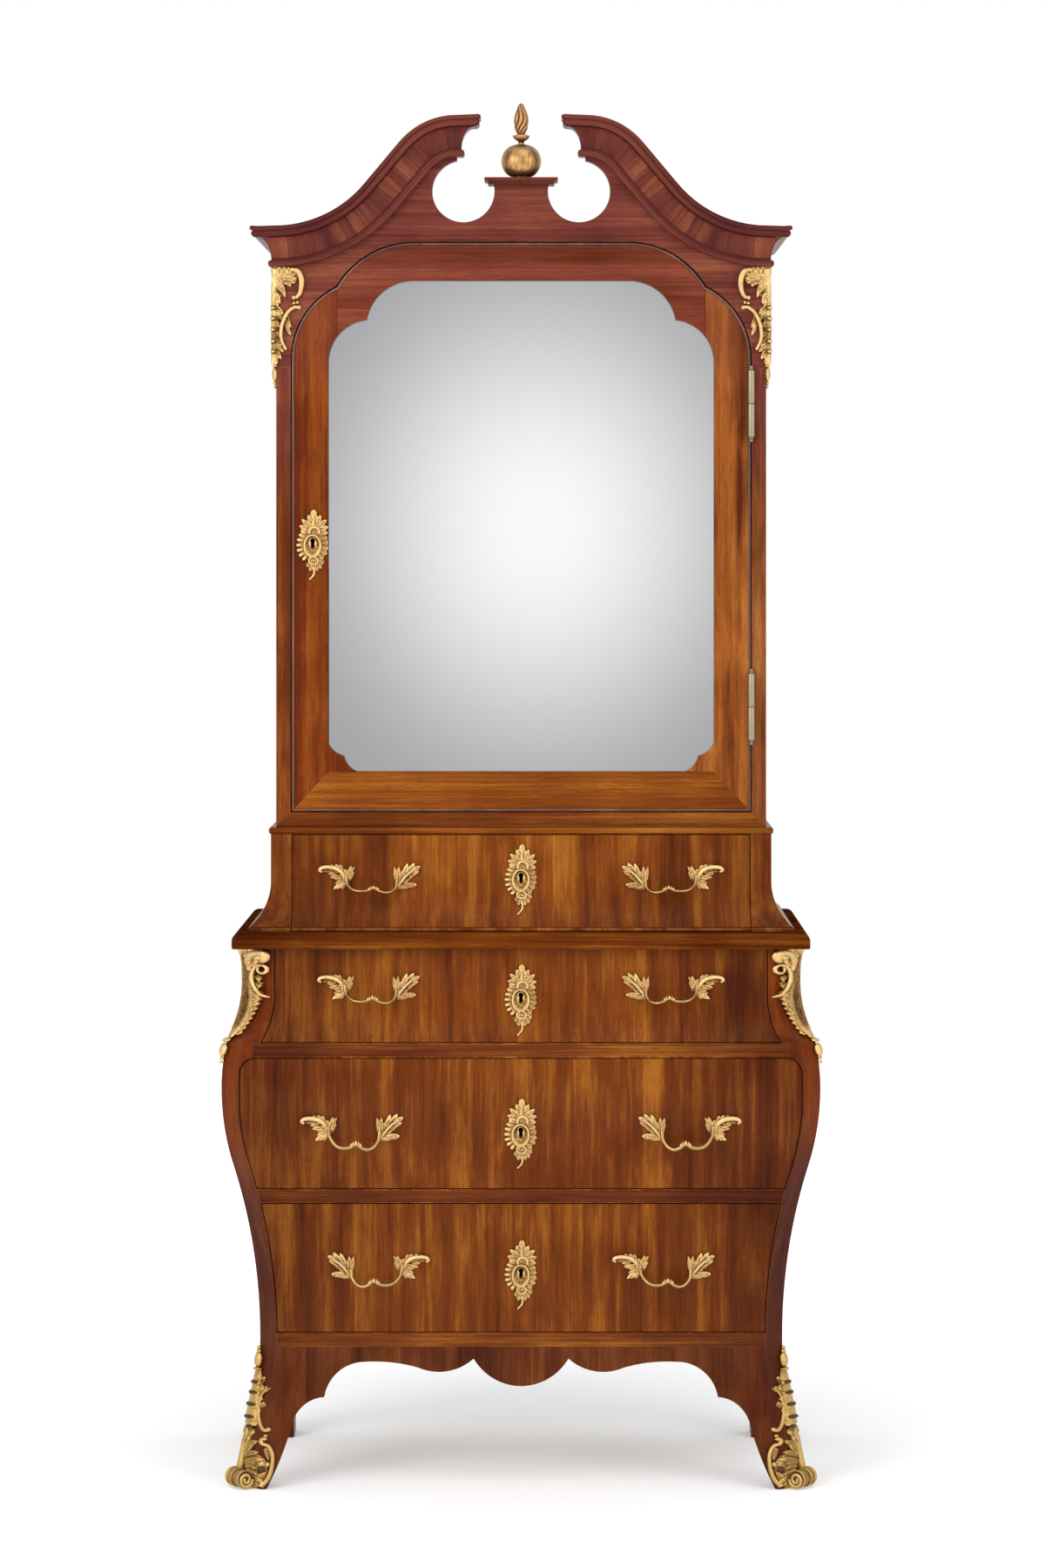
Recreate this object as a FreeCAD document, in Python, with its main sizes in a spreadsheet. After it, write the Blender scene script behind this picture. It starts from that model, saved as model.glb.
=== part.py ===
"""Rococo secretary cabinet: bombe chest, waist drawer and mirrored cabinet under a swan-neck pediment.

Millimetres, +Z up, front towards -Y, origin on the floor under the middle of the bounding box.
"""
import FreeCAD, Part
import math
import os
import re
import Sketcher
from FreeCAD import Rotation, Vector

doc = FreeCAD.newDocument("secretary_cabinet")
sheet = doc.addObject("Spreadsheet::Sheet", "Sizes")

# Driving dimensions, one cell each
SIZES = {
    # Chest carcase
    "case_width": 874.0,
    "case_depth": 455.0,
    "case_top": 862.0,
    "cant": 32.0,
    "stile": 29.0,
    "post_depth": 92.0,
    "side_t": 22.0,
    "front_t": 24.0,
    "back_t": 14.0,
    "reveal": 1.5,
    # Bombe outline: how far it stands out from the neck, and at what height
    "neck_drop": 62.0,
    "shoulder": 33.0,
    "shoulder_drop": 148.0,
    "bulge": 41.0,
    "belly_drop": 74.0,
    "belly_r": 450.0,
    "hip": 17.0,
    "hip_z": 232.0,
    "toe": 11.0,
    "flare_r": 430.0,
    # Drawer rails and boards
    "middle_rail_z": 479.0,
    "bottom_rail_z": 245.0,
    "rail_h": 23.0,
    "rail_depth": 60.0,
    "dust_t": 10.0,
    "rail_set": 10.0,
    "guide_h": 25.0,
    # Upper drawer outline and the rounded corners of the middle drawer
    "upper_stile": 42.5,
    "upper_flare": 20.0,
    "upper_drop": 70.0,
    "corner_r": 24.0,
    # Apron and leg outline, from the centre line
    "lobe_z": 160.0,
    "lobe_x": 76.0,
    "lobe_cusp_z": 203.0,
    "wave_x": 165.0,
    "wave_z": 189.0,
    "wave_r": 84.0,
    "arch_x": 250.0,
    "arch_z": 198.0,
    "arch_r": 262.0,
    "ear_set": 122.0,
    "ear_z": 143.0,
    "knee_set": 71.0,
    "knee_z": 101.0,
    "knee_r": 55.0,
    "foot_set": 31.0,
    "foot_r": 480.0,
    "rear_leg": 60.0,
    "rear_leg_w": 51.0,
    # Chest top
    "top_over": 24.0,
    "top_t": 26.0,
    "top_round": 13.0,
    "top_under": 3.0,
    # Waist stage
    "waist_h": 154.0,
    "waist_flare": 35.0,
    "waist_cove": 73.0,
    "waist_foot": 5.0,
    "waist_post": 33.5,
    # Cabinet
    "cab_setback": 8.0,
    "base_t": 11.0,
    "base_over": 11.0,
    "base_round": 4.0,
    "frame_w": 23.5,
    "frame_t": 22.0,
    "sill_h": 23.5,
    "cab_side_t": 20.0,
    "cab_h": 959.0,
    "roof_t": 14.0,
    "shelf_t": 18.0,
    "shelf_up": 317.0,
    "shelf_gap": 320.0,
    "shelf_set": 40.0,
    # Door outline
    "door_t": 24.0,
    "crown_gap": 20.0,
    "crown_set": 196.0,
    "cusp_drop": 71.0,
    "cusp_set": 73.0,
    "spring_drop": 116.0,
    "head_drop": 15.0,
    "door_stile": 59.0,
    "door_rail": 64.0,
    "head_rail": 61.0,
    "sight_spring_drop": 5.0,
    "sight_cusp_set": 120.5,
    "sight_cusp_drop": 53.0,
    "sight_crown_set": 195.0,
    "nook": 45.0,
    "nook_cusp": 25.0,
    "nook_r": 34.0,
    "glass_set": 10.0,
    "glass_t": 4.0,
    "glass_lap": 10.0,
    "glass_shoulder_rise": 25.0,
    "glass_crown_set": 134.0,
    "panel_t": 8.0,
    # Pediment
    "cornice_drop": 59.0,
    "cornice_h": 64.0,
    "cornice_out": 40.0,
    "swan_inner": 103.0,
    "swan_rise": 177.0,
    "swan_slope": 46.0,
    "swan_upper_r": 108.0,
    "board_up": 40.0,
    "bead_out": 9.0,
    "bead_h": 9.0,
    "bead_cut": 3.0,
    "cove_in": 7.0,
    "cove_foot": 12.0,
    "cove_out": 28.0,
    "cove_top": 44.0,
    "lip_in": 31.0,
    "lip_out": 38.0,
    "lip_z": 57.0,
    "lip_cut": 6.0,
    "ring_x": 93.0,
    "ring_rise": 63.0,
    "ring_r": 50.0,
    "plinth_half": 48.0,
    "plinth_rise": 73.0,
    "cap_half": 59.0,
    "cap_t": 11.0,
    "cap_depth": 60.0,
    # Finial
    "ball_r": 32.0,
    "ball_h": 53.0,
    "neck_r": 6.0,
    "neck_h": 6.0,
    "disc_r": 13.6,
    "disc_h": 9.0,
    "flame_r": 11.0,
    "flame_h": 47.0,
    # Hinges
    "hinge_r": 5.5,
    "hinge_pin": 2.6,
    "hinge_fit": 0.05,
    "hinge_stand": 0.6,
    "hinge_h": 106.0,
    "hinge_gap": 0.8,
    "hinge_low_up": 140.0,
    "hinge_high_drop": 125.0,
    "hinge_tip": 7.0,
    "leaf_t": 1.6,
    "leaf_w": 24.0,
    "leaf_off": 3.9,
    # Drawer boxes
    "guide_w": 12.5,
    "waist_box_gap": 2.5,
    "board_t": 12.0,
    "bottom_t": 8.0,
    "bottom_up": 6.0,
    "run_gap": 0.5,
    "box_gap": 8.0,
    "box_headroom": 22.0,
    # Locks
    "lock_w": 70.0,
    "lock_wall": 3.0,
    "door_lock_h": 80.0,
    "door_bolt_h": 36.0,
    "lock_under": 32.0,
    "bolt_w": 30.0,
    "bolt_t": 7.0,
    "bolt_h": 40.0,
    "bolt_fit": 0.4,
    "mortise_d": 9.0,
    "mortise_fit": 2.5,
    "key_r": 3.8,
    "key_w": 5.2,
    "key_drop": 11.0,
    # Hardware places
    "pull_reach": 20.0,
    "pull_stand": 27.0,
    "lower_pull_set": 11.0,
    "waist_pull_x": 240.0,
    "waist_pull_up": 68.0,
    "upper_pull_x": 240.0,
    "upper_pull_drop": 79.0,
    "middle_pull_x": 265.0,
    "middle_pull_up": 84.0,
    "lower_pull_x": 231.0,
    "lower_pull_up": 91.0,
    "waist_key_up": 88.0,
    "upper_key_drop": 75.0,
    "middle_key_up": 98.0,
    "lower_key_up": 101.0,
    "door_key_set": 34.0,
    "door_key_up": 460.0,
    # Pull casting
    "bail_r": 3.0,
    "bail_tilt": 41.0,
    "leaf_relief": 8.0,
    "collar_r": 4.6,
    # Escutcheon
    "plate_half": 24.0,
    "plate_up": 56.0,
    "plate_down": 57.0,
    # Gilt mounts
    "gilt_t": 4.0,
    "mount_top_w": 56.0,
    "mount_low_w": 14.0,
    "mount_h": 195.0,
    "chest_mount_h": 182.0,
    "chest_mount_w": 58.0,
    "sabot_h": 216.0,
    "sabot_w": 50.0,
    "sabot_tip_w": 12.0,
    "scroll_r": 17.5,
    "scroll_w": 41.0,
    "scroll_out": 35.0,
}

# Places that follow from the driving dimensions
PLACES = {
    # Chest
    "half": "case_width / 2",
    "back_y": "(case_depth + bulge + pull_reach) / 2",
    "neck_y": "back_y - case_depth",
    "far": "case_depth + case_width",
    "top_z": "case_top + top_t",
    "shoulder_z": "case_top - shoulder_drop",
    "belly_z": "shoulder_z - belly_drop",
    "upper_rail_foot": "shoulder_z - rail_h",
    "middle_rail_foot": "middle_rail_z - rail_h",
    "bottom_rail_foot": "bottom_rail_z - rail_h",
    "rail_half": "half - rail_set",
    "upper_half": "half - upper_stile",
    "ear_x": "half - ear_set",
    "knee_x": "half - knee_set",
    "foot_x": "half - foot_set",
    "rear_inner": "half - rear_leg_w",
    "side_back": "back_y - rear_leg",
    "box_half": "rear_inner - guide_w - reveal",
    # Waist stage
    "waist_half": "half - waist_flare",
    "waist_bay": "waist_half - waist_post",
    "waist_front_half": "waist_bay - reveal",
    "waist_box_half": "waist_bay - waist_box_gap",
    "waist_y": "neck_y + waist_flare",
    "waist_top": "top_z + waist_h",
    # Cabinet and door
    "cab_half": "waist_half - cab_setback",
    "cab_y": "waist_y + cab_setback",
    "cab_base": "waist_top + base_t",
    "cab_top": "cab_base + cab_h",
    "inner_half": "cab_half - cab_side_t",
    "frame_y": "cab_y + frame_t",
    "bay_half": "cab_half - frame_w",
    "sill_top": "cab_base + sill_h",
    "shelf_low": "cab_base + shelf_up",
    "shelf_high": "shelf_low + shelf_gap",
    "door_half": "bay_half - reveal",
    "door_y": "cab_y + door_t",
    "door_foot": "sill_top + reveal",
    "crown_x": "door_half - crown_set",
    "crown_z": "cab_top - crown_gap",
    "cusp_x": "door_half - cusp_set",
    "cusp_z": "crown_z - cusp_drop",
    "spring_z": "cusp_z - spring_drop",
    "head_z": "spring_z - head_drop",
    "sight_half": "door_half - door_stile",
    "sight_bottom": "door_foot + door_rail",
    "sight_spring": "spring_z - sight_spring_drop",
    "sight_cusp_x": "door_half - sight_cusp_set",
    "sight_cusp_z": "cusp_z - sight_cusp_drop",
    "sight_crown_x": "door_half - sight_crown_set",
    "sight_top": "crown_z - head_rail",
    "nook_foot": "sight_half - nook",
    "nook_top": "sight_bottom + nook",
    "nook_x": "sight_half - nook_cusp",
    "nook_z": "sight_bottom + nook_cusp",
    "glass_shoulder": "spring_z + glass_shoulder_rise",
    "glass_crown": "door_half - glass_crown_set",
    "hinge_x": "bay_half - reveal / 2",
    "hinge_y": "cab_y - hinge_r - hinge_stand",
    "hinge_low": "cab_base + hinge_low_up",
    "hinge_high": "spring_z - hinge_high_drop",
    # Pediment
    "cornice_z": "cab_top - cornice_drop",
    "swan_width": "cab_half - swan_inner",
    "swan_sum": "(swan_width * sin(swan_slope) - swan_rise * cos(swan_slope)) / (1 - cos(swan_slope))",
    "swan_run": "swan_rise * sin(swan_slope) / (1 - cos(swan_slope)) - swan_width",
    "swan_lower_r": "swan_sum - swan_upper_r",
    "ring_z": "cab_top + ring_rise",
    "plinth_z": "cab_top + plinth_rise",
    "pediment_y": "cab_y + frame_t / 2",
    # Locks, each bolt's front face, and hardware heights
    "lock_left": "lock_wall - door_half",
    "door_bolt_y": "door_y + lock_wall + bolt_fit",
    "bolt_behind": "front_t + lock_wall + bolt_fit",
    "waist_bolt_y": "waist_y + bolt_behind",
    "upper_bolt_y": "neck_y + bolt_behind",
    "middle_bolt_y": "neck_y + bolt_behind - shoulder",
    "lower_bolt_y": "neck_y + bolt_behind",
    "waist_pull_z": "top_z + waist_pull_up",
    "waist_key_z": "top_z + waist_key_up",
    "upper_pull_z": "case_top - upper_pull_drop",
    "upper_key_z": "case_top - upper_key_drop",
    "middle_pull_z": "middle_rail_z + middle_pull_up",
    "middle_key_z": "middle_rail_z + middle_key_up",
    "lower_pull_z": "bottom_rail_z + lower_pull_up",
    "lower_key_z": "bottom_rail_z + lower_key_up",
    "door_key_x": "door_half - door_key_set",
    "door_key_z": "cab_base + door_key_up",
    # Gilt mounts
    "cant_face": "(half - neck_y - cant) / sqrt(2)",
    "scroll_reach": "cant_face + sqrt(2) * toe + scroll_out",
    "mount_outer": "cab_half + gilt_t",
    "mount_foot": "cornice_z - mount_h",
}

for row, (alias, number) in enumerate(SIZES.items(), start=1):
    sheet.set(f"A{row}", alias)
    sheet.set(f"B{row}", str(number))
    sheet.setAlias(f"B{row}", alias)
doc.recompute()


# Expressions on the sheet

def bind(text):
    """Return the expression with each place worked out and each size's name pointing at its cell."""
    def swap(match):
        word = match.group()
        if word in PLACES:
            return f"({bind(PLACES[word])})"
        return f"Sizes.{word}" if word in SIZES else word
    return re.sub(r"[a-z_]+", swap, text)


def value(text):
    """Return the number that an expression on the sheet gives now."""
    return float(sheet.evalExpression(bind(text)))


def bow(reach, rise):
    """Radius of an arc that leaves square to its reach and covers reach by rise."""
    return f"((({reach})^2 + ({rise})^2) / (2 * ({reach})))"


# Document objects

def place(item, x="0", y="0", z="0"):
    """Bind an object's place to three expressions."""
    for axis, text in zip("xyz", (x, y, z)):
        item.setExpression(f"Placement.Base.{axis}", bind(text))
    return item


def box(name, x0, x1, y0, y1, z0, z1):
    """Board between three pairs of planes."""
    board = doc.addObject("Part::Box", name)
    for side, low, high in (("Length", x0, x1), ("Width", y0, y1), ("Height", z0, z1)):
        board.setExpression(side, bind(f"({high}) - ({low})"))
    return place(board, x0, y0, z0)


def cylinder(name, radius, height, x, y, z, axis=Vector(0, 0, 1)):
    """Round bar from a point along an axis."""
    bar = doc.addObject("Part::Cylinder", name)
    bar.setExpression("Radius", bind(radius))
    bar.setExpression("Height", bind(height))
    bar.Placement.Rotation = Rotation(Vector(0, 0, 1), axis)
    return place(bar, x, y, z)


def draw(body, name, plane, corners, closed=True):
    """Outline on one of the body's origin planes, closed or an open path.

    Each corner is (x, y), reached by a line, or (x, y, radius, turn), reached by an arc that turns
    left or right.
    """
    sketch = body.newObject("Sketcher::SketchObject", name)
    origin = [item for item in body.Origin.OriginFeatures if item.Role == plane][0]
    sketch.AttachmentSupport = (origin, [""])
    sketch.MapMode = "FlatFace"
    spots = [Vector(value(corner[0]), value(corner[1]), 0) for corner in corners]
    ends = []
    first_leg = 0 if closed else 1
    for index in range(first_leg, len(corners)):
        corner = corners[index]
        start, end = spots[index - 1], spots[index]
        if len(corner) == 2:
            sketch.addGeometry(Part.LineSegment(start, end), False)
            ends.append((1, 2))
            continue
        radius, left = value(corner[2]), corner[3] == "left"
        first, last = (start, end) if left else (end, start)
        chord = last - first
        rise = math.sqrt(max(radius ** 2 - chord.Length ** 2 / 4, 0))
        centre = (first + last) / 2 + Vector(-chord.y, chord.x, 0) / chord.Length * rise
        angles = [math.atan2(spot.y - centre.y, spot.x - centre.x) for spot in (first, last)]
        if angles[1] < angles[0]:
            angles[1] += 2 * math.pi
        circle = Part.Circle(centre, Vector(0, 0, 1), radius)
        sketch.addGeometry(Part.ArcOfCircle(circle, *angles), False)
        ends.append((1, 2) if left else (2, 1))
    count = len(ends)
    for index in range(count if closed else count - 1):
        after = (index + 1) % count
        sketch.addConstraint(Sketcher.Constraint("Coincident", index, ends[index][1], after,
                                                 ends[after][0]))
    fixed = [(leg, ends[leg][1], leg + first_leg) for leg in range(count)]
    if not closed:
        fixed.append((0, ends[0][0], 0))
    for leg, end, index in fixed:
        spot, corner = spots[index], corners[index]
        for kind, text, axis, number in (("DistanceX", corner[0], -2, spot.x),
                                         ("DistanceY", corner[1], -1, spot.y)):
            if text == "0":
                sketch.addConstraint(Sketcher.Constraint("PointOnObject", leg, end, axis))
                continue
            rule = sketch.addConstraint(Sketcher.Constraint(kind, -1, 1, leg, end, number))
            sketch.setExpression(f"Constraints[{rule}]", bind(text))
        if len(corner) == 4:
            rule = sketch.addConstraint(Sketcher.Constraint("Radius", leg, value(corner[2])))
            sketch.setExpression(f"Constraints[{rule}]", bind(corner[2]))
    return sketch


def pad(name, plane, corners, length, at=("0", "0", "0"), side="One side", reverse=False):
    """Outline given a thickness: XZ_Plane grows towards -Y, YZ_Plane towards +X, XY_Plane towards +Z."""
    body = doc.addObject("PartDesign::Body", name)
    sketch = draw(body, name + "_outline", plane, corners)
    block = body.newObject("PartDesign::Pad", name + "_pad")
    block.Profile = sketch
    block.SideType = side
    block.Reversed = reverse
    block.setExpression("Length", bind(length))
    return place(body, *at)


def boolean(kind, name, base, tools):
    """Chain of two-shape booleans that ends in an object of the given name."""
    for index, tool in enumerate(tools):
        last = index == len(tools) - 1
        joined = doc.addObject(kind, name if last else f"{name}_step{index}")
        joined.Base = base
        joined.Tool = tool
        base = joined
    return base


def cut(name, base, *tools):
    """Base less the tools."""
    return boolean("Part::Cut", name, base, tools)


def common(name, base, *tools):
    """What base and tools share."""
    return boolean("Part::Common", name, base, tools)


def fuse(name, base, *tools):
    """Base and tools as one solid."""
    return boolean("Part::Fuse", name, base, tools)


def group(name, *items):
    """Several separate solids in one node, or a copy of one that can be placed by itself."""
    compound = doc.addObject("Part::Compound", name)
    compound.Links = list(items)
    return compound


def mirror(name, source):
    """The same piece for the other hand, across the centre plane."""
    twin = doc.addObject("Part::Mirroring", name)
    twin.Source = source
    twin.Normal = Vector(1, 0, 0)
    return twin


def feature(name, shape):
    """A shape made with Part's own functions, for cast forms that no sketch or primitive fits."""
    item = doc.addObject("Part::Feature", name)
    item.Shape = shape
    return item


def faceted(rings):
    """Solid of flat facets through rings of points, one after another from end to end."""
    facets = [rings[0], rings[-1]]
    for low, high in zip(rings, rings[1:]):
        for step in range(len(low)):
            facets.append((low[step - 1], low[step], high[step]))
            facets.append((low[step - 1], high[step], high[step - 1]))
    faces = [Part.Face(Part.makePolygon([*facet, facet[0]])) for facet in facets]
    return Part.makeSolid(Part.makeShell(faces))


def ring_about(centre, across, up, radius, sides):
    """Corners of a regular ring in the plane of two directions."""
    corners = []
    for step in range(sides):
        angle = 2 * math.pi * step / sides
        corners.append(centre + across * (radius * math.cos(angle)) + up * (radius * math.sin(angle)))
    return corners


# Bombe forms

def swell(flat, scale, sign, down):
    """Corners of the bombe outline from the case top to the floor, or back up.

    flat is the neck's coordinate, scale the share of each reach, sign the way it stands out.
    """
    def out(reach):
        return f"({flat} {sign} {scale} * ({reach}))"

    def arc(reach, rise):
        return bow(f"{scale} * ({reach})", rise)

    fall, leg_reach = "(belly_z - hip_z)", "(toe + hip)"
    whole = f"(((bulge + hip)^2 + {fall}^2) / (2 * (bulge + hip)))"
    share = f"(belly_r / {whole})"
    leg = f"(({leg_reach}^2 + hip_z^2) / (2 * {leg_reach}))"
    leg_share = f"(flare_r / {leg})"
    bend_out, bend_z = f"(bulge - {share} * (bulge + hip))", f"(belly_z - {share} * {fall})"
    knee_out, knee_z = f"({leg_share} * {leg_reach} - hip)", f"(hip_z * (1 - {leg_share}))"
    neck_z = "(case_top - neck_drop)"
    runs = [
        (out("0"), "case_top"),
        (out("0"), neck_z),
        (out("shoulder"), "shoulder_z", arc("shoulder", f"{neck_z} - shoulder_z"), "hollow"),
        (out("bulge"), "belly_z", arc("bulge - shoulder", "shoulder_z - belly_z"), "round"),
        (out(bend_out), bend_z, arc(f"bulge - {bend_out}", f"belly_z - {bend_z}"), "round"),
        (out("-hip"), "hip_z", arc(f"{bend_out} + hip", f"{bend_z} - hip_z"), "hollow"),
        (out(knee_out), knee_z, arc(f"{knee_out} + hip", f"hip_z - {knee_z}"), "hollow"),
        (out("toe"), "0", arc(f"toe - {knee_out}", knee_z), "round"),
    ]
    turns = {"round": "right", "hollow": "left"} if sign == "+" else {"round": "left", "hollow": "right"}
    if down:
        return [run[:3] + (turns[run[3]],) if len(run) == 4 else run for run in runs]
    back_up = [runs[-1][:2]]
    for run, before in zip(reversed(runs), reversed(runs[:-1])):
        swap = {"left": "right", "right": "left"}
        back_up.append(before[:2] + (run[2], swap[turns[run[3]]]) if len(run) == 4 else before[:2])
    return back_up


def side_form(name, grow):
    """Everything between the two bombe sides, each moved out by grow."""
    corners = swell(f"half + ({grow})", "1", "+", True) + swell(f"-(half + ({grow}))", "1", "-", False)
    return pad(name, "XZ_Plane", corners, "far", side="Symmetric")


def front_form(name, grow):
    """Everything behind the bombe front moved out by grow."""
    corners = [("back_y", "0"), ("back_y", "case_top")] + swell(f"neck_y - ({grow})", "1", "-", True)
    return pad(name, "YZ_Plane", corners, "far", side="Symmetric")


def cant_form(name, grow):
    """Everything behind the canted right corner moved out by grow."""
    face = f"((half - neck_y - cant) / sqrt(2) + ({grow}))"
    corners = [("far", "0"), ("far", "case_top")] + swell(f"-{face}", "sqrt(2)", "-", True)
    body = pad(name, "YZ_Plane", corners, "far", side="Symmetric")
    body.Placement.Rotation = Rotation(Vector(0, 0, 1), 45)
    return body


front = front_form("front_form", "0")
front_inner = front_form("front_inner_form", "-front_t")
sides = side_form("side_form", "0")
sides_inner = side_form("side_inner_form", "-side_t")
bay = side_form("bay_form", "-stile")
drawer_bay = side_form("drawer_form", "-stile - reveal")
canted = cant_form("cant_form", "0")
gilt_front = front_form("gilt_front_form", "gilt_t")
gilt_sides = side_form("gilt_side_form", "gilt_t")
gilt_cant = cant_form("gilt_cant_form", "gilt_t")

# Space under the apron between the legs, seen from the front
knee_arcs = [
    ("foot_x", "0", "foot_r", "left"),
    ("knee_x", "knee_z", "knee_r", "right"),
    ("ear_x", "ear_z", bow("arch_z - ear_z", "ear_x - arch_x"), "right"),
    ("arch_x", "arch_z", "arch_r", "right"),
    ("wave_x", "wave_z", "wave_r", "left"),
    ("lobe_x", "lobe_cusp_z"),
]
left_run = [(f"-{knee_arcs[0][0]}", knee_arcs[0][1])]
for here, there in zip(knee_arcs, knee_arcs[1:]):
    left_run.append((f"-{there[0]}", there[1], here[2], here[3]))
lobe = bow("lobe_cusp_z - lobe_z", "lobe_x")
right_run = [("lobe_x", "lobe_cusp_z", lobe, "left")]
for there in reversed(knee_arcs[:-1]):
    right_run.append(there)
floor_run = [("foot_x", "-foot_x"), ("-foot_x", "-foot_x")]
under_apron = pad("under_apron", "XZ_Plane", left_run + right_run + floor_run, "far", side="Symmetric")

# Space under each side between its legs, the same knee seen from the side
side_run = [("neck_y + half - foot_x", "0")]
for here, there in zip(knee_arcs, knee_arcs[1:4]):
    side_run.append((f"neck_y + half - {there[0]}", there[1], here[2], here[3]))
side_run += [("side_back", "arch_z"), ("side_back", "-foot_x"), ("neck_y + half - foot_x", "-foot_x")]
under_side = pad("under_side", "YZ_Plane", side_run, "far", side="Symmetric")

# Chest posts, sides and rear legs
upper_flare_r = bow("upper_flare", "upper_drop")


def upper_opening(name, grow):
    """Outline of the upper drawer's opening, moved out by grow."""
    half = f"(upper_half + ({grow}))"
    flared = f"(upper_half + upper_flare + ({grow}))"
    spring = "(shoulder_z + upper_drop)"
    corners = [(half, "case_top"), (half, spring), (flared, "shoulder_z", upper_flare_r, "left"),
               (f"-{flared}", "shoulder_z"), (f"-{half}", spring, upper_flare_r, "left"),
               (f"-{half}", "case_top")]
    return pad(name, "XZ_Plane", corners, "far", side="Symmetric")


def lower_opening(name, set_in, foot, head):
    """Outline with rounded upper corners, wide enough for the belly, from foot to head."""
    half, radius = f"(half + bulge - stile - reveal - ({set_in}))", f"(corner_r + reveal - ({set_in}))"
    corners = [(half, foot), (half, f"{head} - {radius}"), (f"{half} - {radius}", head, radius, "left"),
               (f"-{half} + {radius}", head), (f"-{half}", f"{head} - {radius}", radius, "left"),
               (f"-{half}", foot)]
    return pad(name, "XZ_Plane", corners, "far", side="Symmetric")


upper_bay = upper_opening("upper_bay", "0")
lower_bay = common("lower_bay", bay, lower_opening("lower_opening", "0", "bottom_rail_foot",
                                                   "upper_rail_foot"))
rail_slot = box("rail_slot", "-rail_half", "rail_half", "-far", "far", "upper_rail_foot", "shoulder_z")
post_block = box("post_block", "half - post_depth", "far", "-far", "neck_y + post_depth", "0", "case_top")
solid_form = common("solid_form", front, sides, canted)
post_form = common("post_form", post_block, solid_form)
front_post_right = cut("front_post_right", post_form, upper_bay, rail_slot, lower_bay, under_apron,
                       under_side)
front_post_left = mirror("front_post_left", front_post_right)
side_range = box("side_range", "0", "far", "neck_y + post_depth", "side_back", "ear_z", "case_top")
side_shell = cut("side_shell", common("side_outer", side_range, sides), sides_inner)
commode_side_right = cut("commode_side_right", side_shell, under_side)
commode_side_left = mirror("commode_side_left", commode_side_right)
rear_block = box("rear_block", "rear_inner", "far", "side_back", "back_y", "0", "case_top")
rear_leg_right = common("rear_leg_right", rear_block, sides)
rear_legs = group("rear_legs", mirror("rear_leg_left", rear_leg_right), rear_leg_right)
commode_back = box("commode_back", "-rear_inner", "rear_inner", "back_y - back_t", "back_y", "arch_z",
                   "case_top")


# Rails, apron, dust boards and guides
def rail(name, low, high):
    """Drawer rail between the posts, swelling with the front."""
    block = box(name + "_block", "-half - bulge", "half + bulge", "-far",
                "neck_y + rail_depth", low, high)
    return common(name, block, front, bay)


def upper_rail_blank(name):
    """Rail under the upper drawer, with square ends."""
    block = box(name + "_block", "-rail_half", "rail_half", "-far", "neck_y + rail_depth",
                "upper_rail_foot", "shoulder_z")
    return common(name, block, front)


def mortise(name, y, z):
    """Pocket for a drawer bolt, above the lock."""
    return box(name, "-bolt_w / 2 - mortise_fit", "bolt_w / 2 + mortise_fit",
               f"{y} - mortise_fit", f"{y} + bolt_t + mortise_fit", z, f"{z} + mortise_d")


upper_rail = cut("upper_rail", upper_rail_blank("upper_rail_full"),
                 mortise("middle_mortise", "middle_bolt_y", "upper_rail_foot"))
middle_rail = cut("middle_rail", rail("middle_rail_full", "middle_rail_foot", "middle_rail_z"),
                  mortise("lower_mortise", "lower_bolt_y", "middle_rail_foot"))
bottom_rail = rail("bottom_rail", "bottom_rail_foot", "bottom_rail_z")
drawer_rails = group("drawer_rails", upper_rail, middle_rail, bottom_rail)
apron_block = box("apron_block", "post_depth - half", "half - post_depth", "-far",
                  "neck_y + hip + front_t",
                  "lobe_z / 2", "bottom_rail_foot")
front_apron = cut("front_apron", common("apron_form", apron_block, front), front_inner, under_apron)
boards = []
guides = []
for tag, level in (("upper", "shoulder_z"), ("middle", "middle_rail_z"), ("lower", "bottom_rail_z")):
    boards.append(box(f"{tag}_dustboard", "-rear_inner", "rear_inner", "neck_y + rail_depth",
                      "back_y - back_t", f"{level} - dust_t", level))
    for hand, low, high in (("left", "-rear_inner", "-box_half - reveal"),
                            ("right", "box_half + reveal", "rear_inner")):
        guides.append(box(f"{tag}_guide_{hand}", low, high, "neck_y + post_depth", "back_y - back_t",
                          level, f"{level} + guide_h"))
dustboards = group("dustboards", *boards)
drawer_guides = group("drawer_guides", *guides)

# Chest top with its rounded edge
top_body = pad("top_board", "XY_Plane",
               [("half + top_over", "back_y"), ("-half - top_over", "back_y"),
                ("-half - top_over", "neck_y - top_over"), ("half + top_over", "neck_y - top_over")],
               "top_t", at=("0", "0", "case_top"))
doc.recompute()


def edges_of(item, test):
    """Names of the edges whose middle passes a test."""
    found = []
    for index, edge in enumerate(item.Shape.Edges, start=1):
        if test(edge.BoundBox):
            found.append(f"Edge{index}")
    return found


def round_edges(body, name, radius, test):
    """Fillet on the edges that pass a test."""
    base = body.Tip
    fillet = body.newObject("PartDesign::Fillet", name)
    fillet.Base = (base, edges_of(base, test))
    fillet.setExpression("Radius", bind(radius))
    doc.recompute()
    return fillet


TOUCH = 0.01


def shown_edge(level, back):
    """Test for an edge at one level that isn't along the back."""
    def test(bounds):
        return bounds.ZLength < TOUCH and abs(bounds.ZMin - level) < TOUCH and bounds.YMin < back - TOUCH
    return test


round_edges(top_body, "top_upper_round", "top_round", shown_edge(value("top_t"), value("back_y")))
round_edges(top_body, "top_lower_round", "top_under", shown_edge(0, value("back_y")))
commode_top = cut("commode_top", top_body, mortise("upper_mortise", "upper_bolt_y", "case_top"))


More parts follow.
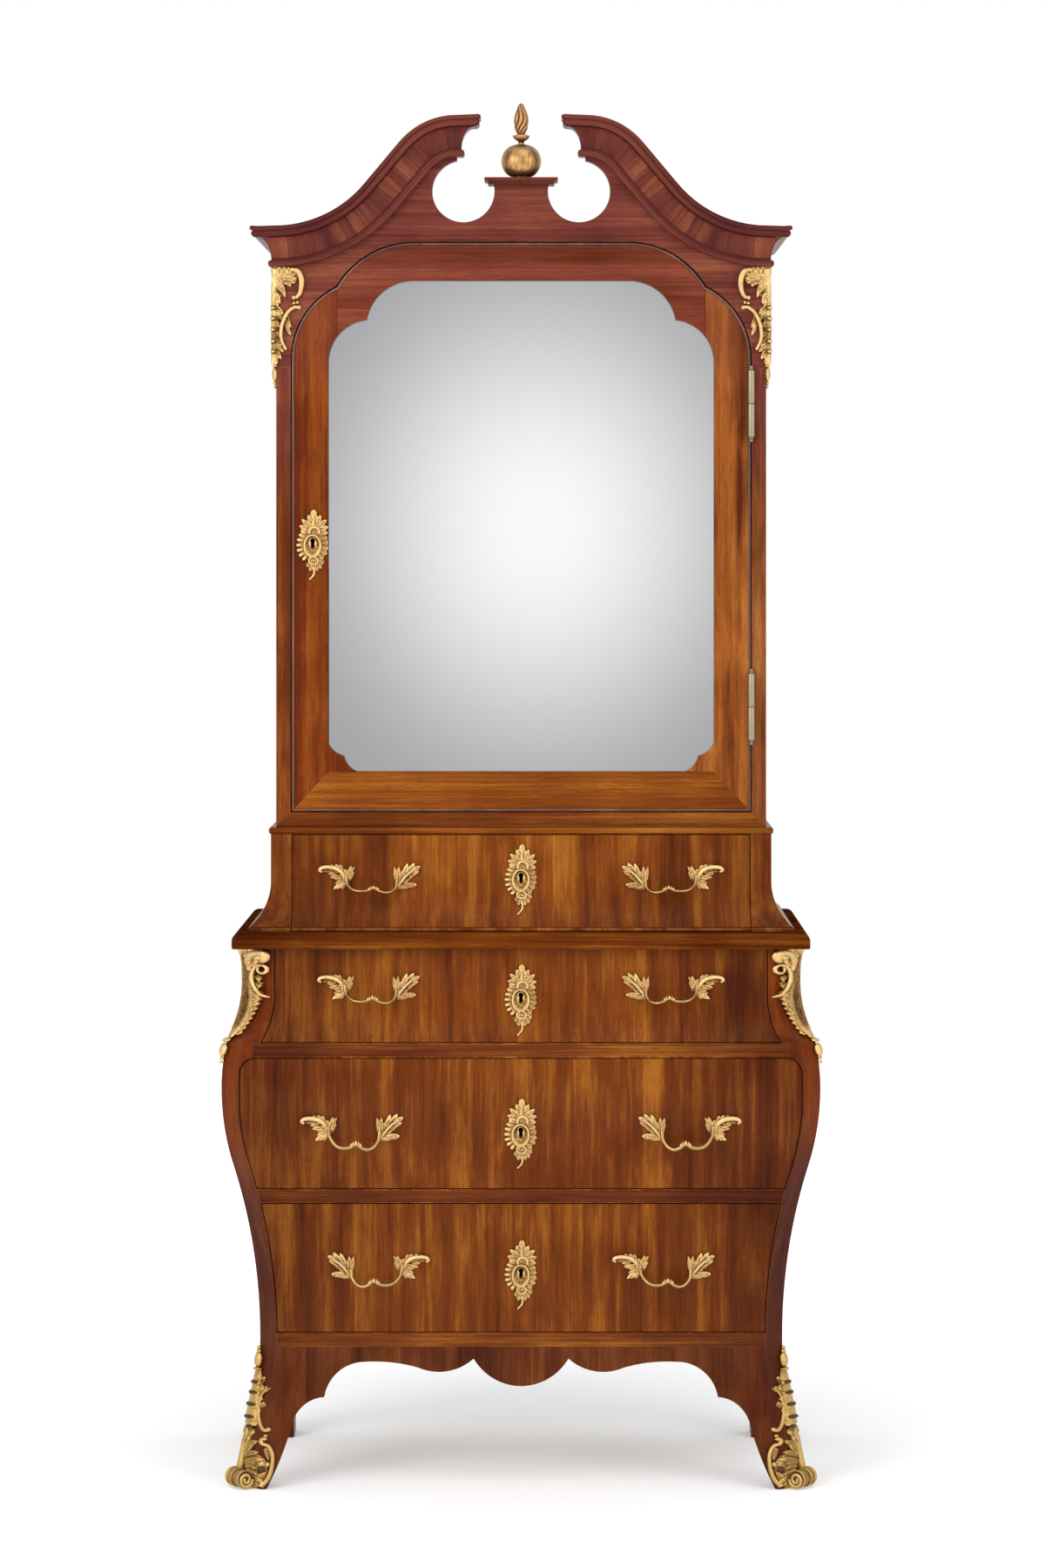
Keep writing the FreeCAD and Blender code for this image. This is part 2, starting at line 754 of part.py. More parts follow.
# Waist stage
def waist_corners(flat, sign, down):
    """Corners of the flared waist outline, from its top to its foot or back up."""
    foot, spring = "(top_z + waist_foot)", "(top_z + waist_foot + waist_cove)"
    radius = bow("waist_flare", "waist_cove")
    wide = f"({flat} {sign} waist_flare)"
    turn = "left" if (sign == "+") == down else "right"
    if down:
        return [(flat, "waist_top"), (flat, spring), (wide, foot, radius, turn), (wide, "top_z")]
    return [(wide, "top_z"), (wide, foot), (flat, spring, radius, turn), (flat, "waist_top")]


def waist_front_form(name, set_in):
    """Everything behind the waist's front moved in by set_in."""
    corners = [("back_y", "top_z"), ("back_y", "waist_top")] + waist_corners(f"(waist_y + {set_in})",
                                                                             "-", True)
    return pad(name, "YZ_Plane", corners, "far", side="Symmetric")


waist_front = waist_front_form("waist_form", "0")
waist_inner = waist_front_form("waist_inner_form", "front_t")
waist_sides = pad("waist_side_form", "XZ_Plane",
                  waist_corners("waist_half", "+", True) + waist_corners("-waist_half", "-", False),
                  "far", side="Symmetric")
waist_block = box("waist_block", "waist_bay", "far", "-far", "back_y", "top_z", "waist_top")
waist_side_right = common("waist_side_right", waist_block, waist_front, waist_sides)
waist_side_left = mirror("waist_side_left", waist_side_right)
waist_back = box("waist_back", "-waist_bay", "waist_bay",
                 "back_y - back_t", "back_y", "top_z", "waist_top")

# Cabinet carcase
base_body = pad("base_board", "XY_Plane",
                [("cab_half + base_over", "back_y"), ("-cab_half - base_over", "back_y"),
                 ("-cab_half - base_over", "cab_y - base_over"),
                 ("cab_half + base_over", "cab_y - base_over")],
                "base_t", at=("0", "0", "waist_top"))
doc.recompute()
round_edges(base_body, "base_upper_round", "base_round", shown_edge(value("base_t"), value("back_y")))
round_edges(base_body, "base_lower_round", "base_round", shown_edge(0, value("back_y")))
cabinet_base = cut("cabinet_base", base_body, mortise("waist_mortise", "waist_bolt_y", "waist_top"))
cabinet_side_right = box("cabinet_side_right", "cab_half - cab_side_t", "cab_half", "frame_y", "back_y",
                         "cab_base", "cab_top")
door_mortise = box("door_mortise", "-cab_half + cab_side_t - mortise_d", "-cab_half + cab_side_t",
                   "door_y + bolt_fit", "door_y + bolt_t + 2 * mortise_fit",
                   "door_key_z - bolt_w / 2 - mortise_fit", "door_key_z + bolt_w / 2 + mortise_fit")
cabinet_side_left = cut("cabinet_side_left", mirror("side_board_left", cabinet_side_right), door_mortise)
cabinet_back = box("cabinet_back", "-inner_half", "inner_half", "back_y - back_t", "back_y",
                   "cab_base", "cab_top")
back_panels = group("back_panels", commode_back, waist_back, cabinet_back)
cabinet_roof = box("cabinet_roof", "-inner_half", "inner_half", "frame_y", "back_y - back_t",
                   "cab_top - roof_t", "cab_top")
shelves = group("shelves", *[
    box(f"{level}_board", "-inner_half", "inner_half", "frame_y + shelf_set", "back_y - back_t",
        level, f"{level} + shelf_t") for level in ("shelf_low", "shelf_high")])

# Face frame: two stiles mitred to a sill
stile_corners = [("cab_half", "cab_base"), ("cab_half", "head_z"), ("bay_half", "head_z"),
                 ("bay_half", "sill_top")]
frame_stile = pad("frame_stile", "XZ_Plane", stile_corners, "frame_t", at=("0", "cab_y", "0"),
                  reverse=True)
frame_sill = pad("frame_sill", "XZ_Plane",
                 [("-cab_half", "cab_base"), ("cab_half", "cab_base"), ("bay_half", "sill_top"),
                  ("-bay_half", "sill_top")],
                 "frame_t", at=("0", "cab_y", "0"), reverse=True)

# Hinges: each has a lower knuckle with the pin on the stile and an upper knuckle on the door
case_leaves = []
door_leaves = []
case_slots = []
door_slots = []
for tag, low in (("low", "hinge_low"), ("high", "hinge_high")):
    middle = f"({low} + hinge_h / 2)"
    case_leaf = box(f"{tag}_case_leaf", "hinge_x + leaf_off - leaf_t / 2",
                    "hinge_x + leaf_off + leaf_t / 2",
                    "hinge_y", "cab_y + leaf_w - hinge_r", low, f"{middle} - hinge_gap / 2")
    door_leaf = box(f"{tag}_door_leaf", "hinge_x - leaf_off - leaf_t / 2",
                    "hinge_x - leaf_off + leaf_t / 2",
                    "hinge_y", "cab_y + leaf_w - hinge_r", f"{middle} + hinge_gap / 2",
                    f"{low} + hinge_h")
    barrel = cylinder(f"{tag}_case_barrel", "hinge_r", "hinge_h / 2 - hinge_gap / 2", "hinge_x",
                      "hinge_y", low)
    pin = cylinder(f"{tag}_pin", "hinge_pin", "hinge_h - hinge_r", "hinge_x", "hinge_y", low)
    case_tip = cylinder(f"{tag}_case_tip", "hinge_pin", "hinge_tip", "hinge_x", "hinge_y",
                        f"{low} - hinge_tip")
    case_leaves.append(fuse(f"{tag}_case_knuckle", barrel, pin, case_tip, case_leaf))
    sleeve = cylinder(f"{tag}_door_barrel", "hinge_r", "hinge_h / 2 - hinge_gap / 2", "hinge_x",
                      "hinge_y",
                      f"{middle} + hinge_gap / 2")
    bore = cylinder(f"{tag}_bore", "hinge_pin + hinge_fit", "hinge_h - hinge_r + hinge_gap", "hinge_x",
                    "hinge_y", low)
    door_tip = cylinder(f"{tag}_door_tip", "hinge_pin", "hinge_tip", "hinge_x", "hinge_y",
                        f"{low} + hinge_h")
    door_leaves.append(cut(f"{tag}_door_knuckle", fuse(f"{tag}_door_knuckle_full", sleeve, door_tip,
                                                       door_leaf), bore))
    case_slots.append(case_leaf)
    door_slots.append(door_leaf)
hinge_case_leaves = group("hinge_case_leaves", *case_leaves)
hinge_door_leaves = group("hinge_door_leaves", *door_leaves)
frame_stile_right = cut("frame_stile_right", frame_stile, *case_slots)
face_frame = group("face_frame", mirror("frame_stile_left", frame_stile), frame_stile_right, frame_sill)


# Door
def arched(half, cusp_out, crown, spring, point, top, left_to_right):
    """Corners of a head with a lower and an upper arc on each hand, from one spring to the other."""
    lower = bow(f"{half} - {cusp_out}", f"{point} - {spring}")
    upper = bow(f"{top} - {point}", f"{cusp_out} - {crown}")
    turn = "right" if left_to_right else "left"
    near, far = ("-", "") if left_to_right else ("", "-")
    return [(f"{near}{half}", spring), (f"{near}{cusp_out}", point, lower, turn),
            (f"{near}{crown}", top, upper, turn),
            (f"{far}{crown}", top), (f"{far}{cusp_out}", point, upper, turn),
            (f"{far}{half}", spring, lower, turn)]


def door_arch(grow, left_to_right):
    """The door's arched head moved out by grow."""
    return arched(f"(door_half + {grow})", f"(cusp_x + {grow})", "crown_x", "spring_z",
                  f"(cusp_z + {grow})",
                  f"(crown_z + {grow})", left_to_right)


def glass(name, grow, depth, y):
    """Plate with clipped upper corners that fills the rebate behind the sight edge."""
    half, foot = f"(sight_half + glass_lap + {grow})", f"(sight_bottom - glass_lap - {grow})"
    top, crown = f"(sight_top + glass_lap + {grow})", f"(glass_crown + {grow})"
    corners = [(half, foot), (half, "glass_shoulder"), (crown, top), (f"-{crown}", top),
               (f"-{half}", "glass_shoulder"), (f"-{half}", foot)]
    return pad(name, "XZ_Plane", corners, depth, at=("0", y, "0"), reverse=True)


def keyhole(name, x, z):
    """Round hole over a narrower slot, through everything in front of it."""
    eye = cylinder(name + "_eye", "key_r", "2 * far", x, "-far", z, Vector(0, 1, 0))
    slot = box(name + "_slot", f"{x} - key_w / 2", f"{x} + key_w / 2", "-far", "far",
               f"{z} - key_drop", z)
    return fuse(name, eye, slot)


def door_member(name, corners, *tools):
    """One member of the door frame, with the mirror's rebate."""
    blank = pad(name + "_blank", "XZ_Plane", corners, "door_t", at=("0", "cab_y", "0"), reverse=True)
    return cut(name, blank, rebate, *tools)


rebate = glass("glass_rebate", "bolt_fit", "door_t", "cab_y + glass_set")
door_mirror = glass("door_mirror", "0", "glass_t", "cab_y + glass_set")
door_panel = glass("door_panel", "0", "panel_t", "cab_y + glass_set + glass_t")
door_key = keyhole("door_keyhole", "-door_key_x", "door_key_z")
sight = arched("sight_half", "sight_cusp_x", "sight_crown_x", "sight_spring", "sight_cusp_z",
               "sight_top", True)
stile_right_corners = [("door_half", "door_foot"), ("door_half", "head_z"), ("sight_half", "head_z"),
                       ("sight_half", "sight_bottom")]
stile_left_corners = [("-door_half", "door_foot"), ("-sight_half", "sight_bottom"), ("-sight_half", "head_z"),
                      ("-door_half", "head_z")]
door_stile_right = door_member("door_stile_right", stile_right_corners, *door_slots)
door_stile_left = door_member("door_stile_left", stile_left_corners, door_key)
door_foot_rail = door_member("door_foot_rail", [
    ("-door_half", "door_foot"), ("door_half", "door_foot"), ("sight_half", "sight_bottom"),
    ("sight_half", "nook_top"),
    ("nook_x", "nook_z", "nook_r", "right"), ("nook_foot", "sight_bottom", "nook_r", "right"),
    ("-nook_foot", "sight_bottom"), ("-nook_x", "nook_z", "nook_r", "right"),
    ("-sight_half", "nook_top", "nook_r", "right"), ("-sight_half", "sight_bottom")])
door_head_rail = door_member("door_head_rail", [("door_half", "head_z")] + door_arch("0", False) + [
    ("-door_half", "head_z"), ("-sight_half", "head_z")] + sight + [("sight_half", "head_z")])
door_frame = group("door_frame", door_stile_left, door_stile_right, door_foot_rail, door_head_rail)
door_lock_case = box("door_lock_case", "lock_left", "-(sight_half + glass_lap + lock_wall)", "door_y",
                     "door_bolt_y + bolt_t + bolt_fit + lock_wall", "door_key_z - door_lock_h / 2",
                     "door_key_z + door_lock_h / 2")
door_channel = box("door_channel", "lock_left", "lock_left + door_bolt_h + lock_wall",
                   "door_bolt_y - bolt_fit",
                   "door_bolt_y + bolt_t + bolt_fit", "door_key_z - bolt_w / 2 - bolt_fit",
                   "door_key_z + bolt_w / 2 + bolt_fit")
door_lock = cut("door_lock", door_lock_case, door_channel)
door_bolt = box("door_bolt", "lock_left + bolt_fit", "lock_left + bolt_fit + door_bolt_h", "door_bolt_y",
                "door_bolt_y + bolt_t", "door_key_z - bolt_w / 2", "door_key_z + bolt_w / 2")

# Pediment: tympanum board with two rings cut out of it


def swan_path(up, outward):
    """Corners of the swan-neck line moved up square to itself: inward on the right, outward on the left."""
    lower, upper = f"(swan_lower_r - ({up}))", f"(swan_upper_r + ({up}))"
    foot = f"(cornice_z + ({up}))"
    bend_x = f"(cab_half - {lower} * sin(swan_slope))"
    bend_z = f"({foot} + {lower} * (1 - cos(swan_slope)))"
    turn_x = f"({bend_x} - swan_run * cos(swan_slope))"
    turn_z = f"({bend_z} + swan_run * sin(swan_slope))"
    head = f"(cornice_z + swan_rise + ({up}))"
    if outward:
        return [("-swan_inner", head), (f"-{turn_x}", turn_z, upper, "left"), (f"-{bend_x}", bend_z),
                ("-cab_half", foot, lower, "right")]
    return [("cab_half", foot), (bend_x, bend_z, lower, "right"), (turn_x, turn_z),
            ("swan_inner", head, upper, "left")]


tympanum_outline = ([("-cab_half", "head_z"), ("-bay_half", "head_z")] + door_arch("reveal", True)
                    + [("bay_half", "head_z"), ("cab_half", "head_z")] + swan_path("board_up", False)
                    + [("swan_inner", "ring_z"), ("plinth_half", "ring_z"), ("plinth_half", "plinth_z"),
                       ("-plinth_half", "plinth_z"), ("-plinth_half", "ring_z"),
                       ("-swan_inner", "ring_z")]
                    + swan_path("board_up", True))
tympanum_board = pad("tympanum_board", "XZ_Plane", tympanum_outline, "frame_t", at=("0", "cab_y", "0"),
                     reverse=True)
rings = [cylinder(f"ring_{hand}", "ring_r", "2 * far", x, "-far", "ring_z", Vector(0, 1, 0))
         for hand, x in (("left", "-ring_x"), ("right", "ring_x"))]
tympanum = cut("tympanum", tympanum_board, *rings)


# Cornice: swept front moulding with mitred outer and inner returns
def cornice_profile(flat, base, sign):
    """Corners of the cornice section: bead, cove and lip, standing out from flat towards sign."""

    def at(out, up):
        return (f"({flat} {sign} ({out}))", f"({base} + {up})")

    return [at("0", "0"), at("bead_out", "0"), at("bead_out + bead_cut", "bead_cut"),
            at("bead_out + bead_cut", "bead_h - bead_cut"), at("bead_out", "bead_h"),
            at("cove_in", "bead_h"),
            at("cove_in", "cove_foot"),
            at("cove_in + (cove_out - cove_in) / 9", "cove_foot + (cove_top - cove_foot) / 3"),
            at("cove_in + 4 * (cove_out - cove_in) / 9", "cove_foot + 2 * (cove_top - cove_foot) / 3"),
            at("cove_out", "cove_top"), at("lip_in", "cove_top"),
            at("lip_out", "cove_top + lip_cut"), at("lip_out", "lip_z"),
            at("cornice_out", "lip_z"), at("cornice_out", "cornice_h"), at("0", "cornice_h")]


def wedge(name, x, sign, front_half):
    """Corner prism on one side of a mitre plane through the cabinet's front at x."""
    far_x = f"({x} {sign} 2 * cornice_out)"
    far_y = "(cab_y - 2 * cornice_out)"
    third = (far_x, "cab_y") if front_half else (x, far_y)
    corners = [(x, "cab_y"), (far_x, far_y), third]
    return pad(name, "XY_Plane", corners, "2 * cab_top")


moulding = doc.addObject("PartDesign::Body", "moulding")
path = draw(moulding, "moulding_path", "XZ_Plane", [("cab_half + cornice_out", "cornice_z")]
            + swan_path("0", False) + [("swan_inner - cornice_out", "cornice_z + swan_rise")],
            closed=False)
section = draw(moulding, "moulding_section", "YZ_Plane", cornice_profile("cab_y", "cornice_z", "-"))
section.setExpression("AttachmentOffset.Base.z", bind("cab_half + cornice_out"))
sweep = moulding.newObject("PartDesign::AdditivePipe", "moulding_sweep")
sweep.Profile = section
sweep.Spine = (path, [])
front_moulding = cut("front_moulding", moulding, wedge("outer_mitre_front", "cab_half", "+", True),
                     wedge("inner_mitre_front", "swan_inner", "-", True))
side_length = "back_y - cab_y + cornice_out"
side_return = cut("side_return", pad("side_return_blank", "XZ_Plane",
                                     cornice_profile("cab_half", "cornice_z", "+"),
                                     side_length, at=("0", "cab_y - cornice_out", "0"), reverse=True),
                  wedge("outer_mitre_side", "cab_half", "+", False))
inner_return = cut("inner_return", pad("inner_return_blank", "XZ_Plane",
                                       cornice_profile("swan_inner", "cornice_z + swan_rise", "-"),
                                       "frame_t + cornice_out", at=("0", "cab_y - cornice_out", "0"),
                                       reverse=True),
                   wedge("inner_mitre_side", "swan_inner", "-", False))
cornice_right = group("cornice_right", front_moulding, side_return, inner_return)
cornice_left = mirror("cornice_left", cornice_right)

# Plinth cap and finial
cap_slab = box("cap_slab", "-cap_half", "cap_half", "pediment_y - cap_depth / 2",
               "pediment_y + cap_depth / 2",
               "plinth_z + cap_t / 2", "plinth_z + cap_t")
cap_bed = box("cap_bed", "-cap_half + cap_t / 2", "cap_half - cap_t / 2",
              "pediment_y - cap_depth / 2 + cap_t / 2",
              "pediment_y + cap_depth / 2 - cap_t / 2", "plinth_z", "plinth_z + cap_t / 2")
plinth_cap = fuse("plinth_cap", cap_slab, cap_bed)


BALL_SIDES = 24
BALL_BANDS = 8


def ball_shape():
    """Ball with a neck and a sharp-edged disc over it, turned in many flats."""
    ball_r, ball_h = value("ball_r"), value("ball_h")
    outline = []
    for band in range(BALL_BANDS + 1):
        up = ball_h * band / BALL_BANDS
        outline.append((math.sqrt(ball_r ** 2 - (up - ball_h / 2) ** 2), up))
    outline += [(value("neck_r"), ball_h), (value("neck_r"), value("ball_h + neck_h")),
                (value("disc_r"), value("ball_h + neck_h + disc_h / 2")),
                (value("neck_r"), value("ball_h + neck_h + disc_h"))]
    return faceted([ring_about(Vector(0, 0, up), Vector(1, 0, 0), Vector(0, 1, 0), radius, BALL_SIDES)
                    for radius, up in outline])


finial_ball = place(feature("finial_ball", ball_shape()), "0", "pediment_y", "plinth_z + cap_t")
FLUTES = 6
FLAME_TURN = 50
FLAME_SHARES = ((0.0, 0.55), (0.2, 0.9), (0.42, 1.0), (0.7, 0.72), (0.9, 0.34), (1.0, 0.1))


def flame_shape():
    """Twisted, fluted flame as a solid of flat facets."""
    rings = []
    for share, width in FLAME_SHARES:
        ring = []
        for step in range(2 * FLUTES):
            radius = value("flame_r") * width * (1.0 if step % 2 == 0 else 0.8)
            angle = math.radians(180 / FLUTES * step + FLAME_TURN * share)
            ring.append(Vector(radius * math.cos(angle), radius * math.sin(angle),
                               share * value("flame_h")))
        rings.append(ring)
    return faceted(rings)


finial_flame = feature("finial_flame", flame_shape())
place(finial_flame, "0", "pediment_y", "plinth_z + cap_t + ball_h + neck_h + disc_h")


# Gilt mounts
def corner_prism(name, outline):
    """Outline seen along the right corner's diagonal, pushed through the corner."""
    prism = pad(name, "XZ_Plane", outline, "far")
    prism.Placement.Rotation = Rotation(Vector(0, 0, 1), 45)
    return place(prism, "(half + neck_y) / 2", "(half + neck_y) / 2")


def both_hands(corners):
    """Outline from its right half, tip to foot."""
    return corners + [(f"-({x})", z) for x, z in reversed(corners)]


gilt_form = common("gilt_form", gilt_front, gilt_sides, gilt_cant)
chest_leaf = corner_prism("chest_leaf", both_hands([
    ("chest_mount_w / 2", "case_top"), ("chest_mount_w / 2", "case_top - chest_mount_h / 4"),
    ("chest_mount_w / 4", "case_top - chest_mount_h / 3"),
    ("chest_mount_w / 3", "case_top - chest_mount_h / 2"),
    ("chest_mount_w / 10", "case_top - 4 * chest_mount_h / 5"),
    ("chest_mount_w / 8", "case_top - chest_mount_h")]))
chest_mount_right = cut("chest_mount_right", common("chest_mount_form", chest_leaf, gilt_form),
                        solid_form)
chest_mounts = group("chest_mounts", mirror("chest_mount_left", chest_mount_right), chest_mount_right)
sabot_leaf = corner_prism("sabot_leaf", both_hands([
    ("sabot_tip_w / 2", "sabot_h"), ("sabot_tip_w / 2", "5 * sabot_h / 6"),
    ("sabot_w / 2", "3 * sabot_h / 4"),
    ("sabot_w / 2", "sabot_h / 2"), ("sabot_w / 3", "2 * sabot_h / 5"), ("sabot_w / 2", "sabot_h / 4"),
    ("scroll_w / 2", "0")]))
sabot_shell = cut("sabot_shell", common("sabot_form", sabot_leaf, gilt_form), solid_form)
toe_body = pad("toe_scroll", "YZ_Plane", [
    ("-cant_face + cant", "0"), ("-cant_face + cant", "4 * scroll_r"),
    ("-cant_face - gilt_t", "4 * scroll_r"),
    ("-scroll_reach", "2 * scroll_r", bow("scroll_reach - cant_face - gilt_t", "2 * scroll_r"), "right"),
    ("-scroll_reach - scroll_r", "scroll_r", "scroll_r", "left"),
    ("-scroll_reach", "0", "scroll_r", "left")],
    "scroll_w", side="Symmetric")
toe_body.Placement.Rotation = Rotation(Vector(0, 0, 1), 45)
place(toe_body, "(half + neck_y) / 2", "(half + neck_y) / 2")
sabot_right = fuse("sabot_right", sabot_shell, cut("toe_outside", toe_body, solid_form))
sabots = group("sabots", mirror("sabot_left", sabot_right), sabot_right)
cabinet_leaf = pad("cabinet_leaf", "XZ_Plane", [
    ("mount_outer", "cornice_z"), ("mount_outer - mount_top_w", "cornice_z"),
    ("mount_outer - mount_top_w", "cornice_z - mount_h / 4"),
    ("mount_outer - mount_low_w", "cornice_z - 3 * mount_h / 5"),
    ("mount_outer - mount_low_w", "mount_foot"),
    ("mount_outer", "mount_foot")], "gilt_t", at=("0", "cab_y", "0"))
cabinet_flank = box("cabinet_flank", "cab_half", "mount_outer", "cab_y", "cab_y + mount_low_w",
                    "mount_foot", "cornice_z")
cabinet_mount_right = fuse("cabinet_mount_right", cabinet_leaf, cabinet_flank)
cabinet_mounts = group("cabinet_mounts", mirror("cabinet_mount_left", cabinet_mount_right),
                       cabinet_mount_right)

# Escutcheon outline and the two hands of the pull casting
plate_pattern = pad("plate_pattern", "XZ_Plane", [
    ("0", "-plate_down"), ("plate_half / 2", "-2 * plate_down / 3"), ("plate_half", "-plate_down / 4"),
    ("plate_half", "plate_up / 8"), ("3 * plate_half / 4", "plate_up / 3"),
    ("7 * plate_half / 8", "plate_up / 2"),
    ("plate_half / 3", "2 * plate_up / 3"), ("0", "plate_up"), ("-plate_half / 3", "2 * plate_up / 3"),
    ("-7 * plate_half / 8", "plate_up / 2"), ("-3 * plate_half / 4", "plate_up / 3"),
    ("-plate_half", "plate_up / 8"),
    ("-plate_half", "-plate_down / 4"), ("-plate_half / 2", "-2 * plate_down / 3")], "far",
    side="Symmetric")

# Pull casting, from the collar at its middle: leaf outlines and the bail's points in its own tilted plane
LONG_LEAF = ((-43, 3), (-53, -2), (-63, -2), (-58, 15), (-69, 19), (-74, 26), (-87, 26), (-87, 33),
             (-61, 38),
             (-47, 29), (-32, 35), (-40, 12))
SHORT_LEAF = ((36, 0), (35, 14), (31, 33), (44, 29), (64, 40), (74, 35), (63, 22), (52, 14), (67, 5),
              (54, 1))
BAIL_LEFT = ((-44, 10), (-23, -12), (0, 0))
BAIL_RIGHT = ((0, 0), (19, -15), (38, 6))
BAIL_STEPS = 5
tilt = math.radians(value("bail_tilt"))
bail_drop = 15 * math.sin(tilt) + value("bail_r")


def bail_point(x, v):
    """A point of the bail's plane in the pull's frame, whose front plane just touches the bail."""
    return Vector(x, bail_drop + v * math.sin(tilt), v * math.cos(tilt))


def bail_shape():
    """The bail's two lobes as six-sided bars with a cut bead as the collar between them."""
    across = Vector(1, 0, 0)
    off = Vector(0, math.cos(tilt), -math.sin(tilt))
    collar = value("collar_r")
    bead = [ring_about(bail_point(0, 0) + across * (collar * step), off.cross(across), off, collar * share, 6)
            for step, share in ((-1, 0.5), (-0.4, 1), (0.4, 1), (1, 0.5))]
    solids = [faceted(bead)]
    for points in (BAIL_LEFT, BAIL_RIGHT):
        arc = Part.Arc(*[bail_point(x, v) for x, v in points])
        span = arc.LastParameter - arc.FirstParameter
        bar = []
        for step in range(BAIL_STEPS + 1):
            stop = arc.FirstParameter + span * step / BAIL_STEPS
            bar.append(ring_about(arc.value(stop), off.cross(arc.tangent(stop)[0]), off, value("bail_r"), 6))
        solids.append(faceted(bar))
    return solids[0].fuse(solids[1:]).removeSplitter()


def leaf_shape():
    """Both leaf clusters as deep prisms that the drawer front trims."""
    reach = value("far")
    faces = []
    for outline in (LONG_LEAF, SHORT_LEAF):
        ring = [Vector(x, -reach, z) for x, z in outline]
        faces.append(Part.Face(Part.makePolygon(ring + ring[:1])).extrude(Vector(0, 2 * reach, 0)))
    return Part.makeCompound(faces)


bails = {"outer": feature("bail_outer", bail_shape())}
leaves = {"outer": feature("leaf_outer", leaf_shape())}
bails["inner"] = mirror("bail_inner", bails["outer"])
leaves["inner"] = mirror("leaf_inner", leaves["outer"])

# Forms that the castings follow
leaf_form = front_form("leaf_form", "leaf_relief")
waist_gilt = waist_front_form("waist_gilt_form", "-gilt_t")
waist_leaf = waist_front_form("waist_leaf_form", "-leaf_relief")


# Drawers
def drawer_box(name, half, low, high, inner):
    """Two sides, a back and a bottom behind a shaped front."""
    start, stop = "neck_y - bulge", "back_y - back_t - box_gap"
    inside = f"({half} - board_t)"
    boards = {
        "side_right": (inside, half, start, stop, low, high),
        "side_left": (f"-{half}", f"-{inside}", start, stop, low, high),
        "back": (f"-{inside}", inside, f"{stop} - board_t", stop, low, high),
        "bottom": (f"-{inside}", inside, start, f"{stop} - board_t", f"{low} + bottom_up",
                   f"{low} + bottom_up + bottom_t"),
    }
    shaped = []
    for piece, planes in boards.items():
        blank = box(f"{name}_{piece}_blank", *planes)
        shaped.append(common(f"{name}_{piece}", blank, inner))
    return group(name, *shaped)


def drawer_pull(name, x, y, z, pattern, form, skin):
    """One pull casting, trimmed to the drawer front it sits on."""
    bail = place(group(f"{name}_bail", bails[pattern]), x, y, z)
    leaf = place(group(f"{name}_leaf", leaves[pattern]), x, "0", z)
    leaf = cut(f"{name}_trimmed", common(f"{name}_relief", leaf, skin), form)
    return fuse(name, leaf, cut(f"{name}_bail_outside", bail, form))


upper_range = box("upper_range", "-far", "far", "-far", "far", "shoulder_z + reveal", "case_top - reveal")
middle_range = box("middle_range", "-far", "far", "-far", "far", "middle_rail_z + reveal",
                   "upper_rail_foot - reveal")
lower_range = box("lower_range", "-far", "far", "-far", "far", "bottom_rail_z + reveal",
                  "middle_rail_foot - reveal")
waist_blank = box("waist_blank", "-waist_front_half", "waist_front_half", "-far", "far", "top_z + reveal",
                  "waist_top - reveal")
rounded = lower_opening("middle_outline", "reveal", "middle_rail_z", "upper_rail_foot - reveal")
blanks = {
    "waist": waist_blank,
    "upper": common("upper_blank", upper_opening("upper_outline", "-reveal"), upper_range),
    "middle": common("middle_blank", drawer_bay, rounded, middle_range),
    "lower": common("lower_blank", drawer_bay, lower_range),
}
DRAWERS = {
    "waist": ("top_z", "(waist_top - reveal)", "waist_bolt_y", "waist_box_half",
              "(waist_y - pull_stand)", "outer"),
    "upper": ("shoulder_z", "(case_top - reveal)", "upper_bolt_y", "box_half", "(neck_y - pull_stand)",
              "outer"),
    "middle": ("middle_rail_z", "(upper_rail_foot - reveal)", "middle_bolt_y", "box_half", "(-back_y)",
               "outer"),
    "lower": ("bottom_rail_z", "(middle_rail_foot - reveal)", "lower_bolt_y", "box_half",
              "(neck_y + lower_pull_set - pull_stand)", "inner"),
}
drawer_nodes = []
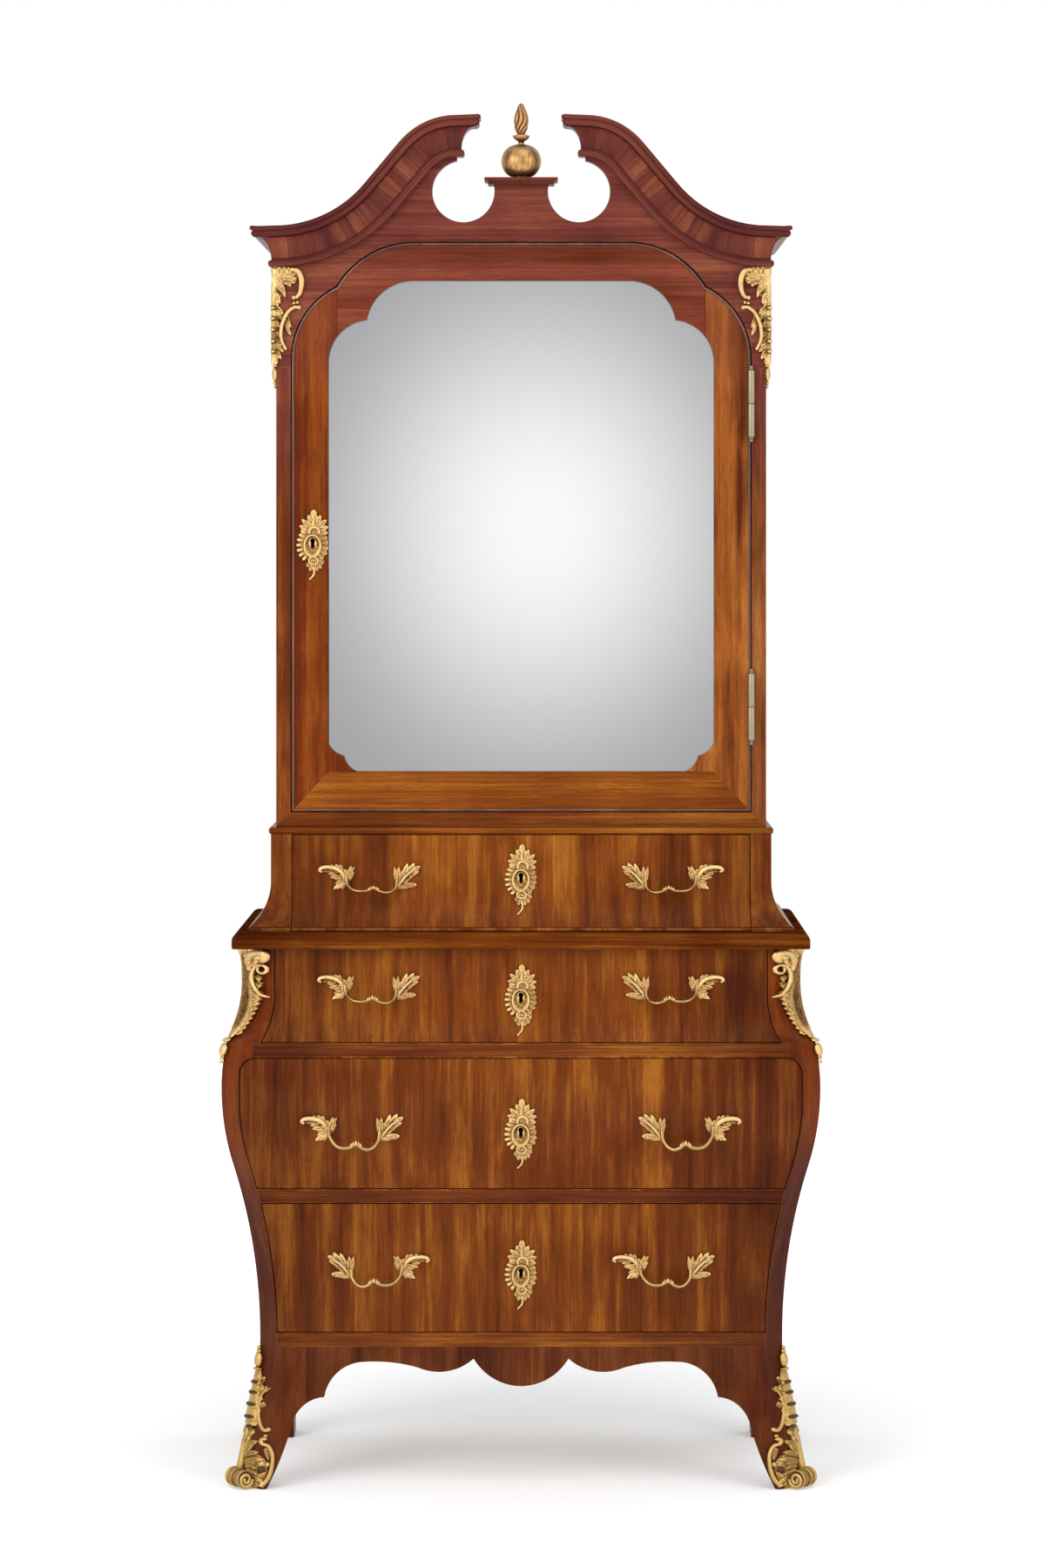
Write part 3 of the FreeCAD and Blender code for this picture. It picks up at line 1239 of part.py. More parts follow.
for tag, (level, head, bolt_y, half, pull_y, left_hand) in DRAWERS.items():
    at_waist = tag == "waist"
    form, inner = (waist_front, waist_inner) if at_waist else (front, front_inner)
    gilt, relief = (waist_gilt, waist_leaf) if at_waist else (gilt_front, leaf_form)
    key_z, pull_x, pull_z = f"{tag}_key_z", f"{tag}_pull_x", f"{tag}_pull_z"
    key = keyhole(f"{tag}_keyhole", "0", key_z)
    drawer_front = cut(f"{tag}_drawer_front", common(f"{tag}_front_form", blanks[tag], form), inner, key)
    drawer_body = drawer_box(f"{tag}_drawer_box", half, f"({level} + run_gap)",
                             f"({head} - box_headroom)", inner)
    case = box(f"{tag}_lock_blank", "-lock_w / 2", "lock_w / 2", "neck_y - bulge",
               f"{bolt_y} + bolt_t + bolt_fit + lock_wall", f"{key_z} - lock_under", head)
    channel = box(f"{tag}_channel", "-bolt_w / 2 - bolt_fit", "bolt_w / 2 + bolt_fit",
                  f"{bolt_y} - bolt_fit",
                  f"{bolt_y} + bolt_t + bolt_fit", f"{head} - bolt_h - lock_wall", head)
    lock = cut(f"{tag}_drawer_lock", common(f"{tag}_lock_case", case, inner), channel)
    bolt = box(f"{tag}_drawer_bolt", "-bolt_w / 2", "bolt_w / 2", bolt_y, f"{bolt_y} + bolt_t",
               f"{head} - bolt_fit - bolt_h", f"{head} - bolt_fit")
    plate = place(group(f"{tag}_plate_copy", plate_pattern), "0", "0", key_z)
    escutcheon = cut(f"{tag}_escutcheon", common(f"{tag}_plate", plate, gilt), form, key)
    right_hand = "inner" if left_hand == "outer" else "outer"
    pulls = group(f"{tag}_drawer_pulls",
                  drawer_pull(f"{tag}_pull_left", f"-{pull_x}", pull_y, pull_z, left_hand, form, relief),
                  drawer_pull(f"{tag}_pull_right", pull_x, pull_y, pull_z, right_hand, form, relief))
    drawer_nodes += [drawer_front, drawer_body, lock, bolt, escutcheon, pulls]
door_plate_copy = place(group("door_plate_copy", plate_pattern), "-door_key_x", "0", "door_key_z")
door_plate_slab = box("door_plate_slab", "-cab_half", "0", "cab_y - gilt_t", "cab_y", "cab_base",
                      "cab_top")
door_escutcheon = cut("door_escutcheon", common("door_plate", door_plate_copy, door_plate_slab), door_key)

NODES = [
    commode_top, commode_side_left, commode_side_right, front_post_left, front_post_right, rear_legs,
    drawer_rails, front_apron, dustboards, drawer_guides, back_panels, waist_side_left, waist_side_right,
    cabinet_base, cabinet_side_left, cabinet_side_right, cabinet_roof, shelves, face_frame, tympanum,
    cornice_left, cornice_right, plinth_cap, finial_ball, finial_flame, cabinet_mounts, chest_mounts,
    sabots,
    hinge_case_leaves, hinge_door_leaves, door_frame, door_mirror, door_panel, door_lock, door_bolt,
    door_escutcheon,
] + drawer_nodes

doc.recompute()
for item in doc.Objects:
    if "Invalid" in item.State or "Error" in item.State:
        raise RuntimeError(f"{item.Name} failed: {item.State}")
for node in NODES:
    node.Label = node.Name
    if node.Shape.isNull() or not node.Shape.isValid() or not node.Shape.Solids:
        raise RuntimeError(f"{node.Label} has no valid solid")

os.makedirs("parts", exist_ok=True)
for node in NODES:
    node.Shape.exportStep(os.path.join("parts", node.Label + ".step"))
print(f"{len(NODES)} nodes, {sum(len(node.Shape.Solids) for node in NODES)} solids")
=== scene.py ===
"""Looks of a rococo secretary cabinet: bombe chest, waist drawer, mirrored door and swan-neck pediment.

Metres, +Z up, front towards -Y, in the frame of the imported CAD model. Ornament is drawn in millimetres.
"""
import logging
import math
from collections.abc import Callable, Iterable, Sequence
from dataclasses import dataclass, field
from enum import Enum
from typing import Any

import bmesh
import bpy
import numpy as np
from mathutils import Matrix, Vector


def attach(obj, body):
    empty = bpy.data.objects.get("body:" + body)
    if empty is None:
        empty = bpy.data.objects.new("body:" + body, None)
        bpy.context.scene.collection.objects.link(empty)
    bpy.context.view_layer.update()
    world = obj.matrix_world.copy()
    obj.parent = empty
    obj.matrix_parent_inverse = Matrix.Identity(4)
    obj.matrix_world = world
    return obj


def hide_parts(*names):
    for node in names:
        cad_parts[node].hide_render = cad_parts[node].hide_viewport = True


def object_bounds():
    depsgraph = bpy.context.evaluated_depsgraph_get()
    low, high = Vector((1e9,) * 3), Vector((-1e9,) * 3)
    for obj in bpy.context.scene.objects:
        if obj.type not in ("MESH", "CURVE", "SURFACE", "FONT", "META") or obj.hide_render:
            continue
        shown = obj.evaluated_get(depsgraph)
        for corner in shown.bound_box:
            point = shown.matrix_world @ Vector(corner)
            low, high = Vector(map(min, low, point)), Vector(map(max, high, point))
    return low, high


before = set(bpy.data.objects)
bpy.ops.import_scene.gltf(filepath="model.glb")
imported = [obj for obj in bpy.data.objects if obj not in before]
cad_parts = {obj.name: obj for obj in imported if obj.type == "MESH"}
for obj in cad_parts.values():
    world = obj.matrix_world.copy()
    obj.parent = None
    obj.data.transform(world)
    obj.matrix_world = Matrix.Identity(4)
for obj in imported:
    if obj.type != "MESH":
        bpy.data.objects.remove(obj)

CAD_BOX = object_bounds()
LOG = logging.getLogger("secretary_cabinet")
MM = 0.001
POINT_WELD = 1e-6
WELD = 5e-6
MITRE_WELD = 2e-5
FLAT_ANGLE = math.radians(0.4)
HARD_ANGLE = math.radians(34)
RIM_ANGLE = math.radians(40)
FACES_FRONT = -0.55
TURNED_ANGLE = 32.0
SOFT_ANGLE = 44.0
INSIDE = 0.0005
TURN = 0.006

Colour = tuple[float, float, float]
Spot = tuple[float, float]
Place = Callable[[np.ndarray], np.ndarray]


# Node trees

class Term:
    """A node's output socket that takes part in Python expressions."""

    def __init__(self, graph: "Graph", socket: bpy.types.NodeSocket) -> None:
        """Wrap one socket of a graph."""
        self.graph = graph
        self.socket = socket

    def math(self, operation: str, first: Any, second: Any = None) -> "Term":
        """Add a Math node.

        Args:
            operation: The node's operation.
            first: Its first value, a number or a term.
            second: Its second value, where it has one.

        Returns:
            The node's result.
        """
        return self.graph.node("ShaderNodeMath", {"operation": operation}, {0: first, 1: second})

    def __add__(self, other: Any) -> "Term":
        """Sum."""
        return self.math("ADD", self, other)

    __radd__ = __add__

    def __sub__(self, other: Any) -> "Term":
        """Difference."""
        return self.math("SUBTRACT", self, other)

    def __rsub__(self, other: Any) -> "Term":
        """Difference from a number."""
        return self.math("SUBTRACT", other, self)

    def __mul__(self, other: Any) -> "Term":
        """Product."""
        return self.math("MULTIPLY", self, other)

    __rmul__ = __mul__

    def __truediv__(self, other: Any) -> "Term":
        """Quotient."""
        return self.math("DIVIDE", self, other)

    def __pow__(self, other: Any) -> "Term":
        """Power."""
        return self.math("POWER", self, other)

    def size(self) -> "Term":
        """Absolute value."""
        return self.math("ABSOLUTE", self)

    def floor(self) -> "Term":
        """Whole part."""
        return self.math("FLOOR", self)

    def modulo(self, other: Any) -> "Term":
        """Rest of a division."""
        return self.math("MODULO", self, other)

    def above(self, other: Any) -> "Term":
        """1 where the term is larger, else 0."""
        return self.math("GREATER_THAN", self, other)

    def twin(self, name: str) -> "Term":
        """Another output of the same node."""
        return Term(self.graph, self.socket.node.outputs[name])

    def within(self, low: float, high: float) -> "Term":
        """Smooth step from 0 at low to 1 at high.

        Args:
            low: Where the step starts.
            high: Where it ends.

        Returns:
            The step's result.
        """
        return self.graph.node("ShaderNodeMapRange", {"interpolation_type": "SMOOTHSTEP"},
                               {"Value": self, "From Min": low, "From Max": high})


class Graph:
    """A shader or geometry node tree that is built by calls."""

    def __init__(self, tree: bpy.types.NodeTree) -> None:
        """Wrap a node tree."""
        self.tree = tree

    def node(self, kind: str, settings: dict[str, Any] | None = None,
             sockets: dict[str | int, Any] | None = None, out: str | int = 0) -> Term:
        """Add a node, set it up and link it.

        Args:
            kind: The node's type.
            settings: Its properties, set first.
            sockets: Values or terms for its inputs.
            out: Which output to give back.

        Returns:
            The chosen output.
        """
        item = self.tree.nodes.new(kind)
        for key, setting in (settings or {}).items():
            setattr(item, key, setting)
        for key, given in (sockets or {}).items():
            if isinstance(given, Term):
                self.tree.links.new(given.socket, item.inputs[key])
            elif given is not None:
                item.inputs[key].default_value = given
        return Term(self, item.outputs[out])

    def here(self) -> Term:
        """Object coordinates."""
        return self.node("ShaderNodeTexCoord", None, None, "Object")

    def stored(self, name: str, out: str = "Fac") -> Term:
        """An attribute that the mesh holds."""
        return self.node("ShaderNodeAttribute", {"attribute_name": name}, None, out)

    def axis(self, vector: Term, name: str) -> Term:
        """One coordinate of a vector."""
        return self.node("ShaderNodeSeparateXYZ", None, {"Vector": vector}, name)

    def ramp(self, tone: Term, *stops: tuple[float, Colour]) -> Term:
        """Turn a tone into a colour.

        Args:
            tone: The tone, from 0 to 1.
            stops: Place and colour of each stop of the ramp.

        Returns:
            The colour.
        """
        result = self.node("ShaderNodeValToRGB", None, {"Fac": tone})
        elements = result.socket.node.color_ramp.elements
        while len(elements) < len(stops):
            elements.new(1.0)
        for element, (place, colour) in zip(elements, stops):
            element.position = place
            element.color = (*colour, 1.0)
        return result

    def mix(self, share: Any, first: Any, second: Any, blend: str = "MIX") -> Term:
        """Mix two colours.

        Args:
            share: How much of the second, a number or a term.
            first: A colour or a term.
            second: A colour or a term.
            blend: The Mix node's way of mixing.

        Returns:
            The mixed colour.
        """
        pair = [(*given, 1.0) if isinstance(given, tuple) else given for given in (first, second)]
        return self.node("ShaderNodeMix", {"data_type": "RGBA", "blend_type": blend},
                         {0: share, 6: pair[0], 7: pair[1]}, 2)

    def vector(self, operation: str, first: Any, second: Any = None, scale: Any = None) -> Term:
        """Add a Vector Math node.

        Args:
            operation: The node's operation.
            first: A vector or a term.
            second: A vector or a term, where it has one.
            scale: A number or a term for scaling.

        Returns:
            The resulting vector.
        """
        return self.node("ShaderNodeVectorMath", {"operation": operation}, {0: first, 1: second, 3: scale})

    def noise(self, vector: Term, scale: float, detail: float = 2.0, warp: float = 0.0) -> Term:
        """Fractal noise from 0 to 1 along a vector."""
        return self.node("ShaderNodeTexNoise", None,
                         {"Vector": vector, "Scale": scale, "Detail": detail, "Distortion": warp})


class Modelling(Graph):
    """A Geometry Nodes tree with named inputs, used once and turned into a plain mesh."""

    def __init__(self, name: str) -> None:
        """Start an empty tree.

        Args:
            name: The tree's name.
        """
        super().__init__(bpy.data.node_groups.new(name, "GeometryNodeTree"))
        self.tree.interface.new_socket("Geometry", in_out="INPUT", socket_type="NodeSocketGeometry")
        self.tree.interface.new_socket("Geometry", in_out="OUTPUT", socket_type="NodeSocketGeometry")
        self.entry = self.tree.nodes.new("NodeGroupInput")

    def given(self, name: str, kind: str = "NodeSocketFloat") -> Term:
        """Add a named input.

        Args:
            name: The input's name.
            kind: Its socket type.

        Returns:
            The input as a term.
        """
        self.tree.interface.new_socket(name, in_out="INPUT", socket_type=kind)
        return Term(self, self.entry.outputs[name])

    @property
    def start(self) -> Term:
        """The geometry that comes in."""
        return Term(self, self.entry.outputs[0])

    def end(self, shape: Term) -> None:
        """Close the tree with real geometry that has its material.

        Args:
            shape: The tree's result, which may hold instances.
        """
        real = self.node("GeometryNodeRealizeInstances", None, {0: shape})
        dressed = self.node("GeometryNodeSetMaterial", None,
                            {"Geometry": real, "Material": self.given("Finish", "NodeSocketMaterial")})
        leave = self.tree.nodes.new("NodeGroupOutput")
        self.tree.links.new(dressed.socket, leave.inputs[0])

    def mesh(self, base: bpy.types.Object, finish: "Finish", **sizes: Any) -> bpy.types.Mesh:
        """Run the tree on an object and keep the result as a plain mesh.

        Args:
            base: The object that holds the incoming geometry. It is removed.
            finish: The finish of the result.
            sizes: A value for each named input, with underscores for spaces.

        Returns:
            The new mesh.
        """
        modifier = base.modifiers.new("shape", "NODES")
        modifier.node_group = self.tree
        names = {item.name: item.identifier for item in self.tree.interface.items_tree
                 if item.in_out == "INPUT"}
        modifier[names["Finish"]] = finish.material()
        for key, given in sizes.items():
            modifier[names[key.replace("_", " ").title()]] = given
        bpy.context.view_layer.update()
        evaluated = base.evaluated_get(bpy.context.evaluated_depsgraph_get())
        result = bpy.data.meshes.new_from_object(evaluated)
        base.modifiers.remove(modifier)
        bpy.data.objects.remove(base)
        return result


# Finishes

class Grain(Enum):
    """How fast the figure of the wood runs along each axis: slow along the grain."""

    FRONT_UPRIGHT = (1.0, 0.12, 0.035)
    FRONT_LEVEL = (0.035, 0.12, 1.0)
    SIDE_UPRIGHT = (0.12, 1.0, 0.035)
    BOARD_LEVEL = (0.035, 1.0, 1.0)
    DRAWER_BOX = (0.045, 0.24, 1.0)
    POST = (0.8, 0.8, 0.035)


@dataclass(frozen=True)
class Finish:
    """A named material that is made once."""

    name: str

    def material(self) -> bpy.types.Material:
        """Make the finish's material, or find it again.

        Returns:
            The material.
        """
        known = bpy.data.materials.get(self.name)
        if known is not None:
            return known
        made = bpy.data.materials.new(self.name)
        made.use_nodes = True
        graph = Graph(made.node_tree)
        self.paint(graph, made.node_tree.nodes["Principled BSDF"])
        return made

    def paint(self, graph: Graph, shader: bpy.types.Node) -> None:
        """Build the nodes that feed the shader.

        Args:
            graph: The material's nodes.
            shader: Its Principled shader.
        """
        raise NotImplementedError

    @staticmethod
    def feed(graph: Graph, shader: bpy.types.Node, **inputs: Term | float) -> None:
        """Give the shader its inputs.

        Args:
            graph: The material's nodes.
            shader: Its Principled shader.
            inputs: A term to link or a number for each input, with underscores for spaces.
        """
        for key, given in inputs.items():
            socket = shader.inputs[key.replace("_", " ")]
            if isinstance(given, Term):
                graph.tree.links.new(given.socket, socket)
            else:
                socket.default_value = given

    @staticmethod
    def bump(graph: Graph, height: Term, depth: float) -> Term:
        """A normal from a height field of the given depth in metres."""
        return graph.node("ShaderNodeBump", None, {"Strength": 1.0, "Distance": depth, "Height": height})


@dataclass(frozen=True)
class Mahogany(Finish):
    """French-polished veneer with upright ribbons, fine streaks and open pores."""

    grain: Grain = Grain.FRONT_UPRIGHT
    seed: float = 0.0
    dark: Colour = (0.078, 0.014, 0.002)
    middle: Colour = (0.185, 0.043, 0.004)
    light: Colour = (0.36, 0.122, 0.013)
    ribbon: float = 30.0
    end_shade: float = 0.85
    along: str = ""
    polish: float = 0.05
    block: float = 0.0
    joint: float = 0.0
    band: Spot = (0.0, 0.0)
    fade: Spot = (0.0, 0.0)
    beyond: "Mahogany | None" = None
    opposite: "Mahogany | None" = None
    shaded: Spot = (0.15, 0.43)
    shade: Colour = (0.5, 0.42, 0.5)
    wear_and_highlight: float = 0.6
    seam_line: Spot = (0.0003, 0.0011)
    pore_depth: float = 0.00012

    def paint(self, graph: Graph, shader: bpy.types.Node) -> None:
        """Figure, joint, painted shade at the ends, worn edges with a painted highlight, and polish.

        Args:
            graph: The material's nodes.
            shader: Its Principled shader.
        """
        spot = graph.stored(self.along, "Vector") if self.along else graph.here()
        across = graph.axis(spot, "X").size()
        wood, relief = self.wood(graph, spot, across)
        if self.end_shade and not self.along:
            wood = graph.mix(across.within(*self.shaded) * self.end_shade, wood, self.shade, "MULTIPLY")
        # Wear and painted highlight: the middle of each rounded edge is lightened towards the light colour.
        worn = graph.stored("edge") * graph.noise(spot, 60.0, 3.0).within(0.35, 0.6)
        wood = graph.mix(worn * self.wear_and_highlight, wood, self.light)
        haze = graph.noise(spot, 14.0, 3.0)
        self.feed(graph, shader, Base_Color=wood, Roughness=0.22 + haze * 0.14,
                  Normal=self.bump(graph, relief, self.pore_depth), Coat_Weight=0.6 * self.polish,
                  Coat_Roughness=0.1, Specular_IOR_Level=self.polish)

    def wood(self, graph: Graph, spot: Term, across: Term) -> tuple[Term, Term]:
        """The veneer with any other that it is joined to.

        Args:
            graph: The material's nodes.
            spot: Where on the piece.
            across: Distance from the middle of the cabinet.

        Returns:
            The wood's colour and its fine relief.
        """
        wood, relief = self.figure(graph, spot)
        if self.beyond is None:
            return wood, relief
        other = self.beyond.wood(graph, spot, across)[0]
        if self.opposite is not None:
            right = graph.axis(spot, "X").above(0.0)
            other = graph.mix(right, other, self.opposite.wood(graph, spot, across)[0])
        past, seam = self.seam(graph, spot, across)
        wood = graph.mix(past, wood, other)
        return graph.mix(1.0 - seam.within(*self.seam_line), wood, self.dark), relief

    def seam(self, graph: Graph, spot: Term, across: Term) -> tuple[Term, Term]:
        """Where the veneer changes: past a joint, outside a band or by a slow fade upwards.

        Args:
            graph: The material's nodes.
            spot: Where on the piece.
            across: Distance from the middle of the cabinet.

        Returns:
            1 on the other veneer, and the distance from the seam. A fade has no seam near it.
        """
        if self.joint:
            return across.above(self.joint), (across - self.joint).size()
        up = graph.axis(spot, "Z")
        if self.fade[1]:
            return up.within(*self.fade), up
        low, high = self.band
        inside = up.above(low) * (1.0 - up.above(high))
        return 1.0 - inside, up.math("MINIMUM", (up - low).size(), (up - high).size())

    def figure(self, graph: Graph, spot: Term) -> tuple[Term, Term]:
        """Ribbons, streaks, mottle and pores.

        Args:
            graph: The material's nodes.
            spot: Where on the piece.

        Returns:
            The wood's colour and its fine relief.
        """
        shift = (self.seed, 1.7 * self.seed, 0.31 * self.seed)
        run = graph.node("ShaderNodeMapping", None,
                         {"Vector": spot, "Location": shift, "Scale": self.grain.value})
        ribbon = graph.noise(run, self.ribbon, 2.5, 0.7)
        streak = graph.noise(run, self.ribbon * 7.0, 3.0, 0.3)
        hair = graph.noise(run, self.ribbon * 28.0, 2.0)
        mottle = graph.noise(graph.vector("MULTIPLY", run, (1.0, 1.0, 7.0)), self.ribbon * 1.6, 3.0, 0.5)
        cloud = graph.noise(spot, 5.0, 2.0)
        tone = ribbon * 0.5 + streak * 0.2 + hair * 0.1 + mottle * 0.2 + (cloud - 0.5) * 0.3
        if self.block:
            cell = (graph.axis(spot, "X") / self.block).floor()
            pick = graph.node("ShaderNodeTexWhiteNoise", {"noise_dimensions": "1D"}, {"W": cell + self.seed})
            tone = tone + (pick - 0.5) * 0.13
        wood = graph.ramp(tone, (0.36, self.dark), (0.5, self.middle), (0.65, self.light))
        pores = 1.0 - graph.noise(run, self.ribbon * 60.0, 1.0).within(0.3, 0.44)
        return graph.mix(pores * 0.5, wood, self.dark), hair * 0.4 - pores


@dataclass(frozen=True)
class PlainTimber(Finish):
    """Dry secondary timber inside and behind the case."""

    grain: Grain = Grain.BOARD_LEVEL
    dark: Colour = (0.14, 0.07, 0.03)
    light: Colour = (0.36, 0.22, 0.11)

    def paint(self, graph: Graph, shader: bpy.types.Node) -> None:
        """Growth rings, saw marks and dust.

        Args:
            graph: The material's nodes.
            shader: Its Principled shader.
        """
        spot = graph.here()
        run = graph.node("ShaderNodeMapping", None, {"Vector": spot, "Scale": self.grain.value})
        rings = graph.noise(run, 45.0, 3.0, 1.2)
        fibre = graph.noise(run, 520.0, 2.0)
        dust = graph.noise(spot, 7.0, 3.0)
        tone = rings * 0.6 + fibre * 0.25 + dust * 0.15
        wood = graph.ramp(tone, (0.34, self.dark), (0.66, self.light))
        self.feed(graph, shader, Base_Color=wood, Roughness=0.62 + fibre * 0.2,
                  Normal=self.bump(graph, fibre, 0.0003))


@dataclass(frozen=True)
class Casting(Finish):
    """Cast and chased metal, with a painted highlight on the crests and painted shade in the hollows."""

    # The darkest colour is painted shade in the hollows; the crest colour is a painted highlight.
    hollow: Colour = (0.03, 0.01, 0.003)
    body: Colour = (0.3, 0.165, 0.05)
    crest: Colour = (0.68, 0.46, 0.2)
    rough: float = 0.34
    stipple: float = 0.0002
    chase: float = 0.75

    def paint(self, graph: Graph, shader: bpy.types.Node) -> None:
        """Painted highlight and shade by the height of the chasing, with rubbed patches and a stippled
        ground.

        Args:
            graph: The material's nodes.
            shader: Its Principled shader.
        """
        spot = graph.here()
        depth = graph.stored("relief")
        patch = graph.noise(spot, 90.0, 3.0)
        grit = graph.noise(spot, 1500.0, 2.0)
        sunk = graph.stored("hollow")
        chasing = graph.noise(spot, 420.0, 2.0, 0.6)
        # Painted highlight and shade: lighter where a point stands out, darker where it lies sunk below the
        # ornament near it.
        tone = depth + (patch - 0.5) * 0.3 + (chasing - 0.5) * self.chase - sunk * 0.6 + 0.07
        metal = graph.ramp(tone, (0.24, self.hollow), (0.52, self.body), (0.86, self.crest))
        self.feed(graph, shader, Base_Color=metal, Metallic=1.0,
                  Roughness=self.rough + 0.16 * patch + 0.2 * (1.0 - depth),
                  Normal=self.bump(graph, grit + patch + chasing * (3.0 * self.chase), self.stipple))


@dataclass(frozen=True)
class LeafGilding(Finish):
    """Worn gold leaf over red clay, brushed upright, with painted shade towards the top and the bottom."""

    middle: float = 2.123
    half: float = 0.03
    gold: Colour = (0.5, 0.3, 0.11)
    clay: Colour = (0.2, 0.08, 0.04)
    # The dark colour is painted shade at both ends of the ball.
    dark: Colour = (0.07, 0.02, 0.016)

    def paint(self, graph: Graph, shader: bpy.types.Node) -> None:
        """Brush marks, rubbed clay and painted shade at both ends.

        Args:
            graph: The material's nodes.
            shader: Its Principled shader.
        """
        spot = graph.here()
        run = graph.node("ShaderNodeMapping", None, {"Vector": spot, "Scale": (1.0, 1.0, 0.16)})
        brush = graph.noise(run, 260.0, 3.0)
        cloud = graph.noise(spot, 60.0, 2.0)
        away = ((graph.axis(spot, "Z") - self.middle) / self.half).size()
        worn = brush.within(0.42, 0.66) * 0.55 + cloud.within(0.45, 0.7) * 0.35
        leaf = graph.mix(worn, self.gold, self.clay)
        # Painted shade: the gilding darkens towards the top and the bottom of the ball.
        leaf = graph.mix(away.within(0.45, 1.0) * 0.8, leaf, self.dark)
        self.feed(graph, shader, Base_Color=leaf, Metallic=0.9, Roughness=0.3 + brush * 0.2,
                  Normal=self.bump(graph, brush, 0.0002))


@dataclass(frozen=True)
class MirrorPlate(Finish):
    """Old silvered plate with a painted reflection: bright in the middle, greyer towards its edges."""

    centre: tuple[float, float] = (0.03, 1.54)
    reach: float = 0.47
    # The bright and grey colours are a painted reflection.
    reflection_bright: Colour = (0.95, 0.95, 0.955)
    reflection_grey: Colour = (0.375, 0.385, 0.39)

    def paint(self, graph: Graph, shader: bpy.types.Node) -> None:
        """Painted reflection that dims with the distance from the middle.

        Args:
            graph: The material's nodes.
            shader: Its Principled shader.
        """
        spot = graph.here()
        x = graph.axis(spot, "X") - self.centre[0]
        z = graph.axis(spot, "Z") - self.centre[1]
        away = (x * x + z * z * 0.8) ** 0.5 / self.reach
        mottle = graph.noise(spot, 40.0, 3.0)
        # Painted reflection: a bright patch in the middle that greys towards the edges.
        painted_reflection = graph.mix(away.within(0.02, 1.0), self.reflection_bright, self.reflection_grey)
        self.feed(graph, shader, Base_Color=painted_reflection, Metallic=1.0, Roughness=0.05 + mottle * 0.05)


@dataclass(frozen=True)
class StudioPaper(Finish):
    """Pale seamless paper that reads white to the camera and keeps the shadow."""

    shade: Colour = (0.94, 0.94, 0.94)
    patch: Colour = (0.9, 0.9, 0.9)
    near_glow: Colour = (0.24, 0.25, 0.255)
    far_glow: Colour = (0.5, 0.5, 0.5)
    glow_zone: Spot = (0.5, 1.7)

    def paint(self, graph: Graph, shader: bpy.types.Node) -> None:
        """A slight mottle over one pale colour, with a glow that grows away from the middle.

        Args:
            graph: The material's nodes.
            shader: Its Principled shader.
        """
        spot = graph.here()
        mottle = graph.noise(spot, 3.0, 2.0)
        paper = graph.mix(mottle * 0.1, self.shade, self.patch)
        away = graph.node("ShaderNodeVectorMath", {"operation": "LENGTH"}, {0: spot}, "Value")
        glow = graph.mix(away.within(*self.glow_zone), self.near_glow, self.far_glow)
        self.feed(graph, shader, Base_Color=paper, Emission_Color=glow, Emission_Strength=1.0,
                  Roughness=0.9, Specular_IOR_Level=0.1)


GILT = Casting("gilt_bronze_chased")
PULL_GILT = Casting("pull_gilt_chased", body=(0.36, 0.205, 0.068), crest=(0.75, 0.53, 0.245))
FOOT_GILT = Casting("foot_gilt_chased", hollow=(0.022, 0.008, 0.002), body=(0.21, 0.11, 0.026),
                    crest=(0.55, 0.36, 0.13))
BAIL_BRASS = Casting("bail_brass", hollow=(0.03, 0.015, 0.006), body=(0.14, 0.075, 0.027),
                     crest=(0.4, 0.25, 0.095), rough=0.24, stipple=0.00005, chase=0.1)
HINGE_BRASS = Casting("hinge_brass_turned", hollow=(0.085, 0.066, 0.038), body=(0.15, 0.12, 0.075),
                      crest=(0.3, 0.25, 0.17), rough=0.3, stipple=0.00005, chase=0.1)
LOCK_IRON = Casting("lock_iron_filed", hollow=(0.03, 0.026, 0.024), body=(0.11, 0.1, 0.095),
                    crest=(0.24, 0.22, 0.2), rough=0.45)
# Near-black bronze for pieces that stand in for shade: rings round bosses, wraps on a stalk, a leaf's eye and
# the grounds behind the toe spirals.
SHADE_BRONZE = Casting("bronze_painted_shade", hollow=(0.012, 0.006, 0.003), body=(0.035, 0.017, 0.007),
              crest=(0.09, 0.048, 0.02))
FLAME_GILT = Casting("flame_gilt", hollow=(0.03, 0.009, 0.005), body=(0.21, 0.09, 0.034),
                     crest=(0.52, 0.3, 0.13), chase=0.2)
CARCASE_TIMBER = PlainTimber("carcase_timber")
DRAWER_TIMBER = PlainTimber("drawer_timber", Grain.DRAWER_BOX)
BACK_TIMBER = PlainTimber("back_timber", Grain.POST, (0.07, 0.035, 0.016), (0.2, 0.11, 0.055))
PLATE = MirrorPlate("mirror_plate")


# Meshes

def new_object(name: str, mesh: bpy.types.Mesh | bpy.types.Curve) -> bpy.types.Object:
    """Link a mesh or a curve into the scene.

    Args:
        name: The object's name.
        mesh: Its data.

    Returns:
        The object.
    """
    piece = bpy.data.objects.new(name, mesh)
    bpy.context.scene.collection.objects.link(piece)
    return piece


def smooth(mesh: bpy.types.Mesh, sharp: float) -> None:
    """Shade a mesh smooth except across edges over an angle in degrees."""
    mesh.shade_smooth()
    mesh.set_sharp_from_angle(angle=math.radians(sharp))


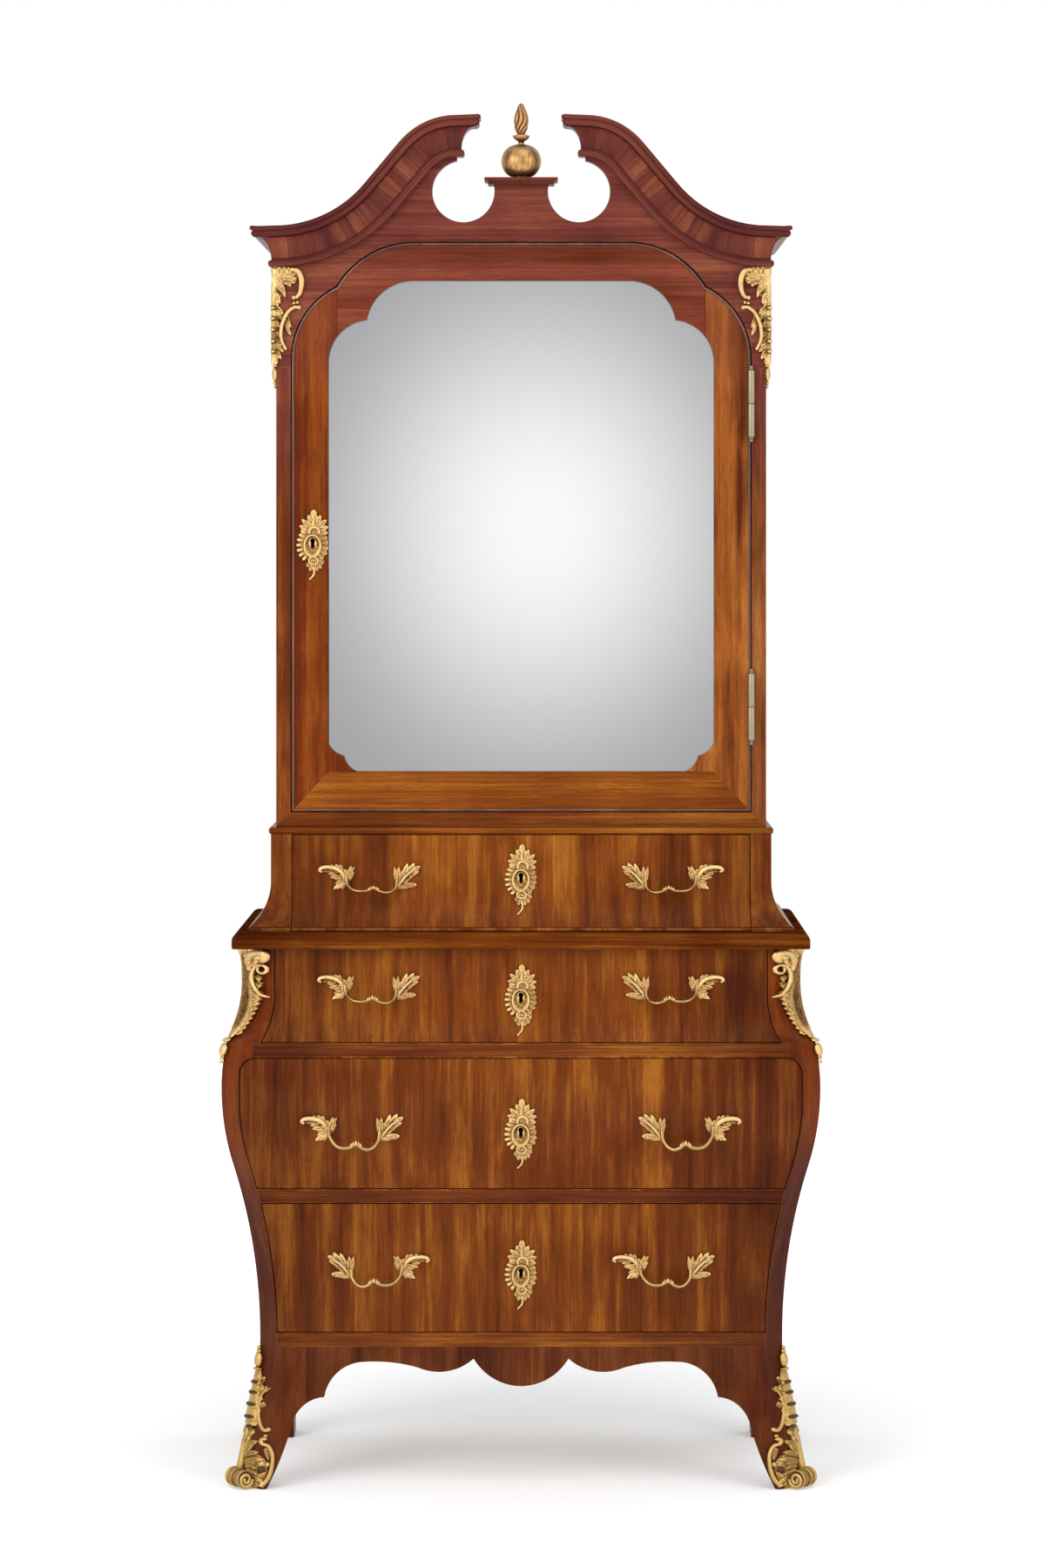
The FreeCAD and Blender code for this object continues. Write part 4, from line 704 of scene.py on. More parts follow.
def built(name: str, points: np.ndarray, faces: Iterable[Sequence[int]], finish: Finish,
          sharp: float = 50.0, sunk: np.ndarray | None = None) -> bpy.types.Object:
    """Make an object from points and faces.

    Args:
        name: The object's name.
        points: Rows of x, y, z in metres.
        faces: Point numbers of each face.
        finish: Its finish.
        sharp: Angle in degrees past which an edge stays sharp.
        sunk: How deep each point lies below its surroundings, from 0 to 1; the metal is painted darker there
            as shade.

    Returns:
        The object, with its faces outwards.
    """
    mesh = bpy.data.meshes.new(name)
    mesh.from_pydata(np.asarray(points, float).tolist(), [], [tuple(face) for face in faces])
    if sunk is not None:
        mesh.attributes.new("hollow", "FLOAT", "POINT").data.foreach_set("value", sunk.astype(np.float32))
    form = bmesh.new()
    form.from_mesh(mesh)
    bmesh.ops.remove_doubles(form, verts=form.verts, dist=POINT_WELD)
    bmesh.ops.recalc_face_normals(form, faces=form.faces)
    form.to_mesh(mesh)
    form.free()
    mesh.materials.append(finish.material())
    smooth(mesh, sharp)
    return new_object(name, mesh)


def corner_values(mesh: bpy.types.Mesh, name: str) -> np.ndarray:
    """Read a vector of each point of a mesh.

    Args:
        mesh: The mesh.
        name: Which vector, such as co or normal.

    Returns:
        One row for each point.
    """
    values = np.empty(len(mesh.vertices) * 3)
    mesh.vertices.foreach_get(name, values)
    return values.reshape(-1, 3)


def paint_relief_shading(piece: bpy.types.Object, gain: float = 2.2) -> bpy.types.Object:
    """Keep on each point how far it stands out from its neighbours, for the metal's painted highlight and
    shade.

    Args:
        piece: A metal piece.
        gain: How strongly the height counts.

    Returns:
        The same piece.
    """
    mesh = piece.data
    count = len(mesh.vertices)
    points, normals = corner_values(mesh, "co"), corner_values(mesh, "normal")
    ends = np.empty(len(mesh.edges) * 2, int)
    mesh.edges.foreach_get("vertices", ends)
    ends = ends.reshape(-1, 2)
    total, share, length = np.zeros((count, 3)), np.zeros(count), np.zeros(count)
    span = np.linalg.norm(points[ends[:, 0]] - points[ends[:, 1]], axis=1)
    for near, far in ((0, 1), (1, 0)):
        np.add.at(total, ends[:, near], points[ends[:, far]] - points[ends[:, near]])
        np.add.at(share, ends[:, near], 1.0)
        np.add.at(length, ends[:, near], span)
    share = np.maximum(share, 1.0)
    stand = -(total / share[:, None] * normals).sum(1) / np.maximum(length / share, 1e-9)
    for _ in range(2):
        spread = np.zeros(count)
        for near, far in ((0, 1), (1, 0)):
            np.add.at(spread, ends[:, near], stand[ends[:, far]])
        stand = 0.5 * stand + 0.5 * spread / share
    tone = np.clip(0.5 + gain * stand, 0.0, 1.0)
    layer = mesh.attributes.new("relief", "FLOAT", "POINT")
    layer.data.foreach_set("value", tone.astype(np.float32))
    return piece


def softened(name: str, node: str, choose: Callable[[Vector], Finish],
             width: float = 0.0009) -> bpy.types.Object:
    """Copy a CAD node with its facets merged and its hard edges rubbed round.

    Args:
        name: The new object's name.
        node: The CAD node.
        choose: Gives the finish at a point inside the node. Each finish is worked as a board of its own.
        width: How far each edge is rounded.

    Returns:
        The dressed copy.
    """
    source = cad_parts[node].data
    corners = corner_values(source, "co")
    boards: dict[Finish, list[tuple[int, ...]]] = {}
    for face in source.polygons:
        boards.setdefault(choose(face.center - face.normal * INSIDE), []).append(tuple(face.vertices))
    whole = bmesh.new()
    for number, (finish, faces) in enumerate(boards.items()):
        board = bpy.data.meshes.new(f"{name}_board")
        board.from_pydata(corners.tolist(), [], faces)
        form = bmesh.new()
        form.from_mesh(board)
        rub_edges(form, width)
        for face in form.faces:
            face.material_index = number
        form.to_mesh(board)
        form.free()
        whole.from_mesh(board)
        bpy.data.meshes.remove(board)
    mesh = bpy.data.meshes.new(name)
    whole.to_mesh(mesh)
    whole.free()
    for finish in boards:
        mesh.materials.append(finish.material())
    smooth(mesh, SOFT_ANGLE)
    piece = new_object(name, mesh)
    weigh = piece.modifiers.new("weigh", "WEIGHTED_NORMAL")
    weigh.keep_sharp = True
    result = bpy.data.meshes.new_from_object(piece.evaluated_get(bpy.context.evaluated_depsgraph_get()))
    piece.modifiers.remove(weigh)
    piece.data = result
    return piece


def rub_edges(form: bmesh.types.BMesh, width: float) -> None:
    """Merge a board's facets, round its hard edges and mark the middle of each rounding for wear and a
    painted highlight.

    Args:
        form: The board's mesh.
        width: How far each edge is rounded.
    """
    bmesh.ops.delete(form, geom=[corner for corner in form.verts if not corner.link_faces], context="VERTS")
    bmesh.ops.remove_doubles(form, verts=form.verts, dist=WELD)
    bmesh.ops.dissolve_limit(form, angle_limit=FLAT_ANGLE, verts=form.verts, edges=form.edges)
    hard = [edge for edge in form.edges if edge.is_manifold and edge.calc_face_angle(0.0) > HARD_ANGLE]
    layer = form.verts.layers.float.new("edge")
    made = bmesh.ops.bevel(form, geom=hard, offset=width, offset_type="OFFSET", segments=2, profile=0.6,
                           affect="EDGES", clamp_overlap=True)
    rounded = set(made["faces"])
    for corner in made["verts"]:
        if corner.is_valid and all(face in rounded for face in corner.link_faces):
            corner[layer] = 1.0


def put(piece: bpy.types.Object, body: str, slot: str, *nodes: str) -> None:
    """Hang a piece on its body, hide the CAD nodes that it replaces and log it.

    Args:
        piece: The finished piece.
        body: The CAD body that carries it.
        slot: Name of a material slot; not used.
        nodes: The CAD nodes that it replaces.
    """
    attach(piece, body)
    if nodes:
        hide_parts(*nodes)
    LOG.info("%s on %s, %d points", piece.name, body, len(piece.data.vertices))


def dress(node: str, finish: Finish) -> None:
    """Give a CAD node that stays its finish.

    Args:
        node: The CAD node.
        finish: Its finish.
    """
    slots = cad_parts[node].data.materials
    slots.clear()
    slots.append(finish.material())


def line_curve(name: str, runs: Sequence[np.ndarray], closed: bool = False) -> bpy.types.Object:
    """Curve object of straight runs through points.

    Args:
        name: Its name.
        runs: Rows of points, one array for each spline.
        closed: Whether each spline closes on itself.

    Returns:
        The curve object.
    """
    data = bpy.data.curves.new(name, "CURVE")
    data.dimensions = "3D"
    for run in runs:
        spline = data.splines.new("POLY")
        spline.points.add(len(run) - 1)
        for point, spot in zip(spline.points, run):
            point.co = (*spot, 1.0)
        spline.use_cyclic_u = closed
    return new_object(name, data)


def arc_points(start: Spot, end: Spot, radius: float, left: bool, count: int = 16) -> list[Spot]:
    """Points along a circular arc after its start.

    Args:
        start: Where it starts.
        end: Where it ends.
        radius: Its radius.
        left: Whether it turns left.
        count: How many points.

    Returns:
        The points, the end included.
    """
    first, last = np.array(start, float), np.array(end, float)
    chord = last - first
    span = float(np.hypot(*chord))
    rise = math.sqrt(max(radius ** 2 - span ** 2 / 4, 0.0)) * (1 if left else -1)
    centre = (first + last) / 2 + np.array((-chord[1], chord[0])) / span * rise
    low, high = (math.atan2(*(spot - centre)[::-1]) for spot in (first, last))
    if left and high < low:
        high += 2 * math.pi
    if not left and high > low:
        high -= 2 * math.pi
    angles = np.linspace(low, high, count + 1)[1:]
    return [(centre[0] + radius * math.cos(a), centre[1] + radius * math.sin(a)) for a in angles]


def ease(value: np.ndarray, soft: float) -> np.ndarray:
    """Smooth step from 0 to 1 about zero, over twice the given width."""
    share = np.clip((value + soft) / (2 * soft), 0.0, 1.0)
    return share * share * (3 - 2 * share)


def bow(reach: float, rise: float) -> float:
    """Radius of an arc that leaves square to its reach."""
    return (reach ** 2 + rise ** 2) / (2 * reach)


# Forms of the case

class Swell:
    """A front that swells with height, on which patterns are laid."""

    STEP = 5e-4
    face_y: float

    def out(self, z: np.ndarray) -> np.ndarray:
        """How far the front stands out from its plane at each height."""
        raise NotImplementedError

    def front(self, x: float, z: float) -> Place:
        """Placing of a pattern on the front, about a point.

        Args:
            x: Where the pattern's origin is across.
            z: Where it is up.

        Returns:
            The function that places pattern points.
        """
        def place(points: np.ndarray) -> np.ndarray:
            """Lay points on the front, their height square to it.

            Args:
                points: Rows of u, v, h in millimetres.

            Returns:
                Rows of x, y, z in metres.
            """
            u, v, h = (points * MM).T
            level = z + v
            lean = (self.out(level + self.STEP) - self.out(level - self.STEP)) / (2 * self.STEP)
            norm = np.sqrt(1 + lean ** 2)
            return np.stack([x + u, self.face_y - self.out(level) - h / norm, level - h * lean / norm], 1)
        return place


@dataclass(frozen=True)
class Bombe(Swell):
    """The swelling outline of the chest, shared by its front, sides and canted corners."""

    half: float = 0.437
    face_y: float = -0.197
    top: float = 0.862
    neck: float = 0.8
    shoulder: Spot = (0.033, 0.714)
    belly: Spot = (0.041, 0.640)
    belly_radius: float = 0.450
    hip: Spot = (-0.017, 0.232)
    flare_radius: float = 0.430
    toe: float = 0.011
    cant: float = 0.032

    def out(self, z: np.ndarray) -> np.ndarray:
        """How far the case stands out from its neck.

        Args:
            z: The heights.

        Returns:
            The distance at each height.
        """
        z = np.asarray(z, float)
        (shoulder, shoulder_z), (belly, belly_z), (hip, hip_z) = self.shoulder, self.belly, self.hip
        fall, swing = belly_z - hip_z, belly - hip
        share = self.belly_radius / bow(swing, fall)
        bend, bend_z = belly - share * swing, belly_z - share * fall
        leg = self.toe - hip
        leg_share = self.flare_radius / bow(leg, hip_z)
        knee, knee_z = self.toe - leg_share * leg, leg_share * hip_z

        def sag(radius: float, drop: np.ndarray) -> np.ndarray:
            """How far an arc falls behind its tangent."""
            return radius - np.sqrt(np.maximum(radius ** 2 - drop ** 2, 0.0))

        return np.select(
            [z >= self.neck, z >= shoulder_z, z >= belly_z, z >= bend_z, z >= hip_z, z >= knee_z],
            [np.zeros_like(z), sag(bow(shoulder, self.neck - shoulder_z), self.neck - z),
             belly - sag(bow(belly - shoulder, shoulder_z - belly_z), z - belly_z),
             belly - sag(self.belly_radius, belly_z - z),
             hip + sag(bow(bend - hip, bend_z - hip_z), z - hip_z),
             hip + sag(bow(knee - hip, hip_z - knee_z), hip_z - z)],
            self.toe - sag(self.flare_radius, z))

    def corner(self, points: np.ndarray) -> np.ndarray:
        """Place a pattern round the left canted corner.

        Args:
            points: Rows of u inwards from the side as seen in front, v up and h out, in millimetres.

        Returns:
            Rows of x, y, z in metres.
        """
        u, v, h = (np.asarray(points, float) * MM).T
        out = self.out(v)
        x = self.half + out - np.maximum(u, 0.0)
        y = self.face_y - out + np.clip(self.cant - u, 0.0, self.cant) + np.maximum(-u, 0.0)
        turn = math.radians(45) * (ease(-u, TURN) + ease(self.cant - u, TURN)) - math.radians(90)
        return np.stack([-x - h * np.cos(turn), y + h * np.sin(turn), v], 1)


@dataclass(frozen=True)
class WaistForm(Swell):
    """The flared outline of the waist stage."""

    face_y: float = -0.162
    foot: float = 0.888
    fillet: float = 0.005
    cove: float = 0.073
    flare: float = 0.035

    def out(self, z: np.ndarray) -> np.ndarray:
        """How far the waist stands out from its upper face.

        Args:
            z: The heights.

        Returns:
            The distance at each height.
        """
        spring = self.foot + self.fillet + self.cove
        radius = bow(self.flare, self.cove)
        drop = np.clip(spring - np.asarray(z, float), 0.0, self.cove)
        return radius - np.sqrt(radius ** 2 - drop ** 2)


def flat_front(x: float, y: float, z: float) -> Place:
    """Placing of a pattern on an upright plane."""
    return lambda points: np.array((x, y, z)) + points[:, (0, 2, 1)] * (MM, -MM, MM)


def both_sides(place: Place) -> list[tuple[Place, float]]:
    """A placing on the left and its mirror image on the right."""
    return [(place, 1.0), (lambda points: place(points) * (-1.0, 1.0, 1.0), 1.0)]


BOMBE = Bombe()
WAIST = WaistForm()
BOSSES = (-66.0, -83.0, -101.0, -119.5, -136.0)
STALK = ((182.0, 3.0, 2.5, 4.6), (168.0, 3.5, 3.2, 7.2), (149.0, 4.0, 3.6, 8.8), (130.0, 5.0, 3.8, 10.0),
         (111.0, 7.0, 3.6, 10.5), (96.0, 9.0, 2.6, 8.0))
STALK_BANDS = (164.0, 148.0, 130.0, 111.0, 96.0)


# Cast ornament

def ring_faces(rows: int, sides: int) -> list[tuple[int, ...]]:
    """Faces of a closed bar of rings.

    Args:
        rows: How many rings it has.
        sides: How many points each ring has.

    Returns:
        Point numbers of each face, both ends included.
    """
    faces = [tuple(range(sides)), tuple((rows - 1) * sides + k for k in reversed(range(sides)))]
    for row in range(rows - 1):
        for k in range(sides):
            a, b = row * sides + k, row * sides + (k + 1) % sides
            faces.append((a, a + sides, b + sides, b))
    return faces


class Relief:
    """Ornament gathered in pattern space: u across, v up, h out of the ground, in millimetres."""

    GROUND = -0.5

    def __init__(self) -> None:
        """Start with nothing."""
        self.points: list[np.ndarray] = []
        self.faces: list[tuple[int, ...]] = []
        self.count = 0

    def add(self, points: np.ndarray, faces: Iterable[Sequence[int]]) -> None:
        """Take in a closed shape.

        Args:
            points: Rows of u, v, h.
            faces: Point numbers of each face.
        """
        self.points.append(np.asarray(points, float))
        self.faces += [tuple(self.count + corner for corner in face) for face in faces]
        self.count += len(points)

    def cap(self, grid: np.ndarray, thick: float | None = None, around: bool = False) -> None:
        """Take in a sheet of points as a closed casting.

        Args:
            grid: Rows and columns of points.
            thick: Its thickness, or None to run down to the ground.
            around: Whether the columns close on themselves.
        """
        rows, columns = grid.shape[:2]
        under = grid.copy()
        if thick is None:
            under[..., 2] = self.GROUND
        else:
            under[..., 2] -= thick
        points = np.concatenate([grid.reshape(-1, 3), under.reshape(-1, 3)])
        low = rows * columns
        faces = []
        for row in range(rows - 1):
            for column in range(columns if around else columns - 1):
                a, b = row * columns + column, row * columns + (column + 1) % columns
                faces.append((a, b, b + columns, a + columns))
                faces.append((low + a, low + a + columns, low + b + columns, low + b))
        first, last = list(range(columns)), list(range(low - columns, low))
        if around:
            rims = [first, last[::-1]]
        else:
            sides = [[row * columns + column for row in range(rows)] for column in (0, columns - 1)]
            rims = [first + sides[1][1:] + last[-2::-1] + sides[0][-2:0:-1]]
        for ring in rims:
            for here, there in zip(ring, ring[1:] + ring[:1]):
                faces.append((here, low + here, low + there, there))
        self.add(points, faces)

    def leaf(self, root: Spot, tip: Spot, width: float, bend: float = 0.0, lobes: int = 4,
             relief: float = 3.0, lift: float = 0.0, curl: float = 0.0, sides: Spot = (1.0, 1.0),
             thick: float | None = None) -> None:
        """Take in an acanthus leaf.

        Args:
            root: Where it starts.
            tip: Where it ends.
            width: Its full width.
            bend: How far its rib bows to the left, as a share of its length.
            lobes: How many lobes each edge has.
            relief: How far its body stands out.
            lift: Height of its root.
            curl: Further height of its tip.
            sides: Share of the width on its left and right.
            thick: Its thickness, or None to run down to the ground.
        """
        start, end = np.array(root, float), np.array(tip, float)
        reach = end - start
        control = (start + end) / 2 + bend * np.array((-reach[1], reach[0]))

        def spine(t: float) -> tuple[np.ndarray, float]:
            """Place and heading along the leaf's rib.

            Args:
                t: Share of its length.

            Returns:
                The place, and the heading in radians.
            """
            spot = (1 - t) ** 2 * start + 2 * t * (1 - t) * control + t ** 2 * end
            way = (1 - t) * (control - start) + t * (end - control)
            return spot, math.atan2(way[1], way[0])

        stem = np.array([spine(t)[0] for t in np.linspace(0.0, 1.0, 9)])
        step = 0.7 * float(np.linalg.norm(np.diff(stem, axis=0), axis=1).sum()) / lobes
        for k in range(lobes):
            t = 0.04 + 0.6 * (k + 0.3) / lobes
            spot, heading = spine(t)
            spread = math.radians(60 - 32 * t)
            full = 0.5 * width * math.sin(math.pi * (0.3 + 0.5 * t)) / math.sin(spread + 0.12)
            for hand, share in ((1, sides[0]), (-1, sides[1])):
                self.petal(spot, heading + hand * (spread + 0.25), full * share, 0.56 * step, relief,
                           lift + curl * t ** 2, -0.5 * hand, thick)
        spot = spine(0.5)[0]
        ahead = end - spot
        self.petal(spot, math.atan2(ahead[1], ahead[0]), float(np.hypot(*ahead)), 0.6 * step, relief,
                   lift + 0.6 * curl, 0.0, thick)
        shares = np.linspace(0.0, 0.86, 9)
        rib = [(*spine(t)[0], lift + curl * t ** 2 + relief * (1.0 - 0.35 * t)) for t in shares]
        self.tube(rib, [0.2 * step * (1.2 - t) for t in shares], 0.8, 6)

    def petal(self, root: Sequence[float], heading: float, long: float, half: float, relief: float,
              lift: float, bend: float = 0.0, thick: float | None = None) -> None:
        """Take in one lobe of a leaf: a grooved finger with a blunt tip that turns out.

        Args:
            root: Where it starts.
            heading: Its direction in radians.
            long: Its length.
            half: Half its width.
            relief: How far it stands out.
            lift: Height of its ground.
            bend: How far it swings, in radians.
            thick: Its thickness, or None to run down to the ground.
        """
        rows, columns = 8, 7
        grid = np.zeros((rows, columns, 3))
        spot = np.array(root, float)
        for row, t in enumerate(np.linspace(0.0, 1.0, rows)):
            way = heading + bend * t
            step = np.array((math.cos(way), math.sin(way)))
            if row:
                spot = spot + step * long / (rows - 1)
            swell = 0.62 + 0.38 * min(t / 0.5, 1.0)
            blunt = math.sqrt(max(1.0 - max((t - 0.45) / 0.56, 0.0) ** 2, 0.01))
            wide = half * swell * blunt
            body = 0.5 + 0.5 * math.sin(math.pi * min(0.2 + 0.72 * t, 1.0)) + 0.22 * t ** 3
            for column, s in enumerate(np.linspace(-1.0, 1.0, columns)):
                groove = 0.4 * math.exp(-(s / 0.25) ** 2) * (1 - 0.4 * t)
                grid[row, column, :2] = spot + np.array((-step[1], step[0])) * wide * s
                grid[row, column, 2] = lift + relief * body * (1.0 - 0.62 * s * s - groove)
        self.cap(grid, thick)

    def tube(self, path: Sequence[Sequence[float]], radius: Sequence[float] | float, flat: float = 1.0,
             sides: int = 8, fine: int = 1) -> None:
        """Take in a round bar along a path.

        Args:
            path: Points u, v, h along its middle.
            radius: Its radius, or one for each point.
            flat: Height of its section as a share of its width.
            sides: How many sides it has.
            fine: How many steps each run between points is cut into, along a smooth curve.
        """
        spots = np.asarray(path, float)
        radii = np.broadcast_to(np.asarray(radius, float), len(spots)).astype(float)
        if fine > 1:
            spots, radii = rounded_run(spots, radii, fine)
        way = np.gradient(spots, axis=0)
        side = np.stack([-way[:, 1], way[:, 0], np.zeros(len(spots))], 1)
        side /= np.maximum(np.linalg.norm(side, axis=1, keepdims=True), 1e-9)
        rise = np.cross(way, side)
        rise /= np.maximum(np.linalg.norm(rise, axis=1, keepdims=True), 1e-9)
        angles = np.arange(sides) * 2 * math.pi / sides
        rings = (spots[:, None] + radii[:, None, None] * (np.cos(angles)[None, :, None] * side[:, None]
                 + flat * np.sin(angles)[None, :, None] * rise[:, None]))
        self.add(rings.reshape(-1, 3), ring_faces(len(spots), sides))

    def scroll(self, path: Sequence[Spot], thick: Sequence[float], turns: tuple[float, float] = (0.0, 0.0),
               height: float = 3.0, hand: float = 1.0) -> None:
        """Take in a C- or S-scroll whose ends may roll up.

        Args:
            path: Points u, v along it.
            thick: Its half thickness at its start, middle and end.
            turns: How many turns its start and end roll, to the left for positive.
            height: How far its middle line stands out.
            hand: Side to which a positive turn rolls.
        """
        spots, _ = rounded_run(np.asarray([(u, v, 0.0) for u, v in path], float), np.ones(len(path)), 8)
        run = [tuple(spot[:2]) for spot in spots]
        if turns[1]:
            run += roll(run[-2], run[-1], turns[1] * hand, thick[2])
        if turns[0]:
            run = list(reversed(roll(run[1], run[0], -turns[0] * hand, thick[0]))) + run
        share = np.linspace(0.0, 1.0, len(run))
        radius = np.interp(share, (0.0, 0.5, 1.0), thick)
        line = [(u, v, height + 0.25 * r) for (u, v), r in zip(run, radius)]
        self.tube(line, radius, 1.0 if height < 3 else 1.2, 8)

    def bead(self, centre: Sequence[float], size: Sequence[float] | float, rows: int = 6,
             sides: int = 10) -> None:
        """Take in a ball or a bud.

        Args:
            centre: Where its middle is.
            size: Its radius, or half its size along each axis.
            rows: How many bands it has from pole to pole.
            sides: How many sides it has.
        """
        half = np.broadcast_to(np.asarray(size, float), 3)
        points = [(0.0, -1.0, 0.0)]
        for row in range(1, rows):
            tilt = math.pi * row / rows
            points += [(math.sin(tilt) * math.cos(2 * math.pi * k / sides), -math.cos(tilt),
                        math.sin(tilt) * math.sin(2 * math.pi * k / sides)) for k in range(sides)]
        points.append((0.0, 1.0, 0.0))
        faces = []
        for k in range(sides):
            after = (k + 1) % sides
            faces.append((0, 1 + k, 1 + after))
            top = 1 + (rows - 2) * sides
            faces.append((len(points) - 1, top + after, top + k))
            for row in range(rows - 2):
                a, b = 1 + row * sides + k, 1 + row * sides + after
                faces.append((a, a + sides, b + sides, b))
        self.add(np.array(points) * half + np.asarray(centre, float), faces)

    def lobes(self, drawn: Iterable[tuple[Spot, Spot, float]], relief: float, lift: float,
              bend: float = 0.0) -> None:
        """Take in single lobes.

        Args:
            drawn: Root, tip and half width of each.
            relief: How far they stand out.
            lift: Height of their ground.
            bend: How far they swing, in radians.
        """
        for root, tip, half in drawn:
            reach = np.subtract(tip, root)
            self.petal(root, math.atan2(reach[1], reach[0]) - bend / 2, float(np.hypot(*reach)), half,
                       relief, lift, bend)

    def hollows(self, drawn: np.ndarray, cell: float = 1.5) -> np.ndarray:
        """How deep each point lies below the highest ornament near it, for painted shade in the hollows.

        Args:
            drawn: Rows of u, v, h.
            cell: Size of the cells in which heights are compared.

        Returns:
            A depth from 0 to 1 for each point.
        """
        spots = np.floor((drawn[:, :2] - drawn[:, :2].min(0)) / cell).astype(int) + 2
        crown = np.full(spots.max(0) + 3, self.GROUND)
        np.maximum.at(crown, tuple(spots.T), drawn[:, 2])
        for axis in (0, 1):
            crown = np.max([np.roll(crown, step, axis) for step in (-2, -1, 0, 1, 2)], axis=0)
        top = crown[tuple(spots.T)]
        return np.clip((top - drawn[:, 2]) / np.maximum(top - self.GROUND, 2.0), 0.0, 1.0)

    def mapped(self, name: str, places: Sequence[tuple[Place, float]], finish: Finish,
               sharp: float = 60.0, flat: bool = True) -> bpy.types.Object:
        """Lay the ornament out in space, once for each place.

        Args:
            name: The object's name.
            places: Each place with 1 for the drawn hand or -1 for the other.
            finish: Its finish.
            sharp: Angle in degrees past which an edge stays sharp.
            flat: Whether it lies on a ground, so that its hollows can be told by height and painted darker as
                shade.

        Returns:
            The metal piece.
        """
        drawn = np.concatenate(self.points)
        sunk = np.tile(self.hollows(drawn), len(places)) if flat else None
        points, faces, start = [], [], 0
        for place, hand in places:
            points.append(place(drawn * (hand, 1.0, 1.0)))
            faces += [tuple(start + corner for corner in face) for face in self.faces]
            start += len(drawn)
        return paint_relief_shading(built(name, np.concatenate(points), faces, finish, sharp, sunk))


def rounded_run(spots: np.ndarray, radii: np.ndarray, fine: int) -> tuple[np.ndarray, np.ndarray]:
    """Points along a smooth curve through given points.

    Args:
        spots: The given points.
        radii: A radius at each.
        fine: How many steps to each run.

    Returns:
        The points along the curve and their radii.
    """
    padded = np.concatenate([2 * spots[:1] - spots[1:2], spots, 2 * spots[-1:] - spots[-2:-1]])
    line, sizes = [], []
    for index in range(1, len(padded) - 2):
        before, here, there, after = padded[index - 1:index + 3]
        last = index == len(padded) - 3
        for t in np.linspace(0.0, 1.0, fine + 1)[:None if last else -1]:
            line.append(0.5 * (2 * here + (there - before) * t
                               + (2 * before - 5 * here + 4 * there - after) * t ** 2
                               + (3 * here - before - 3 * there + after) * t ** 3))
            sizes.append(radii[index - 1] + (radii[index] - radii[index - 1]) * t)
    return np.array(line), np.array(sizes)


def oval(centre: Spot, half: Spot, height: float, count: int,
         span: Spot = (0.0, 2 * math.pi)) -> list[tuple[float, float, float]]:
    """Points along an oval or a part of one.

    Args:
        centre: Its middle, u and v.
        half: Its half sizes.
        height: How far it stands out.
        count: How many points.
        span: First and last angle in radians.

    Returns:
        The points.
    """
    return [(centre[0] + half[0] * math.cos(a), centre[1] + half[1] * math.sin(a), height)
            for a in np.linspace(*span, count)]


def between(inner: np.ndarray, outer: np.ndarray, rows: Iterable[Spot]) -> np.ndarray:
    """Fill the ground between two closed lines.

    Args:
        inner: Points of the inner line, u and v.
        outer: As many points of the outer line.
        rows: Share of the way out and height of each row.

    Returns:
        The grid.
    """
    return np.array([np.column_stack([inner * (1 - share) + outer * share, np.full(len(inner), height)])
                     for share, height in rows])


def level_row(across: np.ndarray, level: float, stand: np.ndarray) -> np.ndarray:
    """One row of a sheet: its points lie at one level."""
    return np.stack([across, np.full(len(across), float(level)), stand], 1)


def roll(before: Spot, last: Spot, turns: float, thick: float) -> list[Spot]:
    """Points of a volute that goes on from the end of a line.

    Args:
        before: The last point but one.
        last: The last point.
        turns: How many turns, to the left for positive.
        thick: Half thickness of the bar.

    Returns:
        The points after the last.
    """
    heading = math.atan2(last[1] - before[1], last[0] - before[0])
    hand = math.copysign(1.0, turns)
    steps = max(int(abs(turns) * 16), 4)
    radius = thick * 2.6 * abs(turns) ** 0.6
    points, spot = [], last
    for step in range(steps):
        share = step / steps
        swing = 2 * math.pi * abs(turns) / steps
        length = swing * radius * (1 - 0.72 * share)
        heading += hand * swing
        spot = (spot[0] + length * math.cos(heading), spot[1] + length * math.sin(heading))
        points.append(spot)
    return points


